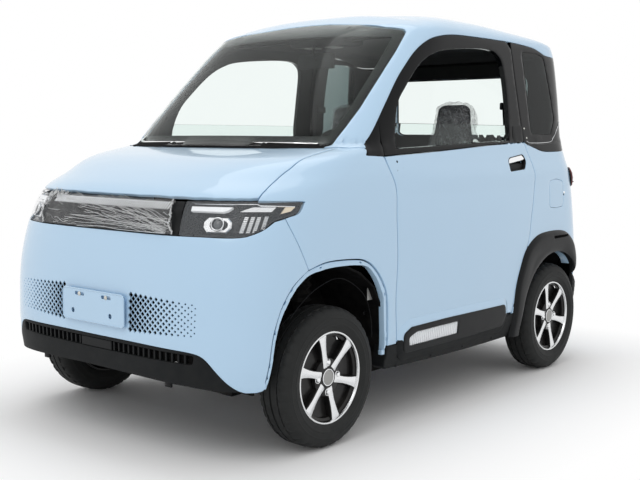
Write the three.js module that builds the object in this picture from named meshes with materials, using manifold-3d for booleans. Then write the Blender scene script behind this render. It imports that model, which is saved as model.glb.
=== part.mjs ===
// Enclosed four-wheel mobility scooter: a small two-door cabin vehicle.
// Units are millimetres. +Z is up, the front faces -Y and the vehicle's left side is +X.
// The origin lies on the ground, midway along the vehicle's length.
// Body panels are cut from one hollow body form, lofted through the rows of BODY_ROWS.
import * as THREE from 'three';
import { mergeVertices } from 'three/addons/utils/BufferGeometryUtils.js';
import Module from 'manifold-3d';

const wasm = await Module();
wasm.setup();

// ---------------------------------------------------------------- driving dimensions
const FRONT_AXLE_Y = -770;
const REAR_AXLE_Y = 900;
const TRACK = 1254;             // between the tyre centre planes
const TYRE_RADIUS = 254;
const RIM_RADIUS = 163;         // bead seat
const ROUND_STEPS = 24;         // facets round a wheel
const SIDE_BOW = 14;            // how far the sides curve inward at the ends
const MID_Y = 60;               // widest station of the body

const SKIN = 20;                // outer panels
const DOOR_WALL = 60;           // whole door, skin to trim
const FRAME_WALL = 45;          // window frames and pillars
const ROOF_WALL = 40;           // roof skin to headliner
const GLASS = 6;
const PANEL_GAP = 6;            // shut lines of the parts that open
const SEAM = 0.4;               // joints between fixed parts

const KINGPIN_INSET = 102;      // from a tyre's centre plane to its kingpin
const KINGPIN_X = TRACK / 2 - KINGPIN_INSET;
const WELL_X = KINGPIN_X - 125; // inner wall of the front wheelhouses
const STUB_REACH = 16;          // how far an axle's end passes the tyre's centre plane
const STUB_RADIUS = 17;

const FLOOR_Z = 205;
const FLOOR_THICK = 30;
const SILL_TOP = 319;
const DOOR_BOTTOM = 325;
const NOSE_FOOT = 262;
const BUMPER_TOP = 590;
const LAMP_FOOT = 773;
const LAMP_TOP = 892;
const SCREEN_FOOT = 1066;
const REAR_BELT = 1046;
const CANT_REAR = 1497;         // foot of the roof behind the side windows

const NOSE_AHEAD = -1400;       // ahead of the nose
const NOSE_BACK = -1000;        // behind the nose's skin
const TAIL_BEYOND = 1400;       // behind the tail
const ABOVE_ALL = 2000;

// One row for each height of the body form, from the skirt to the crown:
// halfWidth, frontY, rearY, then the height of the row at the front, side and rear,
// then the depth and squareness of the front cap, and of the rear cap.
const BODY_ROWS = [
  [676, -1250, 1262, 120, 120, 120, 480, 4.2, 300, 4.0],
  [682, -1256, 1264, 215, 212, 212, 480, 4.2, 300, 4.0],
  [700, -1266, 1276, 330, 320, 330, 500, 4.3, 300, 4.0],
  [705, -1267, 1280, 450, 480, 450, 500, 4.3, 300, 4.0],
  [708, -1257, 1274, 620, 660, 620, 500, 4.2, 300, 3.8],
  [706, -1228, 1252, 790, 830, 820, 500, 3.7, 300, 3.5],
  [696, -1188, 1233, 892, 955, 938, 500, 3.3, 300, 3.5],
  [684, -1100, 1210, 954, 1008, 1007, 480, 2.9, 300, 3.5],
  [672, -920, 1192, 1024, 1045, 1059, 450, 3.8, 300, 3.7],
  [662, -655, 1178, 1076, 1085, 1100, 420, 4.5, 300, 4.2],
  [655, -632, 1174, 1106, 1110, 1130, 420, 4.6, 300, 4.3],
  [630, -415, 1166, 1332, 1320, 1331, 400, 4.5, 300, 4.8],
  [596, -202, 1160, 1532, 1511, 1518, 360, 4.5, 300, 5.2],
  [574, -108, 1126, 1582, 1568, 1563, 330, 4.2, 300, 4.8],
  [500, 14, 1030, 1629, 1611, 1592, 300, 3.4, 300, 3.8],
  [350, 130, 830, 1641, 1636, 1628, 240, 3.0, 240, 3.0],
];
const CROWN = [0, 410, 1648];
const FRONT_STEPS = 7;
const SIDE_STEPS = 4;
const REAR_STEPS = 4;

// Side outlines as [y, z], drawn on the left side and mirrored for the right.
const DOOR_FRONT_EDGE = [
  [-392, DOOR_BOTTOM], [-403, 490], [-405, 800], [-403, 912], [-432, 987], [-443, 1035],
];
const DOOR_REAR_EDGE = [
  [644, 1087], [681, 950], [671, 852], [646, 739], [628, 643], [558, 466], [498, DOOR_BOTTOM],
];
const BELT_LINE = [[-544, 1036], [-443, 1035], [-368, 1039], [-70, 1053], [326, 1075], [644, 1087]];
const SURROUND_TOP = [
  [-544, 1036], [-542, 1042], [-525, 1067], [-455, 1134], [-368, 1230], [-277, 1328], [-202, 1396],
  [-140, 1446], [-71, 1487], [9, 1516], [147, 1535], [376, 1540], [620, 1540],
];
const SURROUND_REAR = [[814, 1531], [892, 1517], [944, 1499], [1063, CANT_REAR]];
const SAIL_SPLIT = [[-443, 1035], [-420, 1172]];
const PILLAR_SPLIT = [[620, 1540], [615, 1340], [644, 1087]];
const QUARTER_BOTTOM = [[644, 1087], [826, 1042], [1007, REAR_BELT]];
const DOOR_WINDOW = [
  [-361, 1061], [-313, 1218], [-239, 1304], [-135, 1393], [-38, 1442], [63, 1466], [277, 1487],
  [417, 1491], [483, 1470], [518, 1410], [524, 1263], [519, 1106],
];
const QUARTER_LIGHT = [[708, 1500], [720, 1124], [921, 1125], [971, 1197], [926, 1485], [860, 1500]];
const GLASS_TOP = 1165;         // upper edge of the half-lowered door glass
const FRONT_ARCH = [
  [-445, 200], [-445, 343], [-465, 461], [-519, 550], [-601, 607], [-686, 641], [-769, 656], [-860, 657],
  [-948, 642], [-1002, 596], [-1039, 532], [-1062, 451], [-1078, 368], [-1084, 300], [-1093, 200],
];
const WING_SPLIT = [[-905, 655], [-946, 733], [-981, 802], [-995, 829]];
const LAMP_LOWER = [
  [NOSE_AHEAD, LAMP_FOOT], [-1133, LAMP_FOOT], [-1075, 795], [-1030, 824], [-976, 838], [-935, 850],
];
const LAMP_UPPER = [[-912, 879], [-920, 889], [-1050, LAMP_TOP], [NOSE_AHEAD, LAMP_TOP]];
const REAR_ARCH_RADIUS = 315;
const FLARE_OUTER = [
  [506, 200], [508, 323], [519, 426], [551, 513], [602, 600], [694, 655], [801, 671], [944, 669],
  [1030, 648], [1099, 599], [1143, 530], [1157, 450], [1152, 354], [1140, 200],
];
// Windscreen outline as [x, z], one half from the middle of its foot to the middle of its head.
const SCREEN_HALF = [
  [0, SCREEN_FOOT], [522, 1067], [545, 1078], [557, 1130], [563, 1215], [558, 1341], [551, 1440], [541, 1500],
  [521, 1540], [447, 1551], [306, 1571], [115, 1588], [0, 1591],
];
const BONNET_HALF_WIDTH = 592;
const LAMP_INNER_X = 380;
const TAILGATE_HALF = 505;
const TAILGATE_BOTTOM = 600;
const TAILGATE_TOP = 1490;
const LID_Y0 = 828;
const LID_Y1 = 970;
const LID_Z0 = 780;
const LID_Z1 = 910;
const LID_GAP = 5;
const CABIN_HALF = 610;         // half the floor's width, out to the sills
const COLUMN_TILT = THREE.MathUtils.degToRad(32);

// ---------------------------------------------------------------- making solids
function solid(geometry) {
  const bare = geometry.clone();
  bare.deleteAttribute('normal');
  bare.deleteAttribute('uv');
  const merged = mergeVertices(bare, 1e-4);
  const mesh = new wasm.Mesh({
    numProp: 3,
    vertProperties: new Float32Array(merged.attributes.position.array),
    triVerts: new Uint32Array(merged.index.array),
  });
  return new wasm.Manifold(mesh);
}

function geometryOf(body) {
  const mesh = body.getMesh();
  const geometry = new THREE.BufferGeometry();
  geometry.setAttribute('position', new THREE.BufferAttribute(new Float32Array(mesh.vertProperties), 3));
  geometry.setIndex(new THREE.BufferAttribute(new Uint32Array(mesh.triVerts), 1));
  geometry.computeVertexNormals();
  return geometry;
}

function box(x0, x1, y0, y1, z0, z1) {
  const geometry = new THREE.BoxGeometry(x1 - x0, y1 - y0, z1 - z0);
  geometry.translate((x0 + x1) / 2, (y0 + y1) / 2, (z0 + z1) / 2);
  return solid(geometry);
}

function prism(points, depth, basis) {
  const shape = new THREE.Shape(points.map(([a, b]) => new THREE.Vector2(a, b)));
  const geometry = new THREE.ExtrudeGeometry(shape, { depth, bevelEnabled: false });
  geometry.applyMatrix4(basis);
  return solid(geometry);
}

const AXIS_X = new THREE.Vector3(1, 0, 0);
const AXIS_Y = new THREE.Vector3(0, 1, 0);
const AXIS_Z = new THREE.Vector3(0, 0, 1);

// An outline of [y, z] points drawn out along X, from x0 to x1.
function prismX(points, x0, x1) {
  const basis = new THREE.Matrix4().makeBasis(AXIS_Y, AXIS_Z, AXIS_X).setPosition(x0, 0, 0);
  return prism(points, x1 - x0, basis);
}

// An outline of [x, z] points drawn out along Y, from y0 to y1.
function prismY(points, y0, y1) {
  const back = AXIS_Y.clone().negate();
  const basis = new THREE.Matrix4().makeBasis(AXIS_X, AXIS_Z, back).setPosition(0, y1, 0);
  return prism(points, y1 - y0, basis);
}

// An outline of [x, y] points drawn out along Z, from z0 to z1.
function prismZ(points, z0, z1) {
  return prism(points, z1 - z0, new THREE.Matrix4().setPosition(0, 0, z0));
}

// A profile of [radius, along] points turned about an axis through (x, y, z).
function turned(profile, axis, x, y, z, segments = 32) {
  const geometry = new THREE.LatheGeometry(profile.map(([r, a]) => new THREE.Vector2(r, a)), segments);
  const turn = new THREE.Quaternion().setFromUnitVectors(AXIS_Y, axis);
  geometry.applyQuaternion(turn);
  geometry.translate(x, y, z);
  const body = solid(geometry);
  return body.volume() > 0 ? body : solid(flipped(geometry));
}

function flipped(geometry) {
  const copy = geometry.clone();
  const index = copy.index.array;
  for (let i = 0; i < index.length; i += 3) {
    const first = index[i];
    index[i] = index[i + 1];
    index[i + 1] = first;
  }
  return copy;
}

// A plain cylinder along an axis, from the point (x, y, z) over a length.
function rod(radius, axis, x, y, z, length, segments = 16) {
  return turned([[0, 0], [radius, 0], [radius, length], [0, length]], axis, x, y, z, segments);
}

function mirrored(body) {
  return body.mirror([1, 0, 0]);
}

function united(bodies) {
  return bodies.reduce((sum, body) => sum.add(body));
}

function roundedRectangle(x0, x1, z0, z1, radius, steps = 3) {
  const points = [];
  const corners = [[x1 - radius, z0 + radius, -90], [x1 - radius, z1 - radius, 0],
    [x0 + radius, z1 - radius, 90], [x0 + radius, z0 + radius, 180]];
  for (const [cx, cz, start] of corners) {
    for (let i = 0; i <= steps; i += 1) {
      const angle = THREE.MathUtils.degToRad(start + (90 * i) / steps);
      points.push([cx + radius * Math.cos(angle), cz + radius * Math.sin(angle)]);
    }
  }
  return points;
}

function arc(cy, cz, radius, fromDegrees, toDegrees, steps) {
  const points = [];
  for (let i = 0; i <= steps; i += 1) {
    const angle = THREE.MathUtils.degToRad(fromDegrees + ((toDegrees - fromDegrees) * i) / steps);
    points.push([cy + radius * Math.cos(angle), cz + radius * Math.sin(angle)]);
  }
  return points;
}

// ---------------------------------------------------------------- the body form
// A quarter of a superellipse: angle 0 is the middle of the cap, 90 degrees its side.
function cap(angle, squareness) {
  const s = Math.sin(angle);
  const c = Math.cos(angle);
  const q = (s ** squareness + c ** squareness) ** (-1 / squareness);
  return [s * q, c * q];
}

// The point of a row at one step around its left half, from the nose to the tail.
function rowPoint(row, step) {
  const [w, yf, yr, zf, zs, zr, df, nf, dr, nr] = row;
  const sideFront = yf + df;
  const sideRear = yr - dr;
  let x = w;
  let y;
  if (step < FRONT_STEPS) {
    const [a, b] = cap((step / FRONT_STEPS) * (Math.PI / 2), nf);
    x = w * a;
    y = sideFront - df * b;
  } else if (step <= FRONT_STEPS + SIDE_STEPS) {
    y = sideFront + (sideRear - sideFront) * ((step - FRONT_STEPS) / SIDE_STEPS);
  } else {
    const left = FRONT_STEPS + SIDE_STEPS + REAR_STEPS - step;
    const [a, b] = cap((left / REAR_STEPS) * (Math.PI / 2), nr);
    x = w * a;
    y = sideRear + dr * b;
  }
  const reach = (y - MID_Y) / (y < MID_Y ? MID_Y - yf : yr - MID_Y);
  x *= 1 - (SIDE_BOW / 700) * reach * reach;
  const t = THREE.MathUtils.clamp((Math.abs(reach) - 0.35) / 0.65, 0, 1);
  const k = t * t * (3 - 2 * t);
  const z = zs + ((y < MID_Y ? zf : zr) - zs) * k;
  return new THREE.Vector3(x, y, z);
}

// The whole loop of every row, moved inward along its normal by an inset.
function bodyLoops(inset) {
  const half = FRONT_STEPS + SIDE_STEPS + REAR_STEPS;
  const grid = BODY_ROWS.map((row) => {
    const loop = [];
    for (let step = 0; step <= half; step += 1) loop.push(rowPoint(row, step));
    for (let step = half - 1; step > 0; step -= 1) {
      const p = rowPoint(row, step);
      loop.push(new THREE.Vector3(-p.x, p.y, p.z));
    }
    return loop;
  });
  const crown = new THREE.Vector3(...CROWN);
  return grid.map((loop, i) => loop.map((p, j) => {
    const n = loop.length;
    const around = loop[(j + 1) % n].clone().sub(loop[(j + n - 1) % n]);
    const above = i + 1 < grid.length ? grid[i + 1][j] : crown;
    const below = i > 0 ? grid[i - 1][j] : p;
    const normal = around.cross(above.clone().sub(below)).normalize();
    return p.clone().addScaledVector(normal, -inset);
  }));
}

// The closed form: the side wall, a flat floor and the crown.
function bodyForm(inset, drop = 0) {
  const loops = bodyLoops(inset);
  const n = loops[0].length;
  const positions = [];
  loops.forEach((loop, i) => loop.forEach((p) => positions.push(p.x, p.y, i === 0 ? p.z - drop : p.z)));
  const floor = positions.length / 3;
  positions.push(0, MID_Y, loops[0][0].z - drop);
  positions.push(CROWN[0], CROWN[1], CROWN[2] - inset);
  const index = [];
  for (let i = 0; i + 1 < loops.length; i += 1) {
    for (let j = 0; j < n; j += 1) {
      const a = i * n + j;
      const b = i * n + ((j + 1) % n);
      if (j < n / 2) index.push(a, b, b + n, a, b + n, a + n);
      else index.push(a, b, a + n, b, b + n, a + n);
    }
  }
  const last = (loops.length - 1) * n;
  for (let j = 0; j < n; j += 1) {
    index.push(floor, (j + 1) % n, j);
    index.push(floor + 1, last + j, last + ((j + 1) % n));
  }
  const geometry = new THREE.BufferGeometry();
  geometry.setAttribute('position', new THREE.Float32BufferAttribute(positions, 3));
  geometry.setIndex(index);
  return solid(geometry);
}

const outer = bodyForm(0);
const shells = new Map();
function shell(wall) {
  if (!shells.has(wall)) shells.set(wall, outer.subtract(bodyForm(wall, 50)));
  return shells.get(wall);
}

const WIDE = 900;               // beyond the body's side
const SEAT_GAP = 0.3;           // under pieces that lie on the body's skin
const MID_GAP = SEAM / 2;

// ---------------------------------------------------------------- regions shared by the panels
const reversed = (points) => points.slice().reverse();

const doorLower = [...DOOR_FRONT_EDGE, ...BELT_LINE.slice(2), ...DOOR_REAR_EDGE.slice(1)];
const surroundFront = SURROUND_TOP.filter(([y]) => y < SAIL_SPLIT[1][0]);
const surroundDoor = SURROUND_TOP.filter(([y]) => y > SAIL_SPLIT[1][0]);
const doorUpper = [
  ...SAIL_SPLIT, ...surroundDoor, ...PILLAR_SPLIT.slice(1), ...reversed(BELT_LINE.slice(2, 5)),
];
const doorWhole = [...DOOR_FRONT_EDGE, SAIL_SPLIT[1], ...surroundDoor, PILLAR_SPLIT[1], ...DOOR_REAR_EDGE];
const sailOutline = [BELT_LINE[0], ...surroundFront.slice(1), SAIL_SPLIT[1], SAIL_SPLIT[0]];
const quarterBlack = [
  ...reversed(PILLAR_SPLIT), ...SURROUND_REAR, [TAIL_BEYOND, CANT_REAR], [TAIL_BEYOND, REAR_BELT],
  ...reversed(QUARTER_BOTTOM.slice(1)),
];
const lampBand = [...LAMP_LOWER, ...LAMP_UPPER];
const screenOutline = [...SCREEN_HALF, ...reversed(SCREEN_HALF.slice(1, -1)).map(([x, z]) => [-x, z])];

// An outline moved inward by a distance all round, or outward when the distance is negative.
function inset(points, distance) {
  const n = points.length;
  const area = points.reduce((sum, [a, b], i) => {
    const [c, d] = points[(i + 1) % n];
    return sum + a * d - c * b;
  }, 0);
  const side = area > 0 ? distance : -distance;
  return points.map((point, i) => {
    const here = new THREE.Vector2(...point);
    const before = here.clone().sub(new THREE.Vector2(...points[(i + n - 1) % n])).normalize();
    const after = new THREE.Vector2(...points[(i + 1) % n]).sub(here).normalize();
    const normalBefore = new THREE.Vector2(-before.y, before.x);
    const normalAfter = new THREE.Vector2(-after.y, after.x);
    const mitre = normalBefore.add(normalAfter);
    const scale = (2 * side) / Math.max(mitre.lengthSq(), 0.4);
    return [here.x + mitre.x * scale, here.y + mitre.y * scale];
  });
}

const parts = new THREE.Group();
const PAINT = { color: 0xb9d6f2, roughness: 0.22, metalness: 0.1 };
const GLOSS_BLACK = { color: 0x0b0c0e, roughness: 0.12, metalness: 0.0 };
const PLASTIC = { color: 0x1a1b1d, roughness: 0.6, metalness: 0.0 };
const STEEL = { color: 0x2a2c2f, roughness: 0.55, metalness: 0.6 };
const ALLOY = { color: 0xb9bcc0, roughness: 0.3, metalness: 0.9 };
const RUBBER = { color: 0x141414, roughness: 0.85, metalness: 0.0 };
const PANE = { color: 0x2b3a3c, roughness: 0.05, metalness: 0.0, transparent: true, opacity: 0.4 };
const TRIM = { color: 0x25272a, roughness: 0.8, metalness: 0.0 };
const SEAT = { color: 0x1d1e20, roughness: 0.75, metalness: 0.0 };
const LAMP_RED = { color: 0x5a0a0c, roughness: 0.15, metalness: 0.0 };

function place(name, body, finish) {
  const mesh = new THREE.Mesh(geometryOf(body), new THREE.MeshStandardMaterial(finish));
  mesh.name = name;
  parts.add(mesh);
}

function placePair(name, body, finish) {
  place(`${name}_left`, body, finish);
  place(`${name}_right`, mirrored(body), finish);
}

// ---------------------------------------------------------------- front panels
const noseOutline = [
  [NOSE_AHEAD, 240], [-1090, 240], ...reversed(FRONT_ARCH.slice(8, 14)), ...WING_SPLIT,
  ...reversed(LAMP_LOWER.slice(0, 4)),
];
const lowerGrilleOutline = [[-588, 248], [588, 248], [586, 268], [532, 370], [-532, 370], [-586, 268]];
const noseFloor = box(-WIDE, WIDE, NOSE_AHEAD, -900, 0, NOSE_FOOT);

// Diamond holes either side of the bracket, in columns of three and two, smaller towards the sides.
const DIAMOND_COLUMNS = 9;
const DIAMOND_FROM = 218;
const DIAMOND_PITCH = 32;
const DIAMOND_RISE = 44;
const DIAMOND_Z = 493;
function diamondHoles() {
  const holes = [];
  for (let column = 0; column < DIAMOND_COLUMNS; column += 1) {
    const x = DIAMOND_FROM + DIAMOND_PITCH * column;
    const half = THREE.MathUtils.lerp(18, 8, column / (DIAMOND_COLUMNS - 1));
    const rows = column % 2 ? 2 : 3;
    for (let row = 0; row < rows; row += 1) {
      const z = DIAMOND_Z + DIAMOND_RISE * (row - (rows - 1) / 2);
      holes.push(prismY([[x - half, z], [x, z - half], [x + half, z], [x, z + half]], NOSE_AHEAD, NOSE_BACK));
    }
  }
  return wasm.Manifold.compose(holes);
}

const diamonds = diamondHoles();
place('nose_panel', shell(SKIN).intersect(prismX(inset(noseOutline, MID_GAP), -WIDE, WIDE))
  .subtract(prismY(inset(lowerGrilleOutline, -SEAM), NOSE_AHEAD, NOSE_BACK)).subtract(noseFloor)
  .subtract(diamonds).subtract(mirrored(diamonds)), PAINT);

// The lower bumper's slot, with upright slats either side of a plain middle.
const SLOT_LOW = 341;
const SLOT_HIGH = 363;
const SLOT_END = 452;
const SLAT_FROM = 86;
const SLAT_PITCH = 34;
const SLAT_WIDTH = 9;
const SLAT_SET_BACK = 3;
const SLOT_DEPTH = 18;
const slotOutline = [
  [SLAT_FROM, SLOT_LOW], [SLOT_END, SLOT_LOW], [SLOT_END - 12, SLOT_HIGH], [SLAT_FROM, SLOT_HIGH],
];
const slot = prismY(slotOutline, NOSE_AHEAD, NOSE_BACK).subtract(bodyForm(SLOT_DEPTH));
const slatBand = shell(SLOT_DEPTH + 6).intersect(bodyForm(SLAT_SET_BACK));
const slats = [];
for (let x = SLAT_FROM + SLAT_PITCH / 2; x < SLOT_END - SLAT_PITCH; x += SLAT_PITCH) {
  slats.push(box(x, x + SLAT_WIDTH, NOSE_AHEAD, NOSE_BACK, SLOT_LOW - 2, SLOT_HIGH + 2));
}
const slatRow = slatBand.intersect(wasm.Manifold.compose(slats));
place('lower_grille', shell(34).intersect(prismY(lowerGrilleOutline, NOSE_AHEAD, NOSE_BACK))
  .subtract(slot).subtract(mirrored(slot)).add(slatRow).add(mirrored(slatRow)), PLASTIC);

const bandSolid = prismX(inset(lampBand, MID_GAP), -WIDE, WIDE);
// The bar between the lamps: a scooped face under a strip of slanted light ribs.
const STRIP_LOW = 857;
const STRIP_HIGH = 883;
const STRIP_HALF = 336;
const RIB_PITCH = 23.6;
const RIB_WIDTH = 12;
const RIB_LEAN = 11;
const STRIP_DEPTH = 6;
const SCOOP_FOOT = 785;
const SCOOP_DEPTH = 7;
const scoopHalf = LAMP_INNER_X - 12;
const scoop = box(-scoopHalf, scoopHalf, NOSE_AHEAD, 0, SCOOP_FOOT, STRIP_LOW - 6)
  .subtract(bodyForm(SCOOP_DEPTH));
const strip = box(-STRIP_HALF, STRIP_HALF, NOSE_AHEAD, 0, STRIP_LOW, STRIP_HIGH)
  .subtract(bodyForm(STRIP_DEPTH));
const ribs = [];
for (let x = -STRIP_HALF + RIB_PITCH; x < STRIP_HALF - RIB_PITCH; x += RIB_PITCH) {
  const foot = [[x, STRIP_LOW - 2], [x + RIB_WIDTH, STRIP_LOW - 2]];
  const head = [[x + RIB_LEAN + RIB_WIDTH, STRIP_HIGH + 2], [x + RIB_LEAN, STRIP_HIGH + 2]];
  ribs.push(prismY([...foot, ...head], NOSE_AHEAD, 0));
}
const ribRow = shell(2 * STRIP_DEPTH).intersect(bodyForm(1)).intersect(wasm.Manifold.compose(ribs));
const barSpan = box(-LAMP_INNER_X + SEAM, LAMP_INNER_X - SEAM, NOSE_AHEAD, 0, 0, ABOVE_ALL);
place('grille_bar', shell(26).intersect(bandSolid).intersect(barSpan)
  .subtract(scoop).subtract(strip).add(ribRow), GLOSS_BLACK);

// A lamp is a bowl with its light units standing on its floor, each to a depth below the lens line.
const BOWL_RIM = 7;
const BOWL_DEPTH = 34;
const UNITS_REAR = -1045;       // the lamp's flank behind this holds no light units
const bowlOpening = prismX(inset(lampBand, BOWL_RIM), LAMP_INNER_X + BOWL_RIM, WIDE);
const unitBand = bowlOpening.subtract(bodyForm(BOWL_DEPTH + 6));
function lampUnit(outline, depth) {
  return prismY(outline, NOSE_AHEAD, UNITS_REAR).intersect(bodyForm(depth)).intersect(unitBand);
}

const PROJECTOR_X = 515;
const PROJECTOR_Z = 819;
const PROJECTOR_WIDE = 42;
const PROJECTOR_HIGH = 24;
const octagon = [[-1, -0.4], [-0.7, -1], [0.7, -1], [1, -0.4], [1, 0.4], [0.7, 1], [-0.7, 1], [-1, 0.4]];
const projectorFrame = octagon.map(([a, b]) => [
  PROJECTOR_X + PROJECTOR_WIDE * a, PROJECTOR_Z + PROJECTOR_HIGH * b,
]);
const MIRRORS_X = [572, 590, 608, 626];
const mirrorOutline = (x) => [[x, 788], [x + 10, 788], [x + 15, 846], [x + 5, 846]];
const lampUnits = united([
  lampUnit([[408, 857], [528, 857], [545, 874], [406, 874]], 10),
  lampUnit([[458, 783], [467, 783], [460, 850], [450, 850]], 14),
  lampUnit(projectorFrame, 20),
  lampUnit(arc(PROJECTOR_X, PROJECTOR_Z, 18, 0, 324, 9), 12),
  ...MIRRORS_X.map((x) => lampUnit(mirrorOutline(x), 14)),
]);
const lampSpan = box(LAMP_INNER_X, WIDE, NOSE_AHEAD, 0, 0, ABOVE_ALL);
const lampBlock = shell(70).intersect(bandSolid).intersect(lampSpan);
const lampBowl = bowlOpening.subtract(bodyForm(BOWL_DEPTH));
placePair('headlamp', lampBlock.subtract(lampBowl).add(lampUnits), GLOSS_BLACK);

const BONNET_REAR_Y = -648;
const bonnetOutline = [
  [-BONNET_HALF_WIDTH, NOSE_AHEAD], [BONNET_HALF_WIDTH, NOSE_AHEAD], [BONNET_HALF_WIDTH, BONNET_REAR_Y],
  [530, -676], [300, -704], [0, -711], [-300, -704], [-530, -676], [-BONNET_HALF_WIDTH, BONNET_REAR_Y],
];
place('bonnet', shell(SKIN).intersect(prismZ(bonnetOutline, LAMP_TOP + PANEL_GAP, 1300)), PAINT);

const wingOutline = [
  [-445, SILL_TOP + MID_GAP], ...FRONT_ARCH.slice(1, 8), ...WING_SPLIT, ...LAMP_LOWER.slice(4),
  ...LAMP_UPPER.slice(0, 3),
  [-1300, LAMP_TOP], [-1300, SCREEN_FOOT], [-544, SCREEN_FOOT], ...BELT_LINE.slice(0, 2),
  ...reversed(DOOR_FRONT_EDGE.slice(0, 5)),
  [-392, SILL_TOP + MID_GAP],
];
const wing = shell(SKIN).intersect(prismX(inset(wingOutline, MID_GAP), BONNET_HALF_WIDTH - 60, WIDE))
  .subtract(prismZ(inset(bonnetOutline, -PANEL_GAP), LAMP_TOP - 12, 1300));
placePair('front_wing', wing, PAINT);

const BRACKET_STAND = 13;        // from the foremost point of the nose to the bracket's face
const BRACKET_THICK = 11;
const noseFront = Math.min(...BODY_ROWS.map((row) => row[1]));
const bracketFace = noseFront - BRACKET_STAND;
const bracketSlot = prismY(roundedRectangle(56, 96, 515, 529, 6.5), bracketFace - 20, bracketFace + 80);
const bracketOutline = roundedRectangle(-177, 177, 437, 556, 14);
place('plate_bracket', prismY(bracketOutline, bracketFace, bracketFace + BRACKET_THICK)
  .subtract(bracketSlot).subtract(mirrored(bracketSlot)), PLASTIC);

// ---------------------------------------------------------------- glazing and upper body
place('windscreen', shell(GLASS).intersect(prismY(inset(screenOutline, MID_GAP), NOSE_AHEAD, 60)), PANE);

const PILLAR_FOOT = SCREEN_FOOT + SEAM;
const belowCantRail = [
  ...SURROUND_TOP, ...SURROUND_REAR, [TAIL_BEYOND, CANT_REAR], [TAIL_BEYOND, 900], [-544, 900],
];
place('roof', shell(ROOF_WALL).intersect(box(-WIDE, WIDE, -700, TAIL_BEYOND, PILLAR_FOOT, ABOVE_ALL))
  .subtract(prismY(inset([...screenOutline.slice(1), [0, 1000]], -MID_GAP), NOSE_AHEAD, 100))
  .subtract(prismX(inset(belowCantRail, -MID_GAP), -WIDE, WIDE)), PAINT);

const SIDE_FROM = 400;          // inboard end of the cuts that shape one side
const sailPrism = prismX(inset(sailOutline, MID_GAP), SIDE_FROM, WIDE);
placePair('sail', shell(FRAME_WALL).intersect(sailPrism), GLOSS_BLACK);

const tailgateHole = roundedRectangle(
  -TAILGATE_HALF - PANEL_GAP, TAILGATE_HALF + PANEL_GAP, TAILGATE_BOTTOM - PANEL_GAP, 1600, 60);
const tailgateCut = prismY(tailgateHole, 1000, TAIL_BEYOND);
const quarterPocket = prismX(QUARTER_LIGHT, SIDE_FROM, WIDE).intersect(bodyForm(GLASS));
placePair('quarter_window', shell(FRAME_WALL).intersect(prismX(inset(quarterBlack, MID_GAP), SIDE_FROM, WIDE))
  .subtract(tailgateCut).subtract(quarterPocket), GLOSS_BLACK);

// ---------------------------------------------------------------- doors
const doorway = prismX(inset(doorWhole, PANEL_GAP - MID_GAP), SIDE_FROM, WIDE);
// The pull handle: a bar across a recess under the belt line.
const HANDLE_FROM = 454;
const HANDLE_TO = 622;
const HANDLE_Z = 995;
const RECESS_HALF = 33;
const RECESS_DEPTH = 24;
const BAR_HALF = 13;
const recessOutline = roundedRectangle(
  HANDLE_FROM, HANDLE_TO, HANDLE_Z - RECESS_HALF, HANDLE_Z + RECESS_HALF, 22);
const barOutline = roundedRectangle(
  HANDLE_FROM - 4, HANDLE_TO + 4, HANDLE_Z - BAR_HALF, HANDLE_Z + BAR_HALF, 8);
const handleRecess = prismX(recessOutline, SIDE_FROM, WIDE).subtract(bodyForm(RECESS_DEPTH));
const handleBar = shell(12).intersect(bodyForm(3)).intersect(prismX(barOutline, SIDE_FROM, WIDE));
placePair('door', shell(DOOR_WALL).intersect(doorway)
  .intersect(prismX(inset(doorLower, MID_GAP), SIDE_FROM, WIDE))
  .subtract(handleRecess).add(handleBar), PAINT);
placePair('door_frame', shell(FRAME_WALL).intersect(doorway)
  .intersect(prismX(inset(doorUpper, MID_GAP), SIDE_FROM, WIDE))
  .subtract(prismX(DOOR_WINDOW, SIDE_FROM, WIDE)), GLOSS_BLACK);

const paneBand = bodyForm(20).subtract(bodyForm(20 + GLASS, 50));
const paneOutline = inset(DOOR_WINDOW, SEAM);
placePair('door_glass', paneBand.intersect(prismX(paneOutline, SIDE_FROM, WIDE))
  .intersect(box(0, WIDE, -WIDE, WIDE, 0, GLASS_TOP)), PANE);

const plateFace = prismX(roundedRectangle(-355, 420, 255, 362, 16), SIDE_FROM, WIDE);
const plateFoot = prismX(roundedRectangle(-345, 410, DOOR_BOTTOM + 4, 354, 8), SIDE_FROM, WIDE);
placePair('door_plate', bodyForm(-16).subtract(bodyForm(-6)).intersect(plateFace)
  .add(bodyForm(-7).subtract(bodyForm(-SEAT_GAP)).intersect(plateFoot)), PLASTIC);

// ---------------------------------------------------------------- rear body
const ARCH_SPLIT = 48;          // degrees round the rear arch where quarter and bumper meet
const quarterPanel = [
  [498, SILL_TOP + MID_GAP], ...arc(REAR_AXLE_Y, TYRE_RADIUS, REAR_ARCH_RADIUS, 168, ARCH_SPLIT, 9),
  [1110, BUMPER_TOP], [TAIL_BEYOND, BUMPER_TOP], [TAIL_BEYOND, REAR_BELT], ...reversed(QUARTER_BOTTOM),
  ...DOOR_REAR_EDGE.slice(1, 6),
];
const quarterBody = shell(DOOR_WALL).intersect(prismX(inset(quarterPanel, MID_GAP), SIDE_FROM, WIDE))
  .subtract(tailgateCut);
const lidOutline = roundedRectangle(LID_Y0, LID_Y1, LID_Z0, LID_Z1, 34);
const pocketOutline = roundedRectangle(
  LID_Y0 - LID_GAP, LID_Y1 + LID_GAP, LID_Z0 - LID_GAP, LID_Z1 + LID_GAP, 38);
const lidPocket = prismX(pocketOutline, SIDE_FROM, WIDE).subtract(bodyForm(34));
place('rear_quarter_left', quarterBody.subtract(lidPocket), PAINT);
place('rear_quarter_right', mirrored(quarterBody), PAINT);
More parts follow.
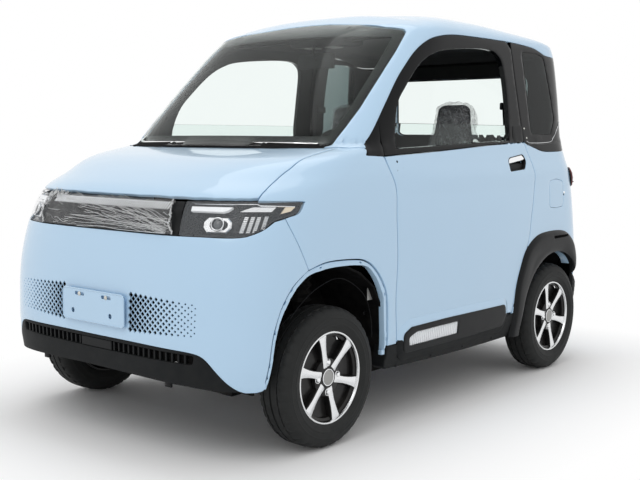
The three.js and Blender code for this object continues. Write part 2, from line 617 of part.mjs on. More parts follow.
place('charge_lid', shell(8).intersect(prismX(lidOutline, SIDE_FROM, WIDE)), PAINT);

const bumperRear = [
  [1110, BUMPER_TOP - SEAM], ...arc(REAR_AXLE_Y, TYRE_RADIUS, REAR_ARCH_RADIUS, ARCH_SPLIT - 0.2, -6, 4),
  [1230, 216], [TAIL_BEYOND, 216], [TAIL_BEYOND, BUMPER_TOP - SEAM],
];
place('rear_bumper', shell(SKIN).intersect(prismX(bumperRear, -WIDE, WIDE)), PAINT);

const tailgateOutline = roundedRectangle(-TAILGATE_HALF, TAILGATE_HALF, TAILGATE_BOTTOM, TAILGATE_TOP, 60);
const rearLight = roundedRectangle(-415, 415, 1120, 1420, 50);
place('tailgate', shell(FRAME_WALL).intersect(prismY(tailgateOutline, 1000, TAIL_BEYOND))
  .subtract(prismY(rearLight, 1000, TAIL_BEYOND)), PAINT);
place('tailgate_glass', shell(GLASS).intersect(prismY(inset(rearLight, SEAM), 1000, TAIL_BEYOND)), PANE);

const lampOutline = roundedRectangle(TAILGATE_HALF + 14, 760, 872, 968, 24);
placePair('tail_lamp', bodyForm(-14).subtract(bodyForm(-SEAT_GAP))
  .intersect(prismY(lampOutline, 1076, TAIL_BEYOND)), LAMP_RED);

const flareCut = rod(REAR_ARCH_RADIUS, AXIS_X, SIDE_FROM, REAR_AXLE_Y, TYRE_RADIUS, WIDE - SIDE_FROM, 32);
placePair('rear_flare', bodyForm(-13).subtract(bodyForm(-SEAT_GAP)).intersect(prismX(FLARE_OUTER, 560, WIDE))
  .subtract(flareCut).intersect(box(0, WIDE, -WIDE, TAIL_BEYOND, 208, ABOVE_ALL)), PLASTIC);

const sillOutline = [[-448, 208], [-414, SILL_TOP], [584, SILL_TOP], [584, 208]];
placePair('sill', outer.intersect(prismX(sillOutline, CABIN_HALF + SEAM, WIDE)), PLASTIC);

// ---------------------------------------------------------------- structure underneath
const SEAT_X = 320;
const SEAT_HALF = 225;
const RISER_TOP = 440;
const FLOOR_TOP = FLOOR_Z + FLOOR_THICK;
const DECK_Z = 540;
const FIREWALL_Y = -440;
const rearWell = TRACK / 2 - 157; // inner wall of the rear wheelhouses
const riser = box(SEAT_X - 200, SEAT_X + 200, 60, 480, FLOOR_TOP - 1, RISER_TOP);
place('floor_pan', united([
  box(-CABIN_HALF, CABIN_HALF, FIREWALL_Y, 584, FLOOR_Z, FLOOR_TOP),
  box(-CABIN_HALF, CABIN_HALF, FIREWALL_Y, FIREWALL_Y + 20, FLOOR_Z, 880),
  riser, mirrored(riser),
  box(-rearWell, rearWell, 564, 584, FLOOR_Z, DECK_Z),
  box(-rearWell, rearWell, 564, 1190, DECK_Z - 20, DECK_Z),
]), TRIM);

const ARCH_CENTRE = [-765, 330];
const archOuter = FRONT_ARCH.map(([y, z]) => {
  const ray = new THREE.Vector2(y - ARCH_CENTRE[0], z - ARCH_CENTRE[1]);
  ray.setLength(ray.length() + 8);
  return [ARCH_CENTRE[0] + ray.x, ARCH_CENTRE[1] + ray.y];
});
const innerForm = bodyForm(SKIN + 1);
const frontLiner = prismX(archOuter, WELL_X, WIDE).subtract(prismX(FRONT_ARCH, WELL_X - 1, WIDE))
  .add(prismX(archOuter, WELL_X - 8, WELL_X).intersect(box(0, WIDE, -WIDE - 400, WIDE, 300, ABOVE_ALL)))
  .intersect(innerForm).intersect(box(0, WIDE, NOSE_AHEAD, FIREWALL_Y - SEAM, 240, ABOVE_ALL));

const rearRing = rod(REAR_ARCH_RADIUS + 8, AXIS_X, rearWell, REAR_AXLE_Y, TYRE_RADIUS, 300, 28)
  .subtract(rod(REAR_ARCH_RADIUS, AXIS_X, rearWell + 8, REAR_AXLE_Y, TYRE_RADIUS, 300, 28));
const rearLiner = rearRing.intersect(box(0, WIDE, 585, TAIL_BEYOND, 340, ABOVE_ALL))
  .intersect(bodyForm(DOOR_WALL + 1));
place('rear_tub', united([rearLiner, mirrored(rearLiner),
  box(-rearWell - 2, rearWell + 2, 1110, 1120, 440, DECK_Z - 20 - SEAM)]), PLASTIC);

const RAIL_X = KINGPIN_X - 225;
const RAIL_HALF = 25;
const RAIL_FRONT = -905;
const RAIL_TOP = FLOOR_Z - SEAM;
const railOutline = [
  [RAIL_FRONT, 150], [604, 150], [710, 380], [1180, 380], [1180, 434], [690, 434], [588, RAIL_TOP],
  [RAIL_FRONT, RAIL_TOP],
];
const rail = prismX(railOutline, RAIL_X - RAIL_HALF, RAIL_X + RAIL_HALF);
const CROSS_MEMBERS_Y = [RAIL_FRONT, -660, -450, 100, 500];
const crossMembers = CROSS_MEMBERS_Y.map((y) => box(-RAIL_X, RAIL_X, y, y + 50, 152, RAIL_TOP - 2));
const SPRING_X = TRACK / 2 - 207;
const SPRING_EYE_TOP = 344;
const hangerZ = SPRING_EYE_TOP + SEAM;
const frontHanger = box(RAIL_X, SPRING_X + 24, 650, 700, hangerZ, 384);

const BATTERY_HALF = RAIL_X - RAIL_HALF - 13;
const BATTERY_BOTTOM = 128;
const BATTERY_TOP = RAIL_TOP - 6;
place('battery_box', united([box(-BATTERY_HALF, BATTERY_HALF, -390, 90, BATTERY_BOTTOM, BATTERY_TOP),
  box(-BATTERY_HALF, BATTERY_HALF, 160, 490, BATTERY_BOTTOM, BATTERY_TOP),
  box(-BATTERY_HALF, BATTERY_HALF, 80, 170, BATTERY_BOTTOM, 150)]), PLASTIC);

// ---------------------------------------------------------------- suspension and axle
const ARM_TOP = 184;
// A wishbone, half of its outline as [x, distance from the axle line].
const armHalf = [[RAIL_X, 110], [KINGPIN_X - 105, 40], [KINGPIN_X - 5, 25], [KINGPIN_X + 27, 10]];
const armWindow = [[RAIL_X + 52, 66], [KINGPIN_X - 95, 15]];
const aboutAxle = (half) => [
  ...half.map(([x, d]) => [x, FRONT_AXLE_Y - d]), ...reversed(half).map(([x, d]) => [x, FRONT_AXLE_Y + d]),
];
const frontArm = prismZ(aboutAxle(armHalf), ARM_TOP - 26, ARM_TOP)
  .subtract(prismZ(aboutAxle(armWindow), 100, 300))
  .subtract(rod(11, AXIS_Z, KINGPIN_X, FRONT_AXLE_Y, 100, 200));
const SPRING_FOOT = 512;
const SPRING_TURN = 28;
const coil = [0, 1, 2].flatMap((turn) => {
  const z = SPRING_FOOT + turn * SPRING_TURN;
  return [[56, z + 4], [44, z + 18]];
});
const strut = turned([
  [0, 412], [9, 412], [22, 404], [22, SPRING_FOOT], ...coil, [56, 600], [40, 640], [14, 660], [0, 660],
], AXIS_Z, KINGPIN_X, FRONT_AXLE_Y, 0, 8);

place('front_tub', united([frontLiner, mirrored(frontLiner), strut, mirrored(strut),
  box(-WELL_X, WELL_X, -660, -648, 300, 640)]), PLASTIC);
place('chassis_frame', united([rail, mirrored(rail), ...crossMembers,
  frontHanger, mirrored(frontHanger), frontArm, mirrored(frontArm),
  box(-SPRING_X - 24, SPRING_X + 24, 1130, 1180, hangerZ, 384)]), STEEL);

const knuckle = united([
  box(KINGPIN_X - 20, KINGPIN_X + 24, FRONT_AXLE_Y - 28, FRONT_AXLE_Y + 28, ARM_TOP + 6, 396),
  rod(9, AXIS_Z, KINGPIN_X, FRONT_AXLE_Y, ARM_TOP - 20, 60),
  rod(STUB_RADIUS, AXIS_X, KINGPIN_X, FRONT_AXLE_Y, TYRE_RADIUS, KINGPIN_INSET + STUB_REACH),
]);
placePair('knuckle', knuckle, STEEL);

const AXLE_END = TRACK / 2 - 79;
const STUB_END = TRACK / 2 + STUB_REACH;
const springLeaf = [[654, 326], [740, 306], [860, 294], [940, 294], [1080, 306], [1176, 326],
  [1176, SPRING_EYE_TOP], [1080, 322], [940, 312], [860, 312], [740, 322], [654, SPRING_EYE_TOP]];
const leafSpring = prismX(springLeaf, SPRING_X - 24, SPRING_X + 24)
  .add(box(SPRING_X - 30, SPRING_X + 30, 860, 940, 230, 320));
place('rear_axle', united([
  rod(36, AXIS_X, -AXLE_END, REAR_AXLE_Y, TYRE_RADIUS, 2 * AXLE_END, 12),
  rod(STUB_RADIUS, AXIS_X, -STUB_END, REAR_AXLE_Y, TYRE_RADIUS, 2 * STUB_END, 12),
  rod(105, AXIS_X, -90, REAR_AXLE_Y, TYRE_RADIUS, 190),
  rod(80, AXIS_Y, 40, REAR_AXLE_Y + 60, TYRE_RADIUS + 10, 210, 14),
  leafSpring, mirrored(leafSpring),
]), STEEL);

// ---------------------------------------------------------------- wheels
const BEAD_X = 54;
const LIP_X = BEAD_X + 3;
const RIM_INNER = 151;
const bead = [RIM_RADIUS + 0.5, BEAD_X];
const tyreHalf = [bead, [169, BEAD_X], [205, 70], [238, 66], [TYRE_RADIUS, 46]];
const tyreProfile = [
  ...tyreHalf, ...reversed(tyreHalf).map(([r, x]) => [r, -x]), [228, -50], [228, 50], bead,
];
const rimProfile = [
  [RIM_INNER, -44], [RIM_INNER, 44], [168, LIP_X], [168, BEAD_X + 0.6], [RIM_RADIUS, BEAD_X + 0.4], [157, 30],
  [157, -30], [RIM_RADIUS, -BEAD_X - 0.4], [168, -BEAD_X - 0.6], [168, -LIP_X], [RIM_INNER, -44],
];
// A spoke along +Y, waisted between the hub and a foot that spreads at the rim.
const spokeOutline = [[30, -17], [92, -10], [153, -26], [153, 26], [92, 10], [30, 17]];
const SPOKES = 6;
const FIRST_SPOKE = 44;         // degrees from the rear towards the top
const NUTS = 4;
const NUT_CIRCLE = 54;

// A wheel with its outer face towards +X, centred on its tyre's mid plane.
function wheelRim() {
  const pieces = [
    turned(rimProfile, AXIS_X, 0, 0, 0, ROUND_STEPS),
    rod(68, AXIS_X, 22, 0, 0, 22, 12),
    rod(31, AXIS_X, 40, 0, 0, 11, 10),
    turned([[20, -16], [96, -16], [96, 2], [60, 23], [20, 23], [20, -16]], AXIS_X, 0, 0, 0, 10),
  ];
  for (let i = 0; i < SPOKES; i += 1) {
    pieces.push(prismX(spokeOutline, 30, 50).rotate([(360 * i) / SPOKES + FIRST_SPOKE, 0, 0]));
  }
  for (let i = 0; i < NUTS; i += 1) {
    const angle = (2 * Math.PI * i) / NUTS;
    pieces.push(rod(9, AXIS_X, 43, NUT_CIRCLE * Math.cos(angle), NUT_CIRCLE * Math.sin(angle), 10, 6));
  }
  return united(pieces);
}

const tyreSolid = turned(tyreProfile, AXIS_X, 0, 0, 0, ROUND_STEPS);
const rimSolid = wheelRim();
// Turned about its axle too, so that both sides show their spokes at the same height.
const rimTurned = rimSolid.rotate([180 - 2 * FIRST_SPOKE, 0, 180]);
for (const [axle, y] of [['front', FRONT_AXLE_Y], ['rear', REAR_AXLE_Y]]) {
  placePair(`${axle}_tyre`, tyreSolid.translate([TRACK / 2, y, TYRE_RADIUS]), RUBBER);
  // One casting fits both sides: the right wheel is the left one turned about the upright.
  place(`${axle}_rim_left`, rimSolid.translate([TRACK / 2, y, TYRE_RADIUS]), ALLOY);
  place(`${axle}_rim_right`, rimTurned.translate([-TRACK / 2, y, TYRE_RADIUS]), ALLOY);
}

// ---------------------------------------------------------------- cabin
const cabin = bodyForm(DOOR_WALL + 3);
const dashOutline = [
  [-700, 1000], [-700, 1040], [-640, 1050], [-420, 1066], [-330, 1030], [-300, 940], [-330, 760],
  [-380, 640], [-418, 640], [-418, 900],
];
const columnAxis = new THREE.Vector3(0, Math.cos(COLUMN_TILT), Math.sin(COLUMN_TILT));
const wheelCentre = new THREE.Vector3(SEAT_X, -205, 985);
const columnFoot = wheelCentre.clone().addScaledVector(columnAxis, -190);
const column = rod(30, columnAxis, columnFoot.x, columnFoot.y, columnFoot.z, 130, 16);
place('dashboard', prismX(dashOutline, -590, 590).intersect(cabin).add(column), TRIM);

const steering = new THREE.TorusGeometry(178, 14, 5, 20);
steering.applyQuaternion(new THREE.Quaternion().setFromUnitVectors(AXIS_Z, columnAxis));
steering.translate(wheelCentre.x, wheelCentre.y, wheelCentre.z);
const hubStart = wheelCentre.clone().addScaledVector(columnAxis, -52);
const wheelHub = rod(46, columnAxis, hubStart.x, hubStart.y, hubStart.z, 50, 20);
const spokeBar = new THREE.BoxGeometry(350, 26, 12).translate(0, 0, -8);
spokeBar.applyQuaternion(new THREE.Quaternion().setFromUnitVectors(AXIS_Z, columnAxis));
spokeBar.translate(wheelCentre.x, wheelCentre.y, wheelCentre.z);
place('steering_wheel', united([solid(steering), wheelHub, solid(spokeBar)]), TRIM);

const seatOutline = [
  [40, 441], [20, 520], [60, 570], [420, 548], [470, 700], [530, 1120], [548, 1272], [610, 1276],
  [632, 1180], [560, 560], [520, 441],
];
// The seat from the front, one half as [distance from its middle, z]: shoulders under a narrow headrest.
const seatHalf = [[SEAT_HALF, 400], [SEAT_HALF, 600], [214, 980], [196, 1060], [112, 1130], [74, 1300]];
const seatFront = [
  ...seatHalf.map(([d, z]) => [SEAT_X + d, z]), ...reversed(seatHalf).map(([d, z]) => [SEAT_X - d, z]),
];
const seat = prismX(seatOutline, SEAT_X - SEAT_HALF, SEAT_X + SEAT_HALF).intersect(prismY(seatFront, 0, 700));
place('driver_seat', seat, SEAT);
place('passenger_seat', mirrored(seat), SEAT);
const benchOutline = [
  [690, 541], [680, 640], [710, 668], [960, 650], [1030, 1070], [1100, 1076], [1110, 541],
];
const BENCH_HALF = rearWell - 15;
place('rear_bench', prismX(benchOutline, -BENCH_HALF, BENCH_HALF), SEAT);

export default parts;
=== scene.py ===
"""Looks of an enclosed four-wheel mobility scooter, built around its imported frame.

The vehicle stands on the ground with its front towards -Y and its left side towards +X. Every place
is in metres in the frame's own axes. Outlines are written in millimetres, as a body drawing would
give them, and are turned to metres by mm(). Painted and glazed panels are cut from one smooth body
surface, BodySurface, so that neighbours run flush with even gaps between them.
"""
import logging
import math
from dataclasses import dataclass, field
from enum import Enum
from typing import Callable, Iterable, Sequence

import bmesh
import bpy
import numpy as np
from mathutils import Matrix, Vector
from mathutils.geometry import delaunay_2d_cdt


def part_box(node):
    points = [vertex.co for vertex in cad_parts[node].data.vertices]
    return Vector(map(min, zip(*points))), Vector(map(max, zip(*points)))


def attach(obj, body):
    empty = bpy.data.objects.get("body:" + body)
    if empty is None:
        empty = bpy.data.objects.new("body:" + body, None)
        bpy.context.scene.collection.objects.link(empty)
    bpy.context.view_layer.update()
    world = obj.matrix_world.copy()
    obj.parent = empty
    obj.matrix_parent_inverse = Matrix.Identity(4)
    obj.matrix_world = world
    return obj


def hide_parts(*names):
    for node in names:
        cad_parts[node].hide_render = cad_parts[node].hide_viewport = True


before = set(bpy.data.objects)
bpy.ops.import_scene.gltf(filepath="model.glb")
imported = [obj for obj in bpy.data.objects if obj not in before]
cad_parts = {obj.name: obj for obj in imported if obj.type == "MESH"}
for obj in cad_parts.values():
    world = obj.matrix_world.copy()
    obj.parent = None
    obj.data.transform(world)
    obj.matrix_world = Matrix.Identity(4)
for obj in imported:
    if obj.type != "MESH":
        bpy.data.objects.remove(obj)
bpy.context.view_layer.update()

log = logging.getLogger("scooter")

Point2 = tuple[float, float]
Point3 = tuple[float, float, float]
Outline = list[Point2]

ROOT = "chassis"
FRONT_AXLE_Y = -0.770
REAR_AXLE_Y = 0.900
AXLE_Z = 0.254
MIRROR_X = Matrix.Scale(-1.0, 4, (1.0, 0.0, 0.0))


class Side(Enum):
    """The two sides of the vehicle, with the sign of their X coordinates."""

    LEFT = 1.0
    RIGHT = -1.0

    @property
    def word(self) -> str:
        """The side's name, as the frame's nodes end in it."""
        return self.name.lower()


class View(Enum):
    """The drawing plane in which a panel's outline is given."""

    SIDE = "side"      # [y, z] on one side
    TOP = "top"        # [x, y] from above
    FRONT = "front"    # [x, z] from the front
    REAR = "rear"      # [x, z] from behind
    AROUND = "around"  # [distance round the body from the middle of the nose, z]
    CROWN = "crown"    # from above, with the sides folded outwards


def mm(points: Iterable[Sequence[float]]) -> Outline:
    """Turns outline points from millimetres to metres.

    Args:
        points: The points in millimetres.
    Returns:
        The same points in metres.
    """
    return [tuple(c * 0.001 for c in p) for p in points]


# ------------------------------------------------------------------------------ mesh tools
def deselect() -> None:
    """Leaves nothing selected, so that an operator acts only on what is chosen next."""
    for obj in bpy.context.selected_objects:
        obj.select_set(False)


def choose(obj: bpy.types.Object) -> bpy.types.Object:
    """Makes one object the only selected one and the active one.

    Args:
        obj: The object to select.
    Returns:
        The same object.
    """
    deselect()
    obj.select_set(True)
    bpy.context.view_layer.objects.active = obj
    return obj


def from_data(name: str, points: Sequence, faces: Sequence,
              marks: Sequence[int] | None = None) -> bpy.types.Object:
    """Makes an object from points and faces.

    Args:
        name: The new object's name.
        points: Corner positions.
        faces: Corner numbers of each face.
        marks: Material number of each face.
    Returns:
        The linked object.
    """
    mesh = bpy.data.meshes.new(name)
    mesh.from_pydata([tuple(p) for p in points], [], [tuple(int(i) for i in f) for f in faces])
    if marks is not None:
        mesh.polygons.foreach_set("material_index", np.asarray(marks, np.int32))
    mesh.validate()
    obj = bpy.data.objects.new(name, mesh)
    bpy.context.scene.collection.objects.link(obj)
    return obj


def apply_modifier(obj: bpy.types.Object, kind: str, **settings: object) -> bpy.types.Object:
    """Adds a modifier, sets its values and applies it at once.

    Args:
        obj: The object to change.
        kind: The modifier's type.
        **settings: Values for the modifier's own properties.
    Returns:
        The same object.
    """
    choose(obj)
    modifier = obj.modifiers.new(kind.lower(), kind)
    for key, value in settings.items():
        setattr(modifier, key, value)
    bpy.ops.object.modifier_apply(modifier=modifier.name)
    return obj


def smooth(obj: bpy.types.Object, degrees: float = 35.0) -> bpy.types.Object:
    """Shades an object smooth, with edges sharper than the angle kept crisp.

    Args:
        obj: The object to shade.
        degrees: The greatest angle that is still shaded smooth.
    Returns:
        The same object.
    """
    choose(obj)
    bpy.ops.object.shade_smooth_by_angle(angle=math.radians(degrees))
    return obj


def settle(obj: bpy.types.Object) -> bpy.types.Object:
    """Moves an object's place, turn and size into its mesh.

    Args:
        obj: The object to settle.
    Returns:
        The same object.
    """
    choose(obj)
    bpy.ops.object.transform_apply(location=True, rotation=True, scale=True)
    return obj


def outward(obj: bpy.types.Object) -> bpy.types.Object:
    """Merges doubles and turns every face outwards.

    Args:
        obj: The object to mend.
    Returns:
        The same object.
    """
    choose(obj)
    bpy.ops.object.mode_set(mode="EDIT")
    bpy.ops.mesh.select_all(action="SELECT")
    bpy.ops.mesh.remove_doubles(threshold=0.00002)
    bpy.ops.mesh.normals_make_consistent(inside=False)
    bpy.ops.object.mode_set(mode="OBJECT")
    return obj


def joined(name: str, pieces: Sequence[bpy.types.Object]) -> bpy.types.Object:
    """Joins several objects into one.

    Args:
        name: The name of the joined object.
        pieces: The objects to join; they are used up.
    Returns:
        The joined object.
    """
    deselect()
    for piece in pieces:
        piece.select_set(True)
    bpy.context.view_layer.objects.active = pieces[0]
    bpy.ops.object.join()
    pieces[0].name = name
    pieces[0].data.name = name
    return pieces[0]


def copied(obj: bpy.types.Object, name: str, change: Matrix) -> bpy.types.Object:
    """Copies an object with its own mesh, moved or mirrored by a matrix.

    Args:
        obj: The object to copy.
        name: The copy's name.
        change: Where the copy's mesh goes; a mirroring matrix has its faces turned back.
    Returns:
        The copy.
    """
    twin = obj.copy()
    twin.data = obj.data.copy()
    twin.name = name
    twin.data.name = name
    bpy.context.scene.collection.objects.link(twin)
    twin.data.transform(change)
    if change.determinant() < 0:
        twin.data.flip_normals()
    return twin


def block(name: str, low: Point3, high: Point3, bevel: float = 0.003, segments: int = 2) -> bpy.types.Object:
    """A rounded block between two corners.

    Args:
        name: The object's name.
        low: Lowest corner.
        high: Highest corner.
        bevel: Radius of its edges.
        segments: Steps in each rounded edge.
    Returns:
        The block.
    """
    deselect()
    middle = [(a + b) / 2 for a, b in zip(low, high)]
    bpy.ops.mesh.primitive_cube_add(size=1.0, location=middle)
    obj = bpy.context.active_object
    obj.name = name
    obj.scale = [b - a for a, b in zip(low, high)]
    settle(obj)
    if bevel > 0:
        apply_modifier(obj, "BEVEL", width=bevel, segments=segments, limit_method="ANGLE")
    return smooth(obj, 40)


def cylinder(name: str, start: Point3, end: Point3, radius: float, sides: int = 24,
             bevel: float = 0.0) -> bpy.types.Object:
    """A round bar from one point to another.

    Args:
        name: The object's name.
        start: Centre of its first end.
        end: Centre of its other end.
        radius: Its radius.
        sides: Number of sides.
        bevel: Radius of its end edges.
    Returns:
        The bar.
    """
    deselect()
    a, b = Vector(start), Vector(end)
    bpy.ops.mesh.primitive_cylinder_add(vertices=sides, radius=radius, depth=(b - a).length,
                                        location=(a + b) / 2)
    obj = bpy.context.active_object
    obj.name = name
    obj.rotation_mode = "QUATERNION"
    obj.rotation_quaternion = (b - a).to_track_quat("Z", "Y")
    settle(obj)
    if bevel > 0:
        apply_modifier(obj, "BEVEL", width=bevel, segments=2, limit_method="ANGLE",
                       angle_limit=math.radians(50))
    return smooth(obj, 40)


def turned(name: str, profile: Sequence[Point2], centre: Point3, axis: Point3,
           steps: int = 64) -> bpy.types.Object:
    """Spins a profile round an axis.

    Args:
        name: The object's name.
        profile: Points as [radius, distance along the axis].
        centre: The point of the axis where the distance is nothing.
        axis: The direction of the axis.
        steps: Number of steps round the turn.
    Returns:
        The turned object, which is closed if its profile starts and ends on the axis or on itself.
    """
    deselect()
    obj = from_data(name, [(r, 0.0, a) for r, a in profile], [])
    choose(obj)
    shape = bmesh.new()
    shape.from_mesh(obj.data)
    shape.verts.ensure_lookup_table()
    for first, second in zip(range(len(profile) - 1), range(1, len(profile))):
        shape.edges.new((shape.verts[first], shape.verts[second]))
    shape.to_mesh(obj.data)
    shape.free()
    bpy.ops.object.mode_set(mode="EDIT")
    bpy.ops.mesh.select_all(action="SELECT")
    bpy.ops.mesh.spin(steps=steps, angle=2 * math.pi, center=(0, 0, 0), axis=(0, 0, 1))
    bpy.ops.mesh.select_all(action="SELECT")
    bpy.ops.mesh.remove_doubles(threshold=0.00002)
    bpy.ops.mesh.normals_make_consistent(inside=False)
    bpy.ops.object.mode_set(mode="OBJECT")
    turn = Vector(axis).to_track_quat("Z", "Y").to_matrix().to_4x4()
    obj.data.transform(Matrix.Translation(centre) @ turn)
    return smooth(obj, 32)


def tube(name: str, path: Sequence[Point3], radius: float, sides: int = 8,
         closed: bool = False) -> bpy.types.Object:
    """A round tube along a smooth path.

    Args:
        name: The object's name.
        path: Points of the path.
        radius: Radius of the tube.
        sides: Steps round the tube.
        closed: Whether the path runs back to its start.
    Returns:
        The tube as a mesh.
    """
    curve = bpy.data.curves.new(name, "CURVE")
    curve.dimensions = "3D"
    curve.bevel_depth = radius
    curve.bevel_resolution = max(0, sides // 4 - 1)
    curve.use_fill_caps = not closed
    spline = curve.splines.new("POLY")
    spline.points.add(len(path) - 1)
    for place, point in zip(spline.points, path):
        place.co = (*point, 1.0)
    spline.use_cyclic_u = closed
    obj = bpy.data.objects.new(name, curve)
    bpy.context.scene.collection.objects.link(obj)
    choose(obj)
    bpy.ops.object.convert(target="MESH")
    return smooth(bpy.context.active_object, 60)


def dress(obj: bpy.types.Object, body: str, slot: str, *materials: bpy.types.Material) -> bpy.types.Object:
    """Gives a piece its materials and the body that it rides on.

    Args:
        obj: The piece.
        body: The body that it moves with.
        slot: The record's slot of its main finish; not used.
        *materials: Its materials, in the order of its face marks.
    Returns:
        The piece.
    """
    if materials:
        marks = [p.material_index for p in obj.data.polygons]
        obj.data.materials.clear()
        for material in materials:
            obj.data.materials.append(material)
        obj.data.polygons.foreach_set("material_index", marks)
    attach(obj, body)
    log.info("%s: %d faces on %s", obj.name, len(obj.data.polygons), body)
    return obj


# ------------------------------------------------------------------------------ the body surface
def through_four(a: np.ndarray, b: np.ndarray, c: np.ndarray, d: np.ndarray,
                 t: np.ndarray | float) -> np.ndarray:
    """The point that lies the share t from b to c, on a smooth curve through all four points.

    Args:
        a: The point before the stretch.
        b: The point where it starts.
        c: The point where it ends.
        d: The point after it.
        t: The share of the way from b to c.
    Returns:
        The point, or one point for each share.
    """
    bend = 2 * a - 5 * b + 4 * c - d
    twist = 3 * b - a - 3 * c + d
    return 0.5 * (2 * b + (c - a) * t + bend * t * t + twist * t ** 3)


def through(points: Sequence[Sequence[float]], steps: int = 6) -> Outline:
    """A smooth open curve through points, by Catmull-Rom.

    Args:
        points: The points to pass through.
        steps: Number of steps between two of them.
    Returns:
        The points of the curve, with both ends kept.
    """
    p = np.asarray(points, float)
    if len(p) < 3:
        return [tuple(q) for q in p]
    ends = np.vstack([2 * p[0] - p[1], p, 2 * p[-1] - p[-2]])
    out = []
    for a, b, c, d in zip(ends, ends[1:], ends[2:], ends[3:]):
        for k in range(steps):
            t = k / steps
            out.append(through_four(a, b, c, d, t))
    out.append(p[-1])
    return [tuple(q) for q in out]


def rounded(corners: Sequence[Point2], radii: Sequence[float] | float, steps: int = 6) -> Outline:
    """A closed outline with rounded corners.

    Args:
        corners: Its corners in order.
        radii: The radius at each corner, or one for all.
        steps: Number of steps in each round.
    Returns:
        The outline's points.
    """
    n = len(corners)
    radius = [radii] * n if isinstance(radii, (int, float)) else list(radii)
    out = []
    for i, corner in enumerate(corners):
        here = np.array(corner, float)
        before = np.array(corners[i - 1], float) - here
        after = np.array(corners[(i + 1) % n], float) - here
        la, lb = np.linalg.norm(before), np.linalg.norm(after)
        before, after = before / la, after / lb
        half = math.acos(max(-1.0, min(1.0, float(before @ after)))) / 2
        cut = min(radius[i] / max(math.tan(half), 1e-6), 0.49 * la, 0.49 * lb)
        if radius[i] <= 0 or cut < 1e-7 or half > math.radians(89):
            out.append(tuple(here))
            continue
        start, end = here + before * cut, here + after * cut
        for k in range(steps + 1):
            t = k / steps
            out.append(tuple((1 - t) ** 2 * start + 2 * t * (1 - t) * here + t * t * end))
    return out


def area_of(outline: np.ndarray) -> float:
    """The signed area of a closed outline, positive if it runs anticlockwise."""
    x, y = outline[:, 0], outline[:, 1]
    return float(0.5 * np.sum(x * np.roll(y, -1) - np.roll(x, -1) * y))


def offset(outline: np.ndarray, distance: float) -> np.ndarray:
    """Moves a closed anticlockwise outline inward by a distance, with mitred corners.

    Args:
        outline: Its points.
        distance: How far inward; outward if negative.
    Returns:
        The moved points, one for each given.
    """
    before = outline - np.roll(outline, 1, 0)
    after = np.roll(outline, -1, 0) - outline
    before /= np.maximum(np.linalg.norm(before, axis=1, keepdims=True), 1e-12)
    after /= np.maximum(np.linalg.norm(after, axis=1, keepdims=True), 1e-12)
    normals = np.stack([-before[:, 1] - after[:, 1], before[:, 0] + after[:, 0]], 1)
    length = np.sum(normals * normals, 1, keepdims=True)
    return outline + normals * (2 * distance / np.maximum(length, 1.2))


def spaced(outline: np.ndarray, longest: float) -> np.ndarray:
    """Splits the edges of a closed outline that are longer than a length.

    Args:
        outline: The closed outline.
        longest: The greatest length of an edge.
    Returns:
        The outline with the added points.
    """
    out = []
    for a, b in zip(outline, np.roll(outline, -1, 0)):
        count = max(1, int(math.ceil(np.linalg.norm(b - a) / longest)))
        out.extend(a + (b - a) * k / count for k in range(count))
    return np.array(out)


def cleaned(outline: Sequence[Point2], shortest: float = 0.0006) -> np.ndarray:
    """An anticlockwise outline as an array, without points that nearly coincide.

    Args:
        outline: The closed outline.
        shortest: A point no further than this from the last one is left out.
    Returns:
        The outline's points, one in each row.
    """
    kept: list[np.ndarray] = []
    for point in np.asarray(outline, float):
        if not kept or np.linalg.norm(point - kept[-1]) > shortest:
            kept.append(point)
    while len(kept) > 3 and np.linalg.norm(kept[0] - kept[-1]) <= shortest:
        kept.pop()
    array = np.array(kept)
    return array if area_of(array) > 0 else array[::-1].copy()


def inside(points: np.ndarray, outline: np.ndarray) -> np.ndarray:
    """Tells which points lie inside a closed outline.

    Args:
        points: The points to test.
        outline: The closed outline.
    Returns:
        One truth value for each point.
    """
    x, y = points[:, 0:1], points[:, 1:2]
    ax, ay = outline[:, 0], outline[:, 1]
    bx, by = np.roll(ax, -1), np.roll(ay, -1)
    crosses = (ay > y) != (by > y)
    with np.errstate(divide="ignore", invalid="ignore"):
        at = (bx - ax) * (y - ay) / (by - ay) + ax
    return (np.sum(crosses & (x < at), 1) % 2) == 1


def nearest_line(points: np.ndarray, line: np.ndarray) -> np.ndarray:
    """The distance from each point to an open line.

    Args:
        points: The points to measure from.
        line: The line's points.
    Returns:
        One distance for each point.
    """
    best = np.full(len(points), np.inf)
    for a, b in zip(line, line[1:]):
        run = b - a
        t = np.clip(((points - a) @ run) / max(float(run @ run), 1e-14), 0, 1)
        best = np.minimum(best, np.linalg.norm(points - (a + t[:, None] * run), axis=1))
    return best


def nearest_edge(points: np.ndarray, outline: np.ndarray) -> np.ndarray:
    """The distance from each point to a closed outline."""
    return nearest_line(points, np.vstack([outline, outline[:1]]))


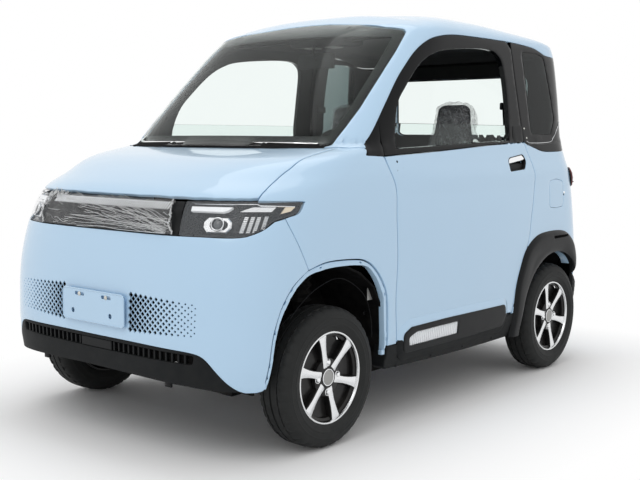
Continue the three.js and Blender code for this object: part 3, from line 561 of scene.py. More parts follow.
class BodySurface:
    """The outer surface of the whole body, from the skirt to the crown.

    Each row gives, in millimetres: half width, foremost y, rearmost y, height at the front, at the
    side and at the rear, then the depth and squareness of the front cap and of the rear cap.
    """

    ROWS = (
        (676, -1250, 1262, 120, 120, 120, 480, 4.2, 300, 4.0),
        (682, -1256, 1264, 215, 212, 212, 480, 4.2, 300, 4.0),
        (700, -1266, 1276, 330, 320, 330, 500, 4.3, 300, 4.0),
        (705, -1267, 1280, 450, 480, 450, 500, 4.3, 300, 4.0),
        (708, -1257, 1274, 620, 660, 620, 500, 4.2, 300, 3.8),
        (706, -1228, 1252, 790, 830, 820, 500, 3.7, 300, 3.5),
        (696, -1188, 1233, 892, 955, 938, 500, 3.3, 300, 3.5),
        (684, -1100, 1210, 954, 1008, 1007, 480, 2.9, 300, 3.5),
        (672, -920, 1192, 1024, 1045, 1059, 450, 3.8, 300, 3.7),
        (662, -655, 1178, 1076, 1085, 1100, 420, 4.5, 300, 4.2),
        (655, -632, 1174, 1106, 1110, 1130, 420, 4.6, 300, 4.3),
        (630, -415, 1166, 1332, 1320, 1331, 400, 4.5, 300, 4.8),
        (596, -202, 1160, 1532, 1511, 1518, 360, 4.5, 300, 5.2),
        (574, -108, 1126, 1582, 1568, 1563, 330, 4.2, 300, 4.8),
        (500, 14, 1030, 1629, 1611, 1592, 300, 3.4, 300, 3.8),
        (350, 130, 830, 1641, 1636, 1628, 240, 3.0, 240, 3.0),
        (0, 400, 420, 1648, 1648, 1648, 100, 2.5, 100, 2.5),
    )
    MID_Y = 0.060
    SIDE_BOW = 0.02
    FRONT_END = 0.42   # where the front cap ends, as a share of the way round
    REAR_START = 0.66
    TOP_V = 0.996
    CROWN_Z = 1.648

    def __init__(self) -> None:
        """Prepares the table of rows and a grid of known points to search from."""
        table = np.array(self.ROWS, float)
        scale = np.array([0.001] * 7 + [1.0, 0.001, 1.0])
        self.table = table * scale
        u, v = np.meshgrid(np.linspace(0, 1, 91), np.linspace(0, self.TOP_V, 113))
        self.seed_uv = np.stack([u.ravel(), v.ravel()], 1)
        self.seed_points = self.at(self.seed_uv)
        around = np.linspace(0, 1, 721)
        level = self.at(np.stack([around, np.full_like(around, 5.5 / 16)], 1))
        steps = np.linalg.norm(np.diff(level, axis=0), axis=1)
        self.around_u = around
        self.around_s = np.concatenate([[0.0], np.cumsum(steps)])

    def _row(self, v: np.ndarray) -> np.ndarray:
        """The row values at heights v, smooth from row to row.

        Args:
            v: Places up the table, from 0 to 1.
        Returns:
            One row of values for each place.
        """
        last = len(self.table) - 1
        s = np.clip(v, 0, 1) * last
        i = np.minimum(s.astype(int), last - 1)
        t = (s - i)[:, None]
        a, b, c, d = (self.table[np.clip(i + k, 0, last)] for k in (-1, 0, 1, 2))
        return through_four(a, b, c, d, t)

    @staticmethod
    def _cap(angle: np.ndarray, square: np.ndarray) -> tuple[np.ndarray, np.ndarray]:
        """A quarter of a superellipse at an angle from its middle.

        Args:
            angle: The angle from the middle.
            square: The power of the superellipse.
        Returns:
            The shares along and across, which a circle would have as its sine and cosine.
        """
        s, c = np.sin(angle), np.maximum(np.cos(angle), 0.0)
        q = (s ** square + c ** square) ** (-1 / square)
        return s * q, c * q

    def at(self, uv: np.ndarray) -> np.ndarray:
        """The surface's points on the left side.

        Args:
            uv: How far round from the nose (0) to the tail (1), and how far up through the rows.
        Returns:
            The points, one row each.
        """
        u, v = uv[:, 0], uv[:, 1]
        w, yf, yr, zf, zs, zr, df, nf, dr, nr = self._row(v).T
        af, bf = self._cap(np.clip(u / self.FRONT_END, 0, 1) * np.pi / 2, nf)
        ar, br = self._cap(np.clip((1 - u) / (1 - self.REAR_START), 0, 1) * np.pi / 2, nr)
        t = np.clip((u - self.FRONT_END) / (self.REAR_START - self.FRONT_END), 0, 1)
        front, rear = u < self.FRONT_END, u > self.REAR_START
        x = np.where(front, w * af, np.where(rear, w * ar, w))
        y_front, y_rear = yf + df, yr - dr
        straight = y_front + (y_rear - y_front) * t
        y = np.where(front, y_front - df * bf, np.where(rear, y_rear + dr * br, straight))
        reach = (y - self.MID_Y) / np.where(y < self.MID_Y, self.MID_Y - yf, yr - self.MID_Y)
        x = x * (1 - self.SIDE_BOW * reach * reach)
        k = np.clip((np.abs(reach) - 0.35) / 0.65, 0, 1)
        k = k * k * (3 - 2 * k)
        z = zs + np.where(y < self.MID_Y, zf - zs, zr - zs) * k
        return np.stack([x, y, z], 1)

    def normal(self, uv: np.ndarray) -> np.ndarray:
        """The outward direction of the left side at each place.

        Args:
            uv: Places on the surface.
        Returns:
            One unit vector for each place.
        """
        e = 0.0015
        low = np.clip(uv - [e, 0], 0, 1)
        high = np.clip(uv + [e, 0], 0, 1)
        round_about = self.at(high) - self.at(low)
        low = np.clip(uv - [0, e], 0, self.TOP_V)
        high = np.clip(uv + [0, e], 0, self.TOP_V)
        upward = self.at(high) - self.at(low)
        n = np.cross(round_about, upward)
        n /= np.maximum(np.linalg.norm(n, axis=1, keepdims=True), 1e-12)
        middle = (uv[:, 0] < 0.002) | (uv[:, 0] > 0.998)
        n[middle, 0] = 0.0
        return n / np.maximum(np.linalg.norm(n, axis=1, keepdims=True), 1e-12)

    def _shadow(self, view: View, points: np.ndarray, uv: np.ndarray) -> np.ndarray:
        """Where points of the surface fall on a view's drawing plane.

        Args:
            view: The drawing plane.
            points: Points of the surface.
            uv: Their places on the surface.
        Returns:
            Their places on the drawing plane.
        """
        if view is View.SIDE:
            return points[:, [1, 2]]
        if view is View.TOP:
            return points[:, [0, 1]]
        if view is View.AROUND:
            return np.stack([np.interp(uv[:, 0], self.around_u, self.around_s), points[:, 2]], 1)
        if view is View.CROWN:
            front = np.clip(uv[:, 0] / self.FRONT_END, 0, 1) * np.pi / 2
            rear = np.clip((1 - uv[:, 0]) / (1 - self.REAR_START), 0, 1) * np.pi / 2
            away_x = np.where(uv[:, 0] < self.FRONT_END, np.sin(front), np.sin(rear))
            away_y = np.where(uv[:, 0] < self.FRONT_END, -np.cos(front), np.cos(rear))
            fall = self.CROWN_Z - points[:, 2]
            return np.stack([points[:, 0] + away_x * fall, points[:, 1] + away_y * fall], 1)
        return points[:, [0, 2]]

    def locate(self, view: View, plane: np.ndarray) -> np.ndarray:
        """Finds the places of the left half that fall on points of a drawing plane.

        Args:
            view: The drawing plane.
            plane: The points on it.
        Returns:
            The places, as for at().
        """
        allowed = {
            View.SIDE: (0.05, 0.95, 0.0, 0.90), View.FRONT: (0.0, 0.42, 0.0, self.TOP_V),
            View.REAR: (0.66, 1.0, 0.0, 0.92), View.TOP: (0.0, 1.0, 0.30, self.TOP_V),
            View.AROUND: (0.0, 1.0, 0.0, 0.9), View.CROWN: (0.0, 1.0, 0.45, self.TOP_V),
        }[view]
        keep = ((self.seed_uv[:, 0] >= allowed[0]) & (self.seed_uv[:, 0] <= allowed[1])
                & (self.seed_uv[:, 1] >= allowed[2]) & (self.seed_uv[:, 1] <= allowed[3]))
        seeds = self.seed_uv[keep]
        marks = self._shadow(view, self.seed_points[keep], seeds)
        uv = np.empty_like(plane)
        for start in range(0, len(plane), 500):
            part = plane[start:start + 500]
            gap = ((part[:, None, :] - marks[None]) ** 2).sum(2)
            uv[start:start + 500] = seeds[gap.argmin(1)]
        for _ in range(12):
            here = self._shadow(view, self.at(uv), uv)
            error = plane - here
            e = 1e-4
            side_u = np.where(uv[:, 0] > 0.5, -e, e)
            side_v = np.where(uv[:, 1] > 0.5, -e, e)
            shift_u = uv + np.stack([side_u, np.zeros_like(side_u)], 1)
            shift_v = uv + np.stack([np.zeros_like(side_v), side_v], 1)
            du = (self._shadow(view, self.at(shift_u), shift_u) - here) / side_u[:, None]
            dv = (self._shadow(view, self.at(shift_v), shift_v) - here) / side_v[:, None]
            det = du[:, 0] * dv[:, 1] - du[:, 1] * dv[:, 0]
            det = np.where(np.abs(det) < 1e-9, 1e-9, det)
            step_u = (error[:, 0] * dv[:, 1] - error[:, 1] * dv[:, 0]) / det
            step_v = (du[:, 0] * error[:, 1] - du[:, 1] * error[:, 0]) / det
            step = np.clip(np.stack([step_u, step_v], 1), -0.02, 0.02)
            uv = np.clip(uv + step, [0, 0], [1, self.TOP_V])
        return uv

    def lift(self, view: View, plane: np.ndarray, height: np.ndarray | float = 0.0) -> np.ndarray:
        """Puts points of a drawing plane on the surface.

        Args:
            view: The drawing plane. Points with a negative first number on a plane other than the
                side's lie on the right half.
            plane: The points on it.
            height: How far each point stands out from the surface, or lies in it if negative.
        Returns:
            The points in space, on the left side for the side view.
        """
        plane = np.asarray(plane, float)
        sign = np.ones(len(plane))
        flat = plane.copy()
        if view is not View.SIDE:
            sign = np.where(plane[:, 0] < 0, -1.0, 1.0)
            flat[:, 0] = np.abs(flat[:, 0])
        if view is View.AROUND:
            past = flat[:, 0] > self.tail
            flat[past, 0] = 2 * self.tail - flat[past, 0]
            sign[past] = -1.0
        uv = self.locate(view, flat)
        points = self.at(uv)
        kept = {View.SIDE: (1, 2), View.TOP: (0, 1), View.FRONT: (0, 2), View.REAR: (0, 2)}.get(view)
        if kept:
            near = np.linalg.norm(points[:, kept] - flat, axis=1) < 0.004
            points[np.ix_(near, kept)] = flat[near]
        points = points + self.normal(uv) * np.broadcast_to(np.asarray(height, float), (len(plane),))[:, None]
        points[:, 0] *= sign
        return points


    def redrawn(self, points: Sequence[Point2], source: View, target: View) -> Outline:
        """Moves a line of the left half from one drawing plane to another.

        Args:
            points: The line's points on the source plane.
            source: The plane that they are drawn on.
            target: The plane to draw them on.
        Returns:
            The same line on the target plane.
        """
        uv = self.locate(source, np.asarray(points, float))
        return [tuple(p) for p in self._shadow(target, self.at(uv), uv)]

    def drawn(self, points: Sequence[Point3], target: View = View.AROUND) -> Outline:
        """Draws points in space, on or near the left half, on a drawing plane.

        Args:
            points: The points in space.
            target: The plane to draw them on.
        Returns:
            The points on that plane.
        """
        found = []
        for point in np.asarray(points, float):
            seed = self.seed_uv[((self.seed_points - point) ** 2).sum(1).argmin()][None]
            normal = self.normal(seed)[0]
            end_view = View.FRONT if point[1] < 0 else View.REAR
            view = View.SIDE if abs(normal[0]) > abs(normal[1]) else end_view
            plane = point[[1, 2]] if view is View.SIDE else point[[0, 2]]
            found += self.redrawn([plane], view, target)
        return found

    @property
    def tail(self) -> float:
        """The distance round the body at the middle of its tail."""
        return float(self.around_s[-1])


SURFACE = BodySurface()


def halves(outline: Sequence[Point2]) -> Outline:
    """Completes the left half of a closed outline with its mirror image.

    Args:
        outline: The left half, from its front or lower end on the middle line round to the other.
    Returns:
        The whole closed outline.
    """
    mirror = [(-a, b) for a, b in reversed(outline) if abs(a) > 1e-6]
    return list(outline) + mirror


@dataclass
class Panel:
    """A piece of the body surface with rounded edges and a wall.

    Its outline is closed, in a view's drawing plane. The wall goes inward from the surface.
    """

    name: str
    view: View
    outline: Sequence[Point2]
    wall: float = 0.020
    gap: float = 0.0              # how far the edge stands back from the outline
    edge: float = 0.0015          # radius of the outer edge
    cell: float = 0.022           # size of the triangles
    holes: Sequence[Sequence[Point2]] = ()
    hole_edge: float = 0.0
    height: float = 0.0           # of the whole face above the body surface
    relief: Callable[[np.ndarray], np.ndarray] | None = None
    both_skins: bool = True

    def build(self) -> bpy.types.Object:
        """Makes the panel.

        Returns:
            The object, with mark 0 on its face and edge and mark 1 on its inner skin.
        """
        border = spaced(offset(cleaned(self.outline), self.gap), self.cell)
        loops, drops = self._edge_loops(border, self.edge, 1.0)
        hole_loops = []
        for hole in self.holes:
            ring = spaced(cleaned(hole), self.cell)
            rings, ring_drops = self._edge_loops(ring, self.hole_edge, -1.0)
            hole_loops.append(rings)
            loops += rings
            drops += ring_drops
        flat, drop, faces = self._triangles(border, loops, drops, [r[0] for r in hole_loops])
        height = self.height - drop
        if self.relief is not None:
            height = height + self.relief(flat)
        if self.view is View.SIDE:
            outer = SURFACE.lift(self.view, flat, np.zeros(len(flat)))
            face_points = outer + np.outer(height, (1.0, 0.0, 0.0))
            inner = outer + (self.height - max(self.wall, self.edge * 1.01), 0.0, 0.0)
        else:
            face_points = SURFACE.lift(self.view, flat, height)
            inner = SURFACE.lift(self.view, flat, self.height - max(self.wall, self.edge * 1.01))
        rims = [self._rim(flat, border)] + [self._rim(flat, r[0]) for r in hole_loops]
        if self.view is View.CROWN:
            over = inner[:, 2] > face_points[:, 2]
            inner[over] = face_points[over] - (0.0, 0.0, self.wall)
        count = len(flat)
        points = np.vstack([face_points, inner])
        polygons = [tuple(f) for f in faces]
        marks = [0] * len(polygons)
        if self.both_skins:
            polygons += [(f[2] + count, f[1] + count, f[0] + count) for f in faces]
            marks += [1] * len(faces)
        for k, rim in enumerate(rims):
            turn = rim if k == 0 else rim[::-1]
            for a, b in zip(turn, turn[1:] + turn[:1]):
                polygons.append((b, a, a + count, b + count))
                marks.append(0)
        obj = from_data(self.name, points, polygons, marks)
        if self.view is View.REAR:
            obj.data.flip_normals()
        if not self.both_skins:
            self._drop_loose(obj)
        return smooth(obj, 50)

    @staticmethod
    def _edge_loops(border: np.ndarray, radius: float, sense: float) -> tuple[list[np.ndarray], list[float]]:
        """The loops of a quarter round along a border, with the drop of each.

        Args:
            border: The outline that the loops follow.
            radius: The quarter round's radius.
            sense: 1 for loops inside the border, -1 for loops outside it.
        Returns:
            The loops, and the drop of each.
        """
        if radius <= 0:
            return [border], [0.0]
        angles = (0.0, math.radians(35), math.radians(62), math.radians(90))
        loops = [offset(border, sense * radius * (1 - math.cos(a))) for a in angles]
        return loops, [radius * (1 - math.sin(a)) for a in angles]

    def _triangles(self, border: np.ndarray, loops: list[np.ndarray], drops: list[float],
                   holes: list[np.ndarray]) -> tuple[np.ndarray, np.ndarray, list]:
        """Fills the outline with even triangles.

        Args:
            border: The panel's outline.
            loops: The loops of its rounded edge.
            drops: The drop of each loop.
            holes: The holes' outlines.
        Returns:
            The points of the drawing plane, the drop of each below the face, and the triangles.
        """
        low, high = border.min(0), border.max(0)
        c = self.cell
        rows = np.arange(low[1] + c / 2, high[1], c * 0.866)
        lattice = []
        for k, b in enumerate(rows):
            start = low[0] + (c / 2 if k % 2 else c)
            lattice += [(a, b) for a in np.arange(start, high[0], c)]
        lattice = np.array(lattice).reshape(-1, 2)
        keep = inside(lattice, border)
        for hole in holes:
            keep &= ~inside(lattice, hole)
        lattice = lattice[keep]
        for loop in [border, *holes]:
            box_low, box_high = loop.min(0) - c, loop.max(0) + c
            near = np.all((lattice > box_low) & (lattice < box_high), 1)
            far = np.ones(len(lattice), bool)
            if near.any():
                far[near] = nearest_edge(lattice[near], loop) > 0.45 * c + self.edge
            lattice = lattice[far]
        points, edges, drop = [], [], []
        for loop, d in zip(loops, drops):
            start = len(points)
            points += [tuple(p) for p in loop]
            drop += [d] * len(loop)
            edges += [(start + k, start + (k + 1) % len(loop)) for k in range(len(loop))]
        points += [tuple(p) for p in lattice]
        drop += [0.0] * len(lattice)
        made, _, faces, origins, _, _ = delaunay_2d_cdt([Vector(p) for p in points], edges, [], 0, 1e-7)
        flat = np.array([tuple(p) for p in made])
        depth = np.array([drop[o[0]] if o else 0.0 for o in origins])
        faces = [f for f in faces if len(f) == 3]
        middle = flat[np.array(faces)].mean(1)
        good = inside(middle, border)
        for hole in holes:
            good &= ~inside(middle, hole)
        return flat, depth, [f for f, g in zip(faces, good) if g]

    @staticmethod
    def _rim(flat: np.ndarray, loop: np.ndarray) -> list[int]:
        """The numbers of the points that lie on a loop, in its order.

        Args:
            flat: The points to look among.
            loop: The loop's points.
        Returns:
            The numbers of the points.
        """
        found = []
        for point in loop:
            index = int(((flat - point) ** 2).sum(1).argmin())
            if not found or found[-1] != index:
                found.append(index)
        return found

    @staticmethod
    def _drop_loose(obj: bpy.types.Object) -> None:
        """Deletes points that no face uses.

        Args:
            obj: The object to clean.
        """
        choose(obj)
        bpy.ops.object.mode_set(mode="EDIT")
        bpy.ops.mesh.select_all(action="SELECT")
        bpy.ops.mesh.delete_loose()
        bpy.ops.object.mode_set(mode="OBJECT")


# ------------------------------------------------------------------------------ finishes
def new_group(name: str, inputs: dict[str, float], outputs: Sequence[str]) -> tuple:
    """Starts a shader node group.

    Args:
        name: The group's name.
        inputs: Its value inputs with their defaults.
        outputs: Its value outputs.
    Returns:
        The group, its input node and its output node.
    """
    group = bpy.data.node_groups.new(name, "ShaderNodeTree")
    for key, value in inputs.items():
        group.interface.new_socket(name=key, in_out="INPUT",
                                   socket_type="NodeSocketFloat").default_value = value
    for key in outputs:
        group.interface.new_socket(name=key, in_out="OUTPUT", socket_type="NodeSocketFloat")
    return group, group.nodes.new("NodeGroupInput"), group.nodes.new("NodeGroupOutput")


def maths(tree: bpy.types.NodeTree, operation: str, a: bpy.types.NodeSocket | float,
          b: bpy.types.NodeSocket | float | None = None, clamp: bool = False) -> bpy.types.NodeSocket:
    """Adds a Math node and returns its output.

    Args:
        tree: The node tree.
        operation: The node's operation.
        a: First socket or number.
        b: Second socket or number.
        clamp: Whether the result is kept from 0 to 1.
    Returns:
        The output socket.
    """
    node = tree.nodes.new("ShaderNodeMath")
    node.operation = operation
    node.use_clamp = clamp
    for slot_in, value in zip(node.inputs, (a, b)):
        if isinstance(value, bpy.types.NodeSocket):
            tree.links.new(value, slot_in)
        elif value is not None:
            slot_in.default_value = value
    return node.outputs[0]


def mottle_group() -> bpy.types.NodeTree:
    """Soft patches over a surface: Size is their size in metres.

    Returns:
        The node group.
    """
    group, start, end = new_group("mottle", {"Size": 0.1, "Detail": 3.0}, ["Value"])
    place = group.nodes.new("ShaderNodeTexCoord")
    noise = group.nodes.new("ShaderNodeTexNoise")
    group.links.new(place.outputs["Object"], noise.inputs["Vector"])
    group.links.new(maths(group, "DIVIDE", 1.0, start.outputs["Size"]), noise.inputs["Scale"])
    group.links.new(start.outputs["Detail"], noise.inputs["Detail"])
    group.links.new(noise.outputs["Fac"], end.inputs["Value"])
    return group


def grain_group() -> bpy.types.NodeTree:
    """The pebbled grain of moulded plastic and leather: Size is one pebble's size in metres.

    Returns:
        The node group.
    """
    group, start, end = new_group("grain", {"Size": 0.001}, ["Height"])
    place = group.nodes.new("ShaderNodeTexCoord")
    scale = maths(group, "DIVIDE", 1.0, start.outputs["Size"])
    cells = group.nodes.new("ShaderNodeTexVoronoi")
    cells.feature = "SMOOTH_F1"
    cells.inputs["Smoothness"].default_value = 0.6
    noise = group.nodes.new("ShaderNodeTexNoise")
    noise.inputs["Detail"].default_value = 4.0
    for node in (cells, noise):
        group.links.new(place.outputs["Object"], node.inputs["Vector"])
        group.links.new(scale, node.inputs["Scale"])
    mixed = maths(group, "ADD", maths(group, "MULTIPLY", cells.outputs["Distance"], 0.7),
                  maths(group, "MULTIPLY", noise.outputs["Fac"], 0.5))
    group.links.new(mixed, end.inputs["Height"])
    return group


def dust_group() -> bpy.types.NodeTree:
    """Road dust: thick near the ground and on faces that look up, thin above the Line.

    Returns:
        The node group.
    """
    group, start, end = new_group("dust", {"Amount": 0.3, "Line": 0.3}, ["Mask"])
    place = group.nodes.new("ShaderNodeTexCoord")
    split = group.nodes.new("ShaderNodeSeparateXYZ")
    group.links.new(place.outputs["Object"], split.inputs[0])
    geometry = group.nodes.new("ShaderNodeNewGeometry")
    facing = group.nodes.new("ShaderNodeSeparateXYZ")
    group.links.new(geometry.outputs["Normal"], facing.inputs[0])
    low = maths(group, "SUBTRACT", 1.0, maths(group, "DIVIDE", split.outputs["Z"], start.outputs["Line"]),
                clamp=True)
    up = maths(group, "MULTIPLY", maths(group, "MAXIMUM", facing.outputs["Z"], 0.0), 0.35)
    noise = group.nodes.new("ShaderNodeTexNoise")
    noise.inputs["Scale"].default_value = 26.0
    noise.inputs["Detail"].default_value = 6.0
    group.links.new(place.outputs["Object"], noise.inputs["Vector"])
    spots = maths(group, "MULTIPLY", maths(group, "SUBTRACT", noise.outputs["Fac"], 0.3), 1.8, clamp=True)
    total = maths(group, "MULTIPLY", maths(group, "ADD", low, up), spots)
    group.links.new(maths(group, "MULTIPLY", total, start.outputs["Amount"], clamp=True), end.inputs["Mask"])
    return group


def crinkle_group() -> bpy.types.NodeTree:
    """Sharp irregular creases, as in thin film pulled over something: Size is one crease's size.

    Returns:
        The node group.
    """
    group, start, end = new_group("crinkle", {"Size": 0.03, "Stretch": 1.0}, ["Height"])
    place = group.nodes.new("ShaderNodeTexCoord")
    noise = group.nodes.new("ShaderNodeTexNoise")
    noise.inputs["Detail"].default_value = 5.0
    noise.inputs["Distortion"].default_value = 1.6
    scale = maths(group, "DIVIDE", 1.0, start.outputs["Size"])
    stretch = group.nodes.new("ShaderNodeCombineXYZ")
    group.links.new(start.outputs["Stretch"], stretch.inputs["X"])
    stretch.inputs["Y"].default_value = 1.0
    stretch.inputs["Z"].default_value = 1.0
    turn = group.nodes.new("ShaderNodeVectorMath")
    turn.operation = "MULTIPLY"
    group.links.new(place.outputs["Object"], turn.inputs[0])
    group.links.new(stretch.outputs[0], turn.inputs[1])
    group.links.new(turn.outputs[0], noise.inputs["Vector"])
    group.links.new(scale, noise.inputs["Scale"])
    fold = maths(group, "ABSOLUTE", maths(group, "SUBTRACT", noise.outputs["Fac"], 0.5))
    ridge = maths(group, "POWER",
                  maths(group, "SUBTRACT", 1.0, maths(group, "MULTIPLY", fold, 5.0, clamp=True)), 3.0)
    group.links.new(ridge, end.inputs["Height"])
    return group


GROUPS = {"mottle": mottle_group(), "grain": grain_group(), "dust": dust_group(), "crinkle": crinkle_group()}


@dataclass(frozen=True)
class Finish:
    """A surface finish. Sizes are in metres, colours are linear."""

    name: str
    colour: Point3
    roughness: float = 0.5
    metallic: float = 0.0
    coat: float = 0.0
    coat_roughness: float = 0.03
    vary: float = 0.05          # share by which the colour wanders
    vary_size: float = 0.15
    blur: float = 0.06          # how much the roughness wanders
    grain: float = 0.0          # depth of the pebbled grain
    grain_size: float = 0.0012
    crinkle: float = 0.0        # depth of creases
    crinkle_size: float = 0.03
    dust: float = 0.0
    dust_line: float = 0.35
    dust_colour: Point3 = (0.42, 0.39, 0.34)
    glow: float = 0.0
    alpha: float = 1.0
    transmission: float = 0.0
    ior: float = 1.5
    specular: float = 0.5
    sheen: float = 0.0

    def build(self) -> bpy.types.Material:
        """Makes the material.

        Returns:
            The new material.
        """
        material = bpy.data.materials.new(self.name)
        material.use_nodes = True
        tree = material.node_tree
        shader = tree.nodes["Principled BSDF"]
        for key, value in {
            "Metallic": self.metallic, "Coat Weight": self.coat, "Coat Roughness": self.coat_roughness,
            "Transmission Weight": self.transmission, "IOR": self.ior, "Alpha": self.alpha,
            "Specular IOR Level": self.specular, "Sheen Weight": self.sheen, "Emission Strength": self.glow,
        }.items():
            shader.inputs[key].default_value = value
        shader.inputs["Emission Color"].default_value = (*self.colour, 1.0)
        colour = self._colour(tree)
        tree.links.new(colour, shader.inputs["Base Color"])
        if self.transmission == 0 and self.blur > 0:
            patches = self._group(tree, "mottle", Size=self.vary_size * 0.4, Detail=5.0).outputs["Value"]
            spread = maths(tree, "MULTIPLY", maths(tree, "SUBTRACT", patches, 0.5), 2 * self.blur)
            tree.links.new(maths(tree, "ADD", spread, self.roughness, clamp=True), shader.inputs["Roughness"])
        else:
            shader.inputs["Roughness"].default_value = self.roughness
        normal = None
        if self.grain > 0:
            height = self._group(tree, "grain", Size=self.grain_size).outputs["Height"]
            normal = self._bump(tree, height, self.grain, normal)
        if self.crinkle > 0:
            height = self._group(tree, "crinkle", Size=self.crinkle_size).outputs["Height"]
            # Thin film grows more opaque on its crease ridges, so its pale colour shows there as bright
            # lines: painted highlight along the creases.
            if self.alpha < 1:
                tree.links.new(maths(tree, "ADD", maths(tree, "MULTIPLY", height, self.alpha * 1.6),
                                     self.alpha, clamp=True),
                               shader.inputs["Alpha"])
            normal = self._bump(tree, height, self.crinkle, normal)
        if normal is not None:
            tree.links.new(normal, shader.inputs["Normal"])
        return material

    def _colour(self, tree: bpy.types.NodeTree) -> bpy.types.NodeSocket:
        """The base colour with its wandering and its dust.

        Args:
            tree: The material's node tree.
        Returns:
            The colour's socket.
        """
        patches = self._group(tree, "mottle", Size=self.vary_size, Detail=3.0).outputs["Value"]
        mix = tree.nodes.new("ShaderNodeMix")
        mix.data_type = "RGBA"
        tree.links.new(patches, mix.inputs["Factor"])
        mix.inputs["A"].default_value = (*(c * (1 - self.vary) for c in self.colour), 1.0)
        mix.inputs["B"].default_value = (*(min(1.0, c * (1 + self.vary)) for c in self.colour), 1.0)
        result = mix.outputs["Result"]
        if self.dust > 0:
            mask = self._group(tree, "dust", Amount=self.dust, Line=self.dust_line).outputs["Mask"]
            over = tree.nodes.new("ShaderNodeMix")
            over.data_type = "RGBA"
            tree.links.new(mask, over.inputs["Factor"])
            tree.links.new(result, over.inputs["A"])
            over.inputs["B"].default_value = (*self.dust_colour, 1.0)
            result = over.outputs["Result"]
        return result

    @staticmethod
    def _group(tree: bpy.types.NodeTree, name: str, **values: float) -> bpy.types.Node:
        """Places a shared group with its own values.

        Args:
            tree: The material's node tree.
            name: The group's name in GROUPS.
            **values: Values for the group's inputs.
        Returns:
            The group's node.
        """
        node = tree.nodes.new("ShaderNodeGroup")
        node.node_tree = GROUPS[name]
        for key, value in values.items():
            node.inputs[key].default_value = value
        return node

    @staticmethod
    def _bump(tree: bpy.types.NodeTree, height: bpy.types.NodeSocket, depth: float,
              normal: bpy.types.NodeSocket | None) -> bpy.types.NodeSocket:
        """Adds a Bump node of a real depth on top of an earlier one.

        Args:
            tree: The material's node tree.
            height: The socket that gives the height.
            depth: The depth of a full step, in metres.
            normal: The earlier normal, if there is one.
        Returns:
            The new normal's socket.
        """
        bump = tree.nodes.new("ShaderNodeBump")
        bump.inputs["Strength"].default_value = 1.0
        bump.inputs["Distance"].default_value = depth
        tree.links.new(height, bump.inputs["Height"])
        if normal is not None:
            tree.links.new(normal, bump.inputs["Normal"])
        return bump.outputs["Normal"]


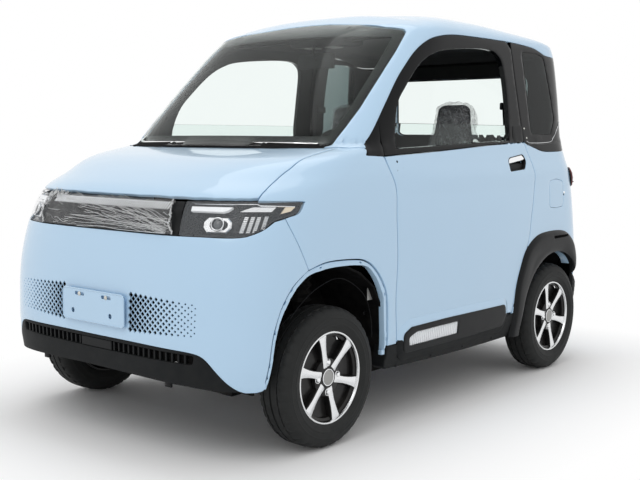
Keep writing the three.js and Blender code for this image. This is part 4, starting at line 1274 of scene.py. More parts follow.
class Palette:
    """Every finish of the vehicle, made once."""

    FINISHES = (
        Finish("body_paint", (0.437, 0.625, 0.81), 0.42, coat=1.0, coat_roughness=0.025, vary=0.015,
               vary_size=0.5, blur=0.03, dust=0.04, specular=0.4),
        Finish("inner_paint", (0.40, 0.57, 0.74), 0.5, coat=0.2, vary=0.03, dust=0.12),
        Finish("gloss_black", (0.0030, 0.0034, 0.0040), 0.12, coat=0.10, coat_roughness=0.02, vary=0.1,
               blur=0.02, specular=0.12),
        Finish("black_plastic", (0.0085, 0.0098, 0.0108), 0.55, grain=0.00012, grain_size=0.0011, vary=0.12,
               dust=0.04, dust_line=0.5, specular=0.12),
        Finish("satin_black", (0.0065, 0.0072, 0.0080), 0.38, grain=0.00004, grain_size=0.0007, vary=0.1,
               specular=0.16),
        Finish("liner", (0.0040, 0.0040, 0.0044), 0.85, grain=0.0004, grain_size=0.004, vary=0.25, dust=0.06,
               dust_line=0.9, specular=0.05),
        Finish("tyre", (0.0165, 0.0175, 0.0175), 0.62, grain=0.00008, grain_size=0.0012, vary=0.12, dust=0.10,
               dust_line=0.5, dust_colour=(0.12, 0.115, 0.11), specular=0.2),
        Finish("alloy", (0.80, 0.81, 0.82), 0.24, metallic=1.0, vary=0.04, blur=0.06, dust=0.05),
        Finish("alloy_black", (0.0060, 0.0060, 0.0066), 0.30, coat=0.15, vary=0.1, dust=0.06, dust_line=0.5,
               specular=0.2),
        Finish("chrome", (0.88, 0.89, 0.90), 0.07, metallic=1.0, vary=0.02, blur=0.02),
        Finish("steel", (0.42, 0.42, 0.41), 0.42, metallic=1.0, vary=0.15, grain=0.00005, dust=0.3,
               dust_line=0.6),
        Finish("cap_grey", (0.34, 0.34, 0.33), 0.45, metallic=0.4, vary=0.06),
        Finish("zinc", (0.62, 0.62, 0.58), 0.35, metallic=1.0, vary=0.1),
        Finish("chassis_black", (0.007, 0.007, 0.0075), 0.5, grain=0.00015, grain_size=0.003, vary=0.2,
               dust=0.08, dust_line=0.7, specular=0.1),
        Finish("glass", (0.88, 0.94, 0.92), 0.0, transmission=1.0, ior=1.16, vary=0.01, blur=0.0),
        Finish("tinted_glass", (0.13, 0.17, 0.17), 0.0, transmission=1.0, ior=1.20, vary=0.02, blur=0.0),
        Finish("lens", (0.97, 0.98, 0.99), 0.0, transmission=1.0, ior=1.40, vary=0.0, blur=0.0),
        Finish("clear_lens", (0.70, 0.74, 0.78), 0.02, alpha=0.06, coat=0.15, vary=0.0, blur=0.0,
               specular=0.5),
        Finish("dark_lens", (0.02, 0.025, 0.03), 0.03, coat=0.6, vary=0.0, blur=0.0, specular=0.8),
        Finish("amber_pale", (0.82, 0.70, 0.52), 0.2, coat=0.6, vary=0.05),
        Finish("red_lens", (0.10, 0.002, 0.003), 0.10, coat=0.6, vary=0.1, blur=0.02),
        Finish("smoke_lens", (0.030, 0.027, 0.027), 0.06, coat=0.5, vary=0.1, blur=0.02),
        Finish("brushed", (0.55, 0.56, 0.57), 0.32, metallic=1.0, vary=0.05),
        Finish("white_light", (0.88, 0.90, 0.92), 0.25, coat=0.3, vary=0.02, glow=0.08),
        Finish("amber", (0.75, 0.22, 0.02), 0.2, coat=0.6, vary=0.06),
        Finish("film", (0.93, 0.95, 0.97), 0.10, alpha=0.07, coat=0.7, crinkle=0.006, crinkle_size=0.055,
               vary=0.02, blur=0.05, specular=0.8),
        # film_fold: nearly opaque white for folded and bunched film; partly the film's own whitening where it
        # folds, partly painted highlight.
        Finish("film_fold", (0.90, 0.92, 0.93), 0.2, alpha=0.80, coat=1.0, crinkle=0.003, crinkle_size=0.012,
               vary=0.05, blur=0.05, specular=0.8),
        Finish("cover_film", (0.85, 0.88, 0.92), 0.08, alpha=0.15, coat=1.0, crinkle=0.008, crinkle_size=0.07,
               vary=0.02, blur=0.04, specular=1.0),
        Finish("seat_cloth", (0.010, 0.010, 0.012), 0.62, grain=0.0003, grain_size=0.0016, vary=0.2,
               sheen=0.1, specular=0.3),
        Finish("trim", (0.012, 0.013, 0.014), 0.62, grain=0.00018, grain_size=0.0014, vary=0.12,
               specular=0.25),
        Finish("headliner", (0.060, 0.062, 0.064), 0.9, grain=0.0003, grain_size=0.002, vary=0.1, sheen=0.2,
               specular=0.1),
        Finish("carpet", (0.012, 0.012, 0.013), 0.95, grain=0.0012, grain_size=0.004, vary=0.25, sheen=0.2,
               specular=0.1),
        Finish("frit", (0.004, 0.004, 0.005), 0.35, vary=0.1, specular=0.2),
        Finish("rubber", (0.008, 0.008, 0.0085), 0.7, vary=0.15, grain=0.00005, specular=0.15),
        Finish("battery_blue", (0.02, 0.045, 0.12), 0.45, vary=0.08, dust=0.12, dust_line=0.5),
        # void: a dull black without shine that stands in for the shade in holes and deep hollows; painted
        # shade.
        Finish("void", (0.0015, 0.0015, 0.0016), 0.9, vary=0.1, specular=0.0),
    )

    def __init__(self) -> None:
        """Builds every material."""
        self.made = {finish.name: finish.build() for finish in self.FINISHES}

    def __getitem__(self, name: str) -> bpy.types.Material:
        """The material of a name."""
        return self.made[name]


PALETTE = Palette()


# ------------------------------------------------------------------------------ body lines
class Lines:
    """The shut lines and edges that neighbouring panels share.

    The tuples are in millimetres: [y, z] from the side, [x, z] from the front, or points in space.
    """

    DOOR_FRONT = ((-390, 325), (-403, 491), (-398, 644), (-405, 800), (-403, 912), (-432, 987), (-443, 1035))
    DOOR_REAR = ((644, 1087), (681, 950), (671, 852), (646, 739), (628, 643), (558, 466), (498, 325))
    BELT = ((-544, 1036), (-443, 1035), (-368, 1039), (-70, 1053), (326, 1075), (644, 1087))
    SAIL = ((-443, 1035), (-420, 1172))
    SURROUND = ((-542, 1040), (-525, 1067), (-455, 1134), (-368, 1230), (-277, 1328), (-202, 1396),
                (-140, 1446), (-71, 1487), (9, 1516), (147, 1535), (376, 1540), (620, 1540), (814, 1531),
                (892, 1517), (944, 1502), (1010, 1497), (1085, 1497))
    PILLAR = ((620, 1540), (615, 1340), (644, 1087))
    QUARTER_FOOT = ((644, 1087), (735, 1062), (826, 1045), (1007, 1046), (1085, 1049))
    WINDOW = ((-361, 1061), (-313, 1218), (-239, 1304), (-135, 1393), (-38, 1442), (63, 1466), (277, 1487),
              (417, 1491), (483, 1474), (518, 1425), (524, 1263), (519, 1096))
    QUARTER_LIGHT = ((708, 1504), (720, 1124), (921, 1125), (971, 1197), (926, 1492), (860, 1504))
    FRONT_ARCH = ((-445, 319), (-446, 352), (-449, 436), (-454, 494), (-470, 545), (-504, 594), (-543, 632),
                  (-585, 656), (-637, 668), (-742, 674), (-824, 671), (-905, 653), (-941, 632), (-984, 599),
                  (-1025, 541), (-1050, 477), (-1062, 430), (-1072, 351), (-1084, 262))
    ARCH_TURN = 11                # where the wing meets the nose in FRONT_ARCH
    FRONT_RIDGE = ((-460, 300), (-463, 355), (-469, 436), (-475, 497), (-494, 546), (-529, 595), (-574, 633),
                   (-640, 646), (-741, 650), (-818, 647), (-890, 636), (-930, 616), (-972, 582), (-1009, 529),
                   (-1036, 471), (-1047, 427), (-1058, 350), (-1071, 262))
    WING_SPLIT = ((-905, 653), (-946, 733), (-981, 802), (-993, 832))
    FLARE_OUTER = ((506, 208), (508, 323), (519, 426), (551, 513), (602, 600), (694, 655), (801, 671),
                   (944, 669), (1030, 648), (1099, 599), (1143, 530), (1157, 450), (1152, 354), (1140, 208))
    LAMP_FOOT = ((388, -1217, 772), (474, -1197, 773), (597, -1133, 774), (640, -1075, 795),
                 (658, -1030, 824), (675, -976, 838), (683, -935, 850))
    LAMP_HEAD = ((682, -912, 879), (678, -918, 887), (608, -1050, 892), (520, -1130, 891), (380, -1172, 889))
    BONNET_SIDE = ((603, -1056, 892), (598, -1020, 920), (589, -949, 958), (593, -884, 994),
                   (586, -797, 1031), (586, -700, 1058), (588, -655, 1066))
    SCREEN = ((0, 1066), (359, 1065), (500, 1065), (522, 1067), (538, 1075), (550, 1091), (557, 1139),
              (563, 1215), (558, 1341), (551, 1440), (541, 1500), (534, 1528), (521, 1540), (498, 1545),
              (447, 1551), (306, 1571), (115, 1588), (0, 1591))
    BAR_FOOT = 772
    # the seam between the nose and the lower bumper, as [distance round the body, z]
    BUMPER_SEAM = ((0, 393), (200, 393.5), (373, 391), (440, 389), (482, 384), (504, 375), (522, 360),
                   (545, 334), (579, 299), (607, 277), (630, 264))
    NOSE_CORNER = ((651, 257), (690, 255), (712, 259), (725, 270))
    TAILGATE_HALF = 508
    TAILGATE_LOW = 597
    TAILGATE_HIGH = 1493
    BUMPER_TOP = 590
    BUMPER_FOOT = 216
    CANT_REAR = 1497
    REAR_BELT = 1049
    SILL_TOP = 319
    REAR_ARCH = 0.315
    ARCH_SPLIT = 48.0       # degrees round the rear arch where quarter and bumper meet


def side_line(points: Sequence[Point2], steps: int = 6) -> Outline:
    """A smooth line given from the side in millimetres, drawn round the body."""
    return SURFACE.redrawn(mm(through(points, steps)), View.SIDE, View.AROUND)


def space_line(points: Sequence[Point3], steps: int = 5) -> Outline:
    """A smooth line given in space in millimetres, drawn round the body."""
    return SURFACE.drawn([tuple(c * 0.001 for c in p) for p in through(points, steps)])


def level(height: float, start: float, end: float, steps: int = 12) -> Outline:
    """A level line round the body.

    Args:
        height: Its height in millimetres.
        start: Distance round the body at its start, in metres.
        end: Distance at its end.
        steps: Number of steps.
    Returns:
        The line.
    """
    return [(start + (end - start) * k / steps, height * 0.001) for k in range(steps + 1)]


def rear_arc(start: float, end: float, steps: int = 20, radius: float = Lines.REAR_ARCH) -> Outline:
    """Part of the rear wheel arch from the side, between two angles in degrees."""
    angles = [math.radians(start + (end - start) * k / steps) for k in range(steps + 1)]
    return [(REAR_AXLE_Y + radius * math.cos(a), AXLE_Z + radius * math.sin(a)) for a in angles]


def pair(left: bpy.types.Object, name: str, slot: str, *finishes: str, node: str = "",
         body: str = "") -> None:
    """Finishes a left piece and makes its right twin.

    Args:
        left: The piece on the left, in its final shape.
        name: The twins' common name.
        slot: The record's slot.
        *finishes: The names of their finishes.
        node: The CAD nodes that they stand for, without the side's word.
        body: The body they ride on, without the side's word; the chassis if empty.
    """
    left.name = f"{name}_left"
    right = copied(left, f"{name}_right", MIRROR_X)
    for obj, side in ((left, Side.LEFT), (right, Side.RIGHT)):
        if node:
            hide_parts(f"{node}_{side.word}")
        dress(obj, f"{body}_{side.word}" if body else ROOT, slot, *(PALETTE[f] for f in finishes))


@dataclass
class Shell:
    """Painted panels of the body."""

    edge: float = 0.0022
    shut: float = 0.0026          # half of the gap round parts that open
    seam: float = 0.0009          # half of the gap between fixed parts
    crease: float = 0.0055
    crease_at: float = 0.943
    crease_reach: float = 0.060

    def build(self) -> None:
        """Makes every painted panel."""
        self._doors()
        self._wings()
        self._nose()
        self._bonnet()
        self._roof()
        self._rear_quarters()
        self._bumper()
        self._tailgate()

    def shoulder(self, flat: np.ndarray) -> np.ndarray:
        """The soft crease along the sides, given for the side's plane."""
        return self._crease(flat[:, 1], np.clip((flat[:, 0] + 0.44) / 0.30, 0, 1))

    def _crease(self, height: np.ndarray, share: np.ndarray) -> np.ndarray:
        """The crease's own section, in a share of its full height."""
        away = np.sqrt((height - self.crease_at) ** 2 + 0.003 ** 2)
        return share * self.crease * np.clip(1 - away / self.crease_reach, 0, 1)

    def _doors(self) -> None:
        """Both doors' painted panels."""
        rear = through(Lines.DOOR_REAR)
        outline = mm(through(Lines.DOOR_FRONT) + through(Lines.BELT[1:])[1:] + rear[1:])
        left = Panel("door_panel", View.SIDE, outline, wall=0.014, gap=self.shut, edge=self.edge, cell=0.015,
                     holes=[DoorHandle.recess()], hole_edge=0.0015, relief=self.shoulder).build()
        pair(left, "door_panel", "body_paint", "body_paint", "trim", node="door", body="door")
        low = [(y, min(z, 1.005)) for y, z in outline]
        card = Panel("door_card", View.SIDE, low, wall=0.036, gap=0.012, edge=0.003, height=-0.0155,
                     cell=0.03).build()
        pair(card, "door_card", "cabin_trim", "trim", "trim", body="door")

    def _wings(self) -> None:
        """The front wings, from the arch up to the bonnet and the windscreen pillar."""
        arch = side_line(Lines.FRONT_ARCH[:Lines.ARCH_TURN + 1])
        split = side_line(Lines.WING_SPLIT)[1:]
        lamp = space_line(Lines.LAMP_FOOT[4:] + Lines.LAMP_HEAD[:3])[1:]
        bonnet = space_line(Lines.BONNET_SIDE)
        foot = side_line(((-640, 1068), (-585, 1067), (-525, 1067), (-542, 1040)), 3)
        belt = side_line(Lines.BELT[:2], 3)
        door = side_line(Lines.DOOR_FRONT)[::-1]
        outline = arch + split + lamp + bonnet + foot[1:] + belt[1:] + door[1:] + side_line(((-390, 319),
                                                                                             (-445, 319)), 2)
        left = Panel("front_wing", View.AROUND, outline, wall=0.016, gap=self.seam, edge=self.edge).build()
        pair(left, "front_wing", "body_paint", "body_paint", "inner_paint", node="front_wing")

    def nose_outline(self) -> Outline:
        """The nose panel's outline, drawn round the body.

        Returns:
            The closed outline.
        """
        top = level(Lines.BAR_FOOT, 0.0, SURFACE.drawn([(0.388, -1.217, 0.772)])[0][0], 6)
        lamp = space_line(Lines.LAMP_FOOT[:5])[1:]
        split = side_line(Lines.WING_SPLIT)[::-1]
        arch = [p for p in side_line(Lines.FRONT_ARCH[Lines.ARCH_TURN:])[1:] if p[1] > 0.285]
        seam = mm(through(Lines.BUMPER_SEAM, 4)) + mm(Lines.NOSE_CORNER)
        return halves(seam + arch[::-1] + split[::-1] + lamp[::-1] + top[::-1])

    def _nose(self) -> None:
        """The nose panel, in one piece from wheel arch to wheel arch."""
        panel = Panel("nose_skin", View.AROUND, self.nose_outline(), wall=0.005, gap=self.seam,
                      edge=self.edge, holes=Front.diamonds(), hole_edge=0.0008)
        nose = panel.build()
        # A dull black sheet close behind the diamond holes makes them read black: painted shade.
        backing = Panel("nose_mesh_backing", View.AROUND,
                        rounded([(-0.53, 0.405), (0.53, 0.405), (0.53, 0.590),
                                                                   (-0.53, 0.590)], 0.01, 3), wall=0.003,
                        edge=0.0005, height=-0.0075, cell=0.03).build()
        dress(backing, ROOT, "black_plastic", PALETTE["void"], PALETTE["liner"])
        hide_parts("nose_panel")
        dress(nose, ROOT, "body_paint", PALETTE["body_paint"], PALETTE["inner_paint"])

    def _bonnet(self) -> None:
        """The bonnet, which lifts at its front."""
        side = SURFACE.drawn([tuple(c * 0.001 for c in p) for p in through(Lines.BONNET_SIDE, 4)], View.TOP)
        lip = [(x * 0.001, 0.0) for x in (0, 150, 300, 400, 480, 540, 580)]
        front = SURFACE.redrawn([(x, 0.897) for x, _ in lip], View.FRONT, View.TOP)
        cowl = SURFACE.redrawn(mm([(588, 1066), (522, 1064), (359, 1062), (180, 1062), (0, 1062)]),
                               View.FRONT, View.TOP)
        bonnet = Panel("bonnet_skin", View.TOP, halves(front + side[1:] + cowl[1:]), wall=0.014,
                       gap=self.shut, edge=self.edge).build()
        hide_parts("bonnet")
        dress(bonnet, "bonnet", "body_paint", PALETTE["body_paint"], PALETTE["inner_paint"])

    def _roof(self) -> None:
        """The roof with both windscreen pillars."""
        screen = SURFACE.redrawn(mm(Lines.SCREEN[5:]), View.FRONT, View.CROWN)
        pillar_foot = SURFACE.redrawn(mm([(-640, 1068), (-585, 1067), (-525, 1067)]), View.SIDE, View.CROWN)
        cant = SURFACE.redrawn(mm(through(Lines.SURROUND[1:], 5)), View.SIDE, View.CROWN)
        start = SURFACE.redrawn(mm([(1085, Lines.CANT_REAR)]), View.SIDE, View.AROUND)[0][0]
        tail = SURFACE.redrawn(level(Lines.CANT_REAR, start, SURFACE.tail, 16), View.AROUND, View.CROWN)
        tail[-1] = (0.0, tail[-1][1])
        outline = halves(screen[::-1] + pillar_foot + cant[1:] + tail[1:])
        roof = Panel("roof_skin", View.CROWN, outline, wall=0.016, gap=self.seam, edge=self.edge,
                     cell=0.026).build()
        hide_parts("roof")
        dress(roof, ROOT, "body_paint", PALETTE["body_paint"], PALETTE["headliner"])

    def gate_edge(self, low: float, high: float, steps: int = 16) -> Outline:
        """The tailgate opening's left edge between two heights, drawn round the body from low to high.

        Args:
            low: The lower height, in millimetres.
            high: The upper height, in millimetres.
            steps: Number of steps along the straight stretch.
        Returns:
            The edge's points.
        """
        low_corner, high_corner = Lines.TAILGATE_LOW, Lines.TAILGATE_HIGH
        half, radius = Lines.TAILGATE_HALF, 60
        frame_line = rounded([(0, low_corner), (half, low_corner), (half, high_corner), (0, high_corner)],
                             [0, radius, radius, 0], 8)
        dense = [p for p in frame_line if low <= p[1] <= high and p[0] > 1]
        extra = [(half, low + (high - low) * k / steps) for k in range(steps + 1)]
        extra = [p for p in extra if low_corner + radius < p[1] < high_corner - radius]
        line = sorted(dense + extra, key=lambda p: p[1])
        return SURFACE.redrawn(mm(line), View.REAR, View.AROUND)

    def _rear_quarters(self) -> None:
        """The painted rear quarters, from the door to the tailgate."""
        arc = SURFACE.redrawn(rear_arc(168, Lines.ARCH_SPLIT), View.SIDE, View.AROUND)
        split = side_line(((1110, 590),), 1)
        gate = self.gate_edge(Lines.BUMPER_TOP, Lines.REAR_BELT)
        base = level(Lines.BUMPER_TOP, split[0][0], gate[0][0] if gate[0][1] < 0.6 else SURFACE.tail - 0.4, 8)
        belt = side_line(Lines.QUARTER_FOOT)
        top = level(Lines.REAR_BELT, gate[-1][0], belt[-1][0], 6)
        door = side_line(Lines.DOOR_REAR)
        sill = side_line(((498, Lines.SILL_TOP), (588, Lines.SILL_TOP)), 2)
        outline = sill + arc + base + gate + top[1:] + belt[::-1][1:] + door[1:-1]
        lid = SURFACE.redrawn(ChargeLid.outline(), View.SIDE, View.AROUND)
        fade_start, fade_end = (SURFACE.redrawn([(y, 0.945)], View.SIDE, View.AROUND)[0][0] for y in (0.98,
                                                                                                      1.10))

        def crease(flat: np.ndarray) -> np.ndarray:
            """The sides' crease, which climbs and fades towards the tail.

            Args:
                flat: Points of the drawing plane.
            Returns:
                The height at each point.
            """
            lift = 0.012 * np.clip((flat[:, 0] - fade_start) / 0.2 + 1, 0, 1)
            return self._crease(flat[:, 1] - lift,
                                1 - np.clip((flat[:, 0] - fade_start) / (fade_end - fade_start), 0, 1))

        common = dict(view=View.AROUND, outline=outline, wall=0.055, gap=self.seam, edge=self.edge,
                      cell=0.015, relief=crease)
        left = Panel("rear_quarter_skin_left", holes=[lid], hole_edge=0.0015, **common).build()
        right = Panel("rear_quarter_skin_right", **common).build()
        right.data.transform(MIRROR_X)
        right.data.flip_normals()
        for obj, side in ((left, Side.LEFT), (right, Side.RIGHT)):
            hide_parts(f"rear_quarter_{side.word}")
            dress(obj, ROOT, "body_paint", PALETTE["body_paint"], PALETTE["trim"])

    def _bumper(self) -> None:
        """The rear bumper, in one piece from arch to arch."""
        arc = SURFACE.redrawn(rear_arc(Lines.ARCH_SPLIT, -6, 12), View.SIDE, View.AROUND)
        split = side_line(((1110, 590),), 1)
        top = level(Lines.BUMPER_TOP, SURFACE.tail, split[0][0], 14)
        foot = level(Lines.BUMPER_FOOT, arc[-1][0] + 0.004, SURFACE.tail, 14)
        left = top + arc + foot
        tail = SURFACE.tail
        whole = left + [(2 * tail - s, z) for s, z in reversed(left) if s < tail - 1e-6]
        self._tail_piece("rear_bumper_skin", whole, "rear_bumper", ROOT, wall=0.014)

    def _tail_piece(self, name: str, outline: Outline, node: str, body: str, wall: float) -> None:
        """A painted panel that crosses the middle of the tail, drawn round the body past it.

        Args:
            name: The panel's name.
            outline: Its outline, drawn round the body.
            node: The node that it stands for.
            body: The body that it rides on.
            wall: Its thickness.
        """
        panel = Panel(name, View.AROUND, outline, wall=wall, gap=self.seam, edge=self.edge)
        obj = panel.build()
        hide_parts(node)
        dress(obj, body, "body_paint", PALETTE["body_paint"], PALETTE["liner"])

    def _tailgate(self) -> None:
        """The tailgate round its window."""
        half, low, high = Lines.TAILGATE_HALF, Lines.TAILGATE_LOW, Lines.TAILGATE_HIGH
        outline = mm(rounded([(-half, low), (half, low), (half, high), (-half, high)], 60.0, 8))
        light = mm(rounded([(-415, 1120), (415, 1120), (415, 1420), (-415, 1420)], 50.0, 8))
        gate = Panel("tailgate_skin", View.REAR, outline, wall=0.040, gap=self.shut, edge=self.edge,
                     holes=[light], hole_edge=0.002).build()
        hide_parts("tailgate")
        dress(gate, "tailgate", "body_paint", PALETTE["body_paint"], PALETTE["trim"])


@dataclass
class BlackGlasshouse:
    """The gloss-black window surrounds and every pane of glass."""

    edge: float = 0.0016
    seam: float = 0.0008
    pane: float = 0.005

    def build(self) -> None:
        """Makes the surrounds and the panes."""
        self._sails()
        self._door_frames()
        self._quarter_windows()
        self._windscreen()
        self._door_glass()
        self._rear_glass()

    def _surround(self, low_y: float, high_y: float) -> list[Point2]:
        """The surround's top line between two places, in millimetres from the side."""
        return [p for p in through(Lines.SURROUND[1:], 6) if low_y <= p[0] <= high_y]

    def _sails(self) -> None:
        """The black corner pieces ahead of the doors' windows."""
        top = self._surround(-530, -420)
        outline = mm([(-544, 1036), *top, *through(Lines.SAIL, 4)[::-1]])
        left = Panel("sail_panel", View.SIDE, outline, wall=0.022, gap=self.seam, edge=self.edge,
                     cell=0.018).build()
        pair(left, "sail_panel", "gloss_black", "gloss_black", "trim", node="sail")

    def _door_frames(self) -> None:
        """The doors' black window frames."""
        top = self._surround(-418, 618)
        belt = through(Lines.BELT[1:], 6)
        outline = mm(through(Lines.SAIL, 4) + top + through(Lines.PILLAR, 6)[1:] + belt[::-1][1:])
        window = mm(through(Lines.WINDOW, 5))
        left = Panel("door_frame_panel", View.SIDE, outline, wall=0.022, gap=0.0022, edge=self.edge,
                     cell=0.018, holes=[window], hole_edge=0.003).build()
        pair(left, "door_frame_panel", "gloss_black", "gloss_black", "trim", node="door_frame", body="door")

    def _quarter_windows(self) -> None:
        """The black rear pillars with their fixed windows."""
        pillar = side_line(Lines.PILLAR, 6)
        top = side_line([p for p in Lines.SURROUND if p[0] >= 620], 5)
        gate = Shell().gate_edge(Lines.REAR_BELT, Lines.CANT_REAR)
        cant = level(Lines.CANT_REAR, top[-1][0], gate[-1][0], 8)
        foot = side_line(Lines.QUARTER_FOOT, 5)
        base = level(Lines.REAR_BELT, gate[0][0], foot[-1][0], 6)
        outline = pillar[::-1] + top[1:] + cant[1:] + gate[::-1] + base[1:] + foot[::-1][1:-1]
        light = SURFACE.redrawn(mm(rounded(Lines.QUARTER_LIGHT, 26.0, 5)), View.SIDE, View.AROUND)
        left = Panel("rear_pillar_panel", View.AROUND, outline, wall=0.042, gap=self.seam, edge=self.edge,
                     holes=[light], hole_edge=0.0012).build()
        pair(left, "rear_pillar_panel", "gloss_black", "gloss_black", "trim", node="quarter_window")
        pane = Panel("quarter_glass", View.AROUND, light, wall=self.pane, gap=0.0006, edge=0.0008,
                     height=-0.0015).build()
        pair(pane, "quarter_glass", "glass", "tinted_glass", "tinted_glass")

    def _windscreen(self) -> None:
        """The windscreen; its dark printed border is made with the cabin lining."""
        outline = halves(mm(Lines.SCREEN))
        glass = Panel("windscreen_glass", View.FRONT, outline, wall=self.pane, gap=0.0015, edge=0.001,
                      cell=0.03).build()
        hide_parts("windscreen")
        dress(glass, ROOT, "glass", PALETTE["glass"], PALETTE["glass"])

    def _door_glass(self) -> None:
        """The side windows, half lowered."""
        line = [p for p in through(Lines.WINDOW, 5) if p[1] <= 1164]
        outline = mm([(p[0] + (6 if p[0] > 0 else -6), p[1]) for p in line])
        pane = Panel("door_pane", View.SIDE, outline, wall=0.0045, edge=0.0015, height=-0.021,
                     cell=0.03).build()
        pair(pane, "door_pane", "glass", "glass", "glass", node="door_glass", body="door")

    def _rear_glass(self) -> None:
        """The tailgate's window."""
        light = mm(rounded([(-415, 1120), (415, 1120), (415, 1420), (-415, 1420)], 50.0, 8))
        pane = Panel("rear_window", View.REAR, light, wall=self.pane, gap=0.001, edge=0.001,
                     height=-0.002).build()
        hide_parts("tailgate_glass")
        dress(pane, "tailgate", "glass", PALETTE["glass"], PALETTE["glass"])





# ------------------------------------------------------------------------------ small parts on the body
def plates(name: str, view: View, outlines: Sequence[Sequence[Point2]], height: float, depth: float,
           bevel: float = 0.0008) -> bpy.types.Object:
    """Many small plates with chamfered tops, laid on the body surface.

    Args:
        name: The object's name.
        view: The drawing plane of the outlines.
        outlines: Closed convex outlines in metres.
        height: Height of the plates' feet above the surface.
        depth: How far each stands up from there.
        bevel: Width of the chamfer.
    Returns:
        One object with every plate.
    """
    flat, heights, faces = [], [], []
    for outline in outlines:
        ring = np.asarray(outline, float)
        inner = offset(ring, bevel)
        count, first = len(ring), len(flat)
        flat += [*ring, *ring, *inner]
        heights += [height] * count + [height + depth - bevel] * count + [height + depth] * count
        for level_start in (first, first + count):
            for k in range(count):
                n = (k + 1) % count
                faces.append((level_start + k, level_start + n, level_start + count + n,
                              level_start + count + k))
        faces.append(tuple(range(first + 2 * count, first + 3 * count)))
        faces.append(tuple(range(first + count - 1, first - 1, -1)))
    points = SURFACE.lift(view, np.array(flat), np.array(heights))
    return smooth(outward(from_data(name, points, faces)), 30)


def lattice_sheet(name: str, view: View, corners: Sequence[Point2], steps: tuple[int, int],
                  height: Callable[[np.ndarray, np.ndarray], np.ndarray],
                  uv: Callable | None = None) -> bpy.types.Object:
    """A thin sheet over a four-cornered patch of the body surface.

    Args:
        name: The object's name.
        view: The drawing plane.
        corners: Lower start, lower end, upper end and upper start of the patch.
        steps: Steps along and across.
        height: Gives the height from the shares along and across.
        uv: Gives texture places from the points of the drawing plane; shares along and across if left out.
    Returns:
        The sheet, one face thick, with a texture map.
    """
    along, across = np.meshgrid(np.linspace(0, 1, steps[0] + 1), np.linspace(0, 1, steps[1] + 1),
                                indexing="ij")
    a, b = along.ravel(), across.ravel()
    c = np.asarray(corners, float)
    low = c[0] + (c[1] - c[0]) * a[:, None]
    high = c[3] + (c[2] - c[3]) * a[:, None]
    flat = low + (high - low) * b[:, None]
    points = SURFACE.lift(view, flat, height(a, b))
    row = steps[1] + 1
    faces = [(i * row + j, (i + 1) * row + j, (i + 1) * row + j + 1, i * row + j + 1)
             for i in range(steps[0]) for j in range(steps[1])]
    obj = from_data(name, points, faces)
    places = uv(flat) if uv else np.stack([a, b], 1)
    layer = obj.data.uv_layers.new(name="crease")
    corners_of = np.zeros(len(obj.data.loops), np.int32)
    obj.data.loops.foreach_get("vertex_index", corners_of)
    layer.data.foreach_set("uv", places[corners_of].ravel())
    return smooth(obj, 60)


def mirrored(outlines: Sequence[Sequence[Point2]]) -> list[Outline]:
    """The outlines and their mirror images on the right half, for planes other than the side's."""
    return [*outlines, *([(-a, b) for a, b in reversed(line)] for line in outlines)]


def diamond(centre: Point2, half: float) -> Outline:
    """A square stood on its corner, with its half diagonal."""
    a, b = centre
    return [(a - half, b), (a, b - half), (a + half, b), (a, b + half)]


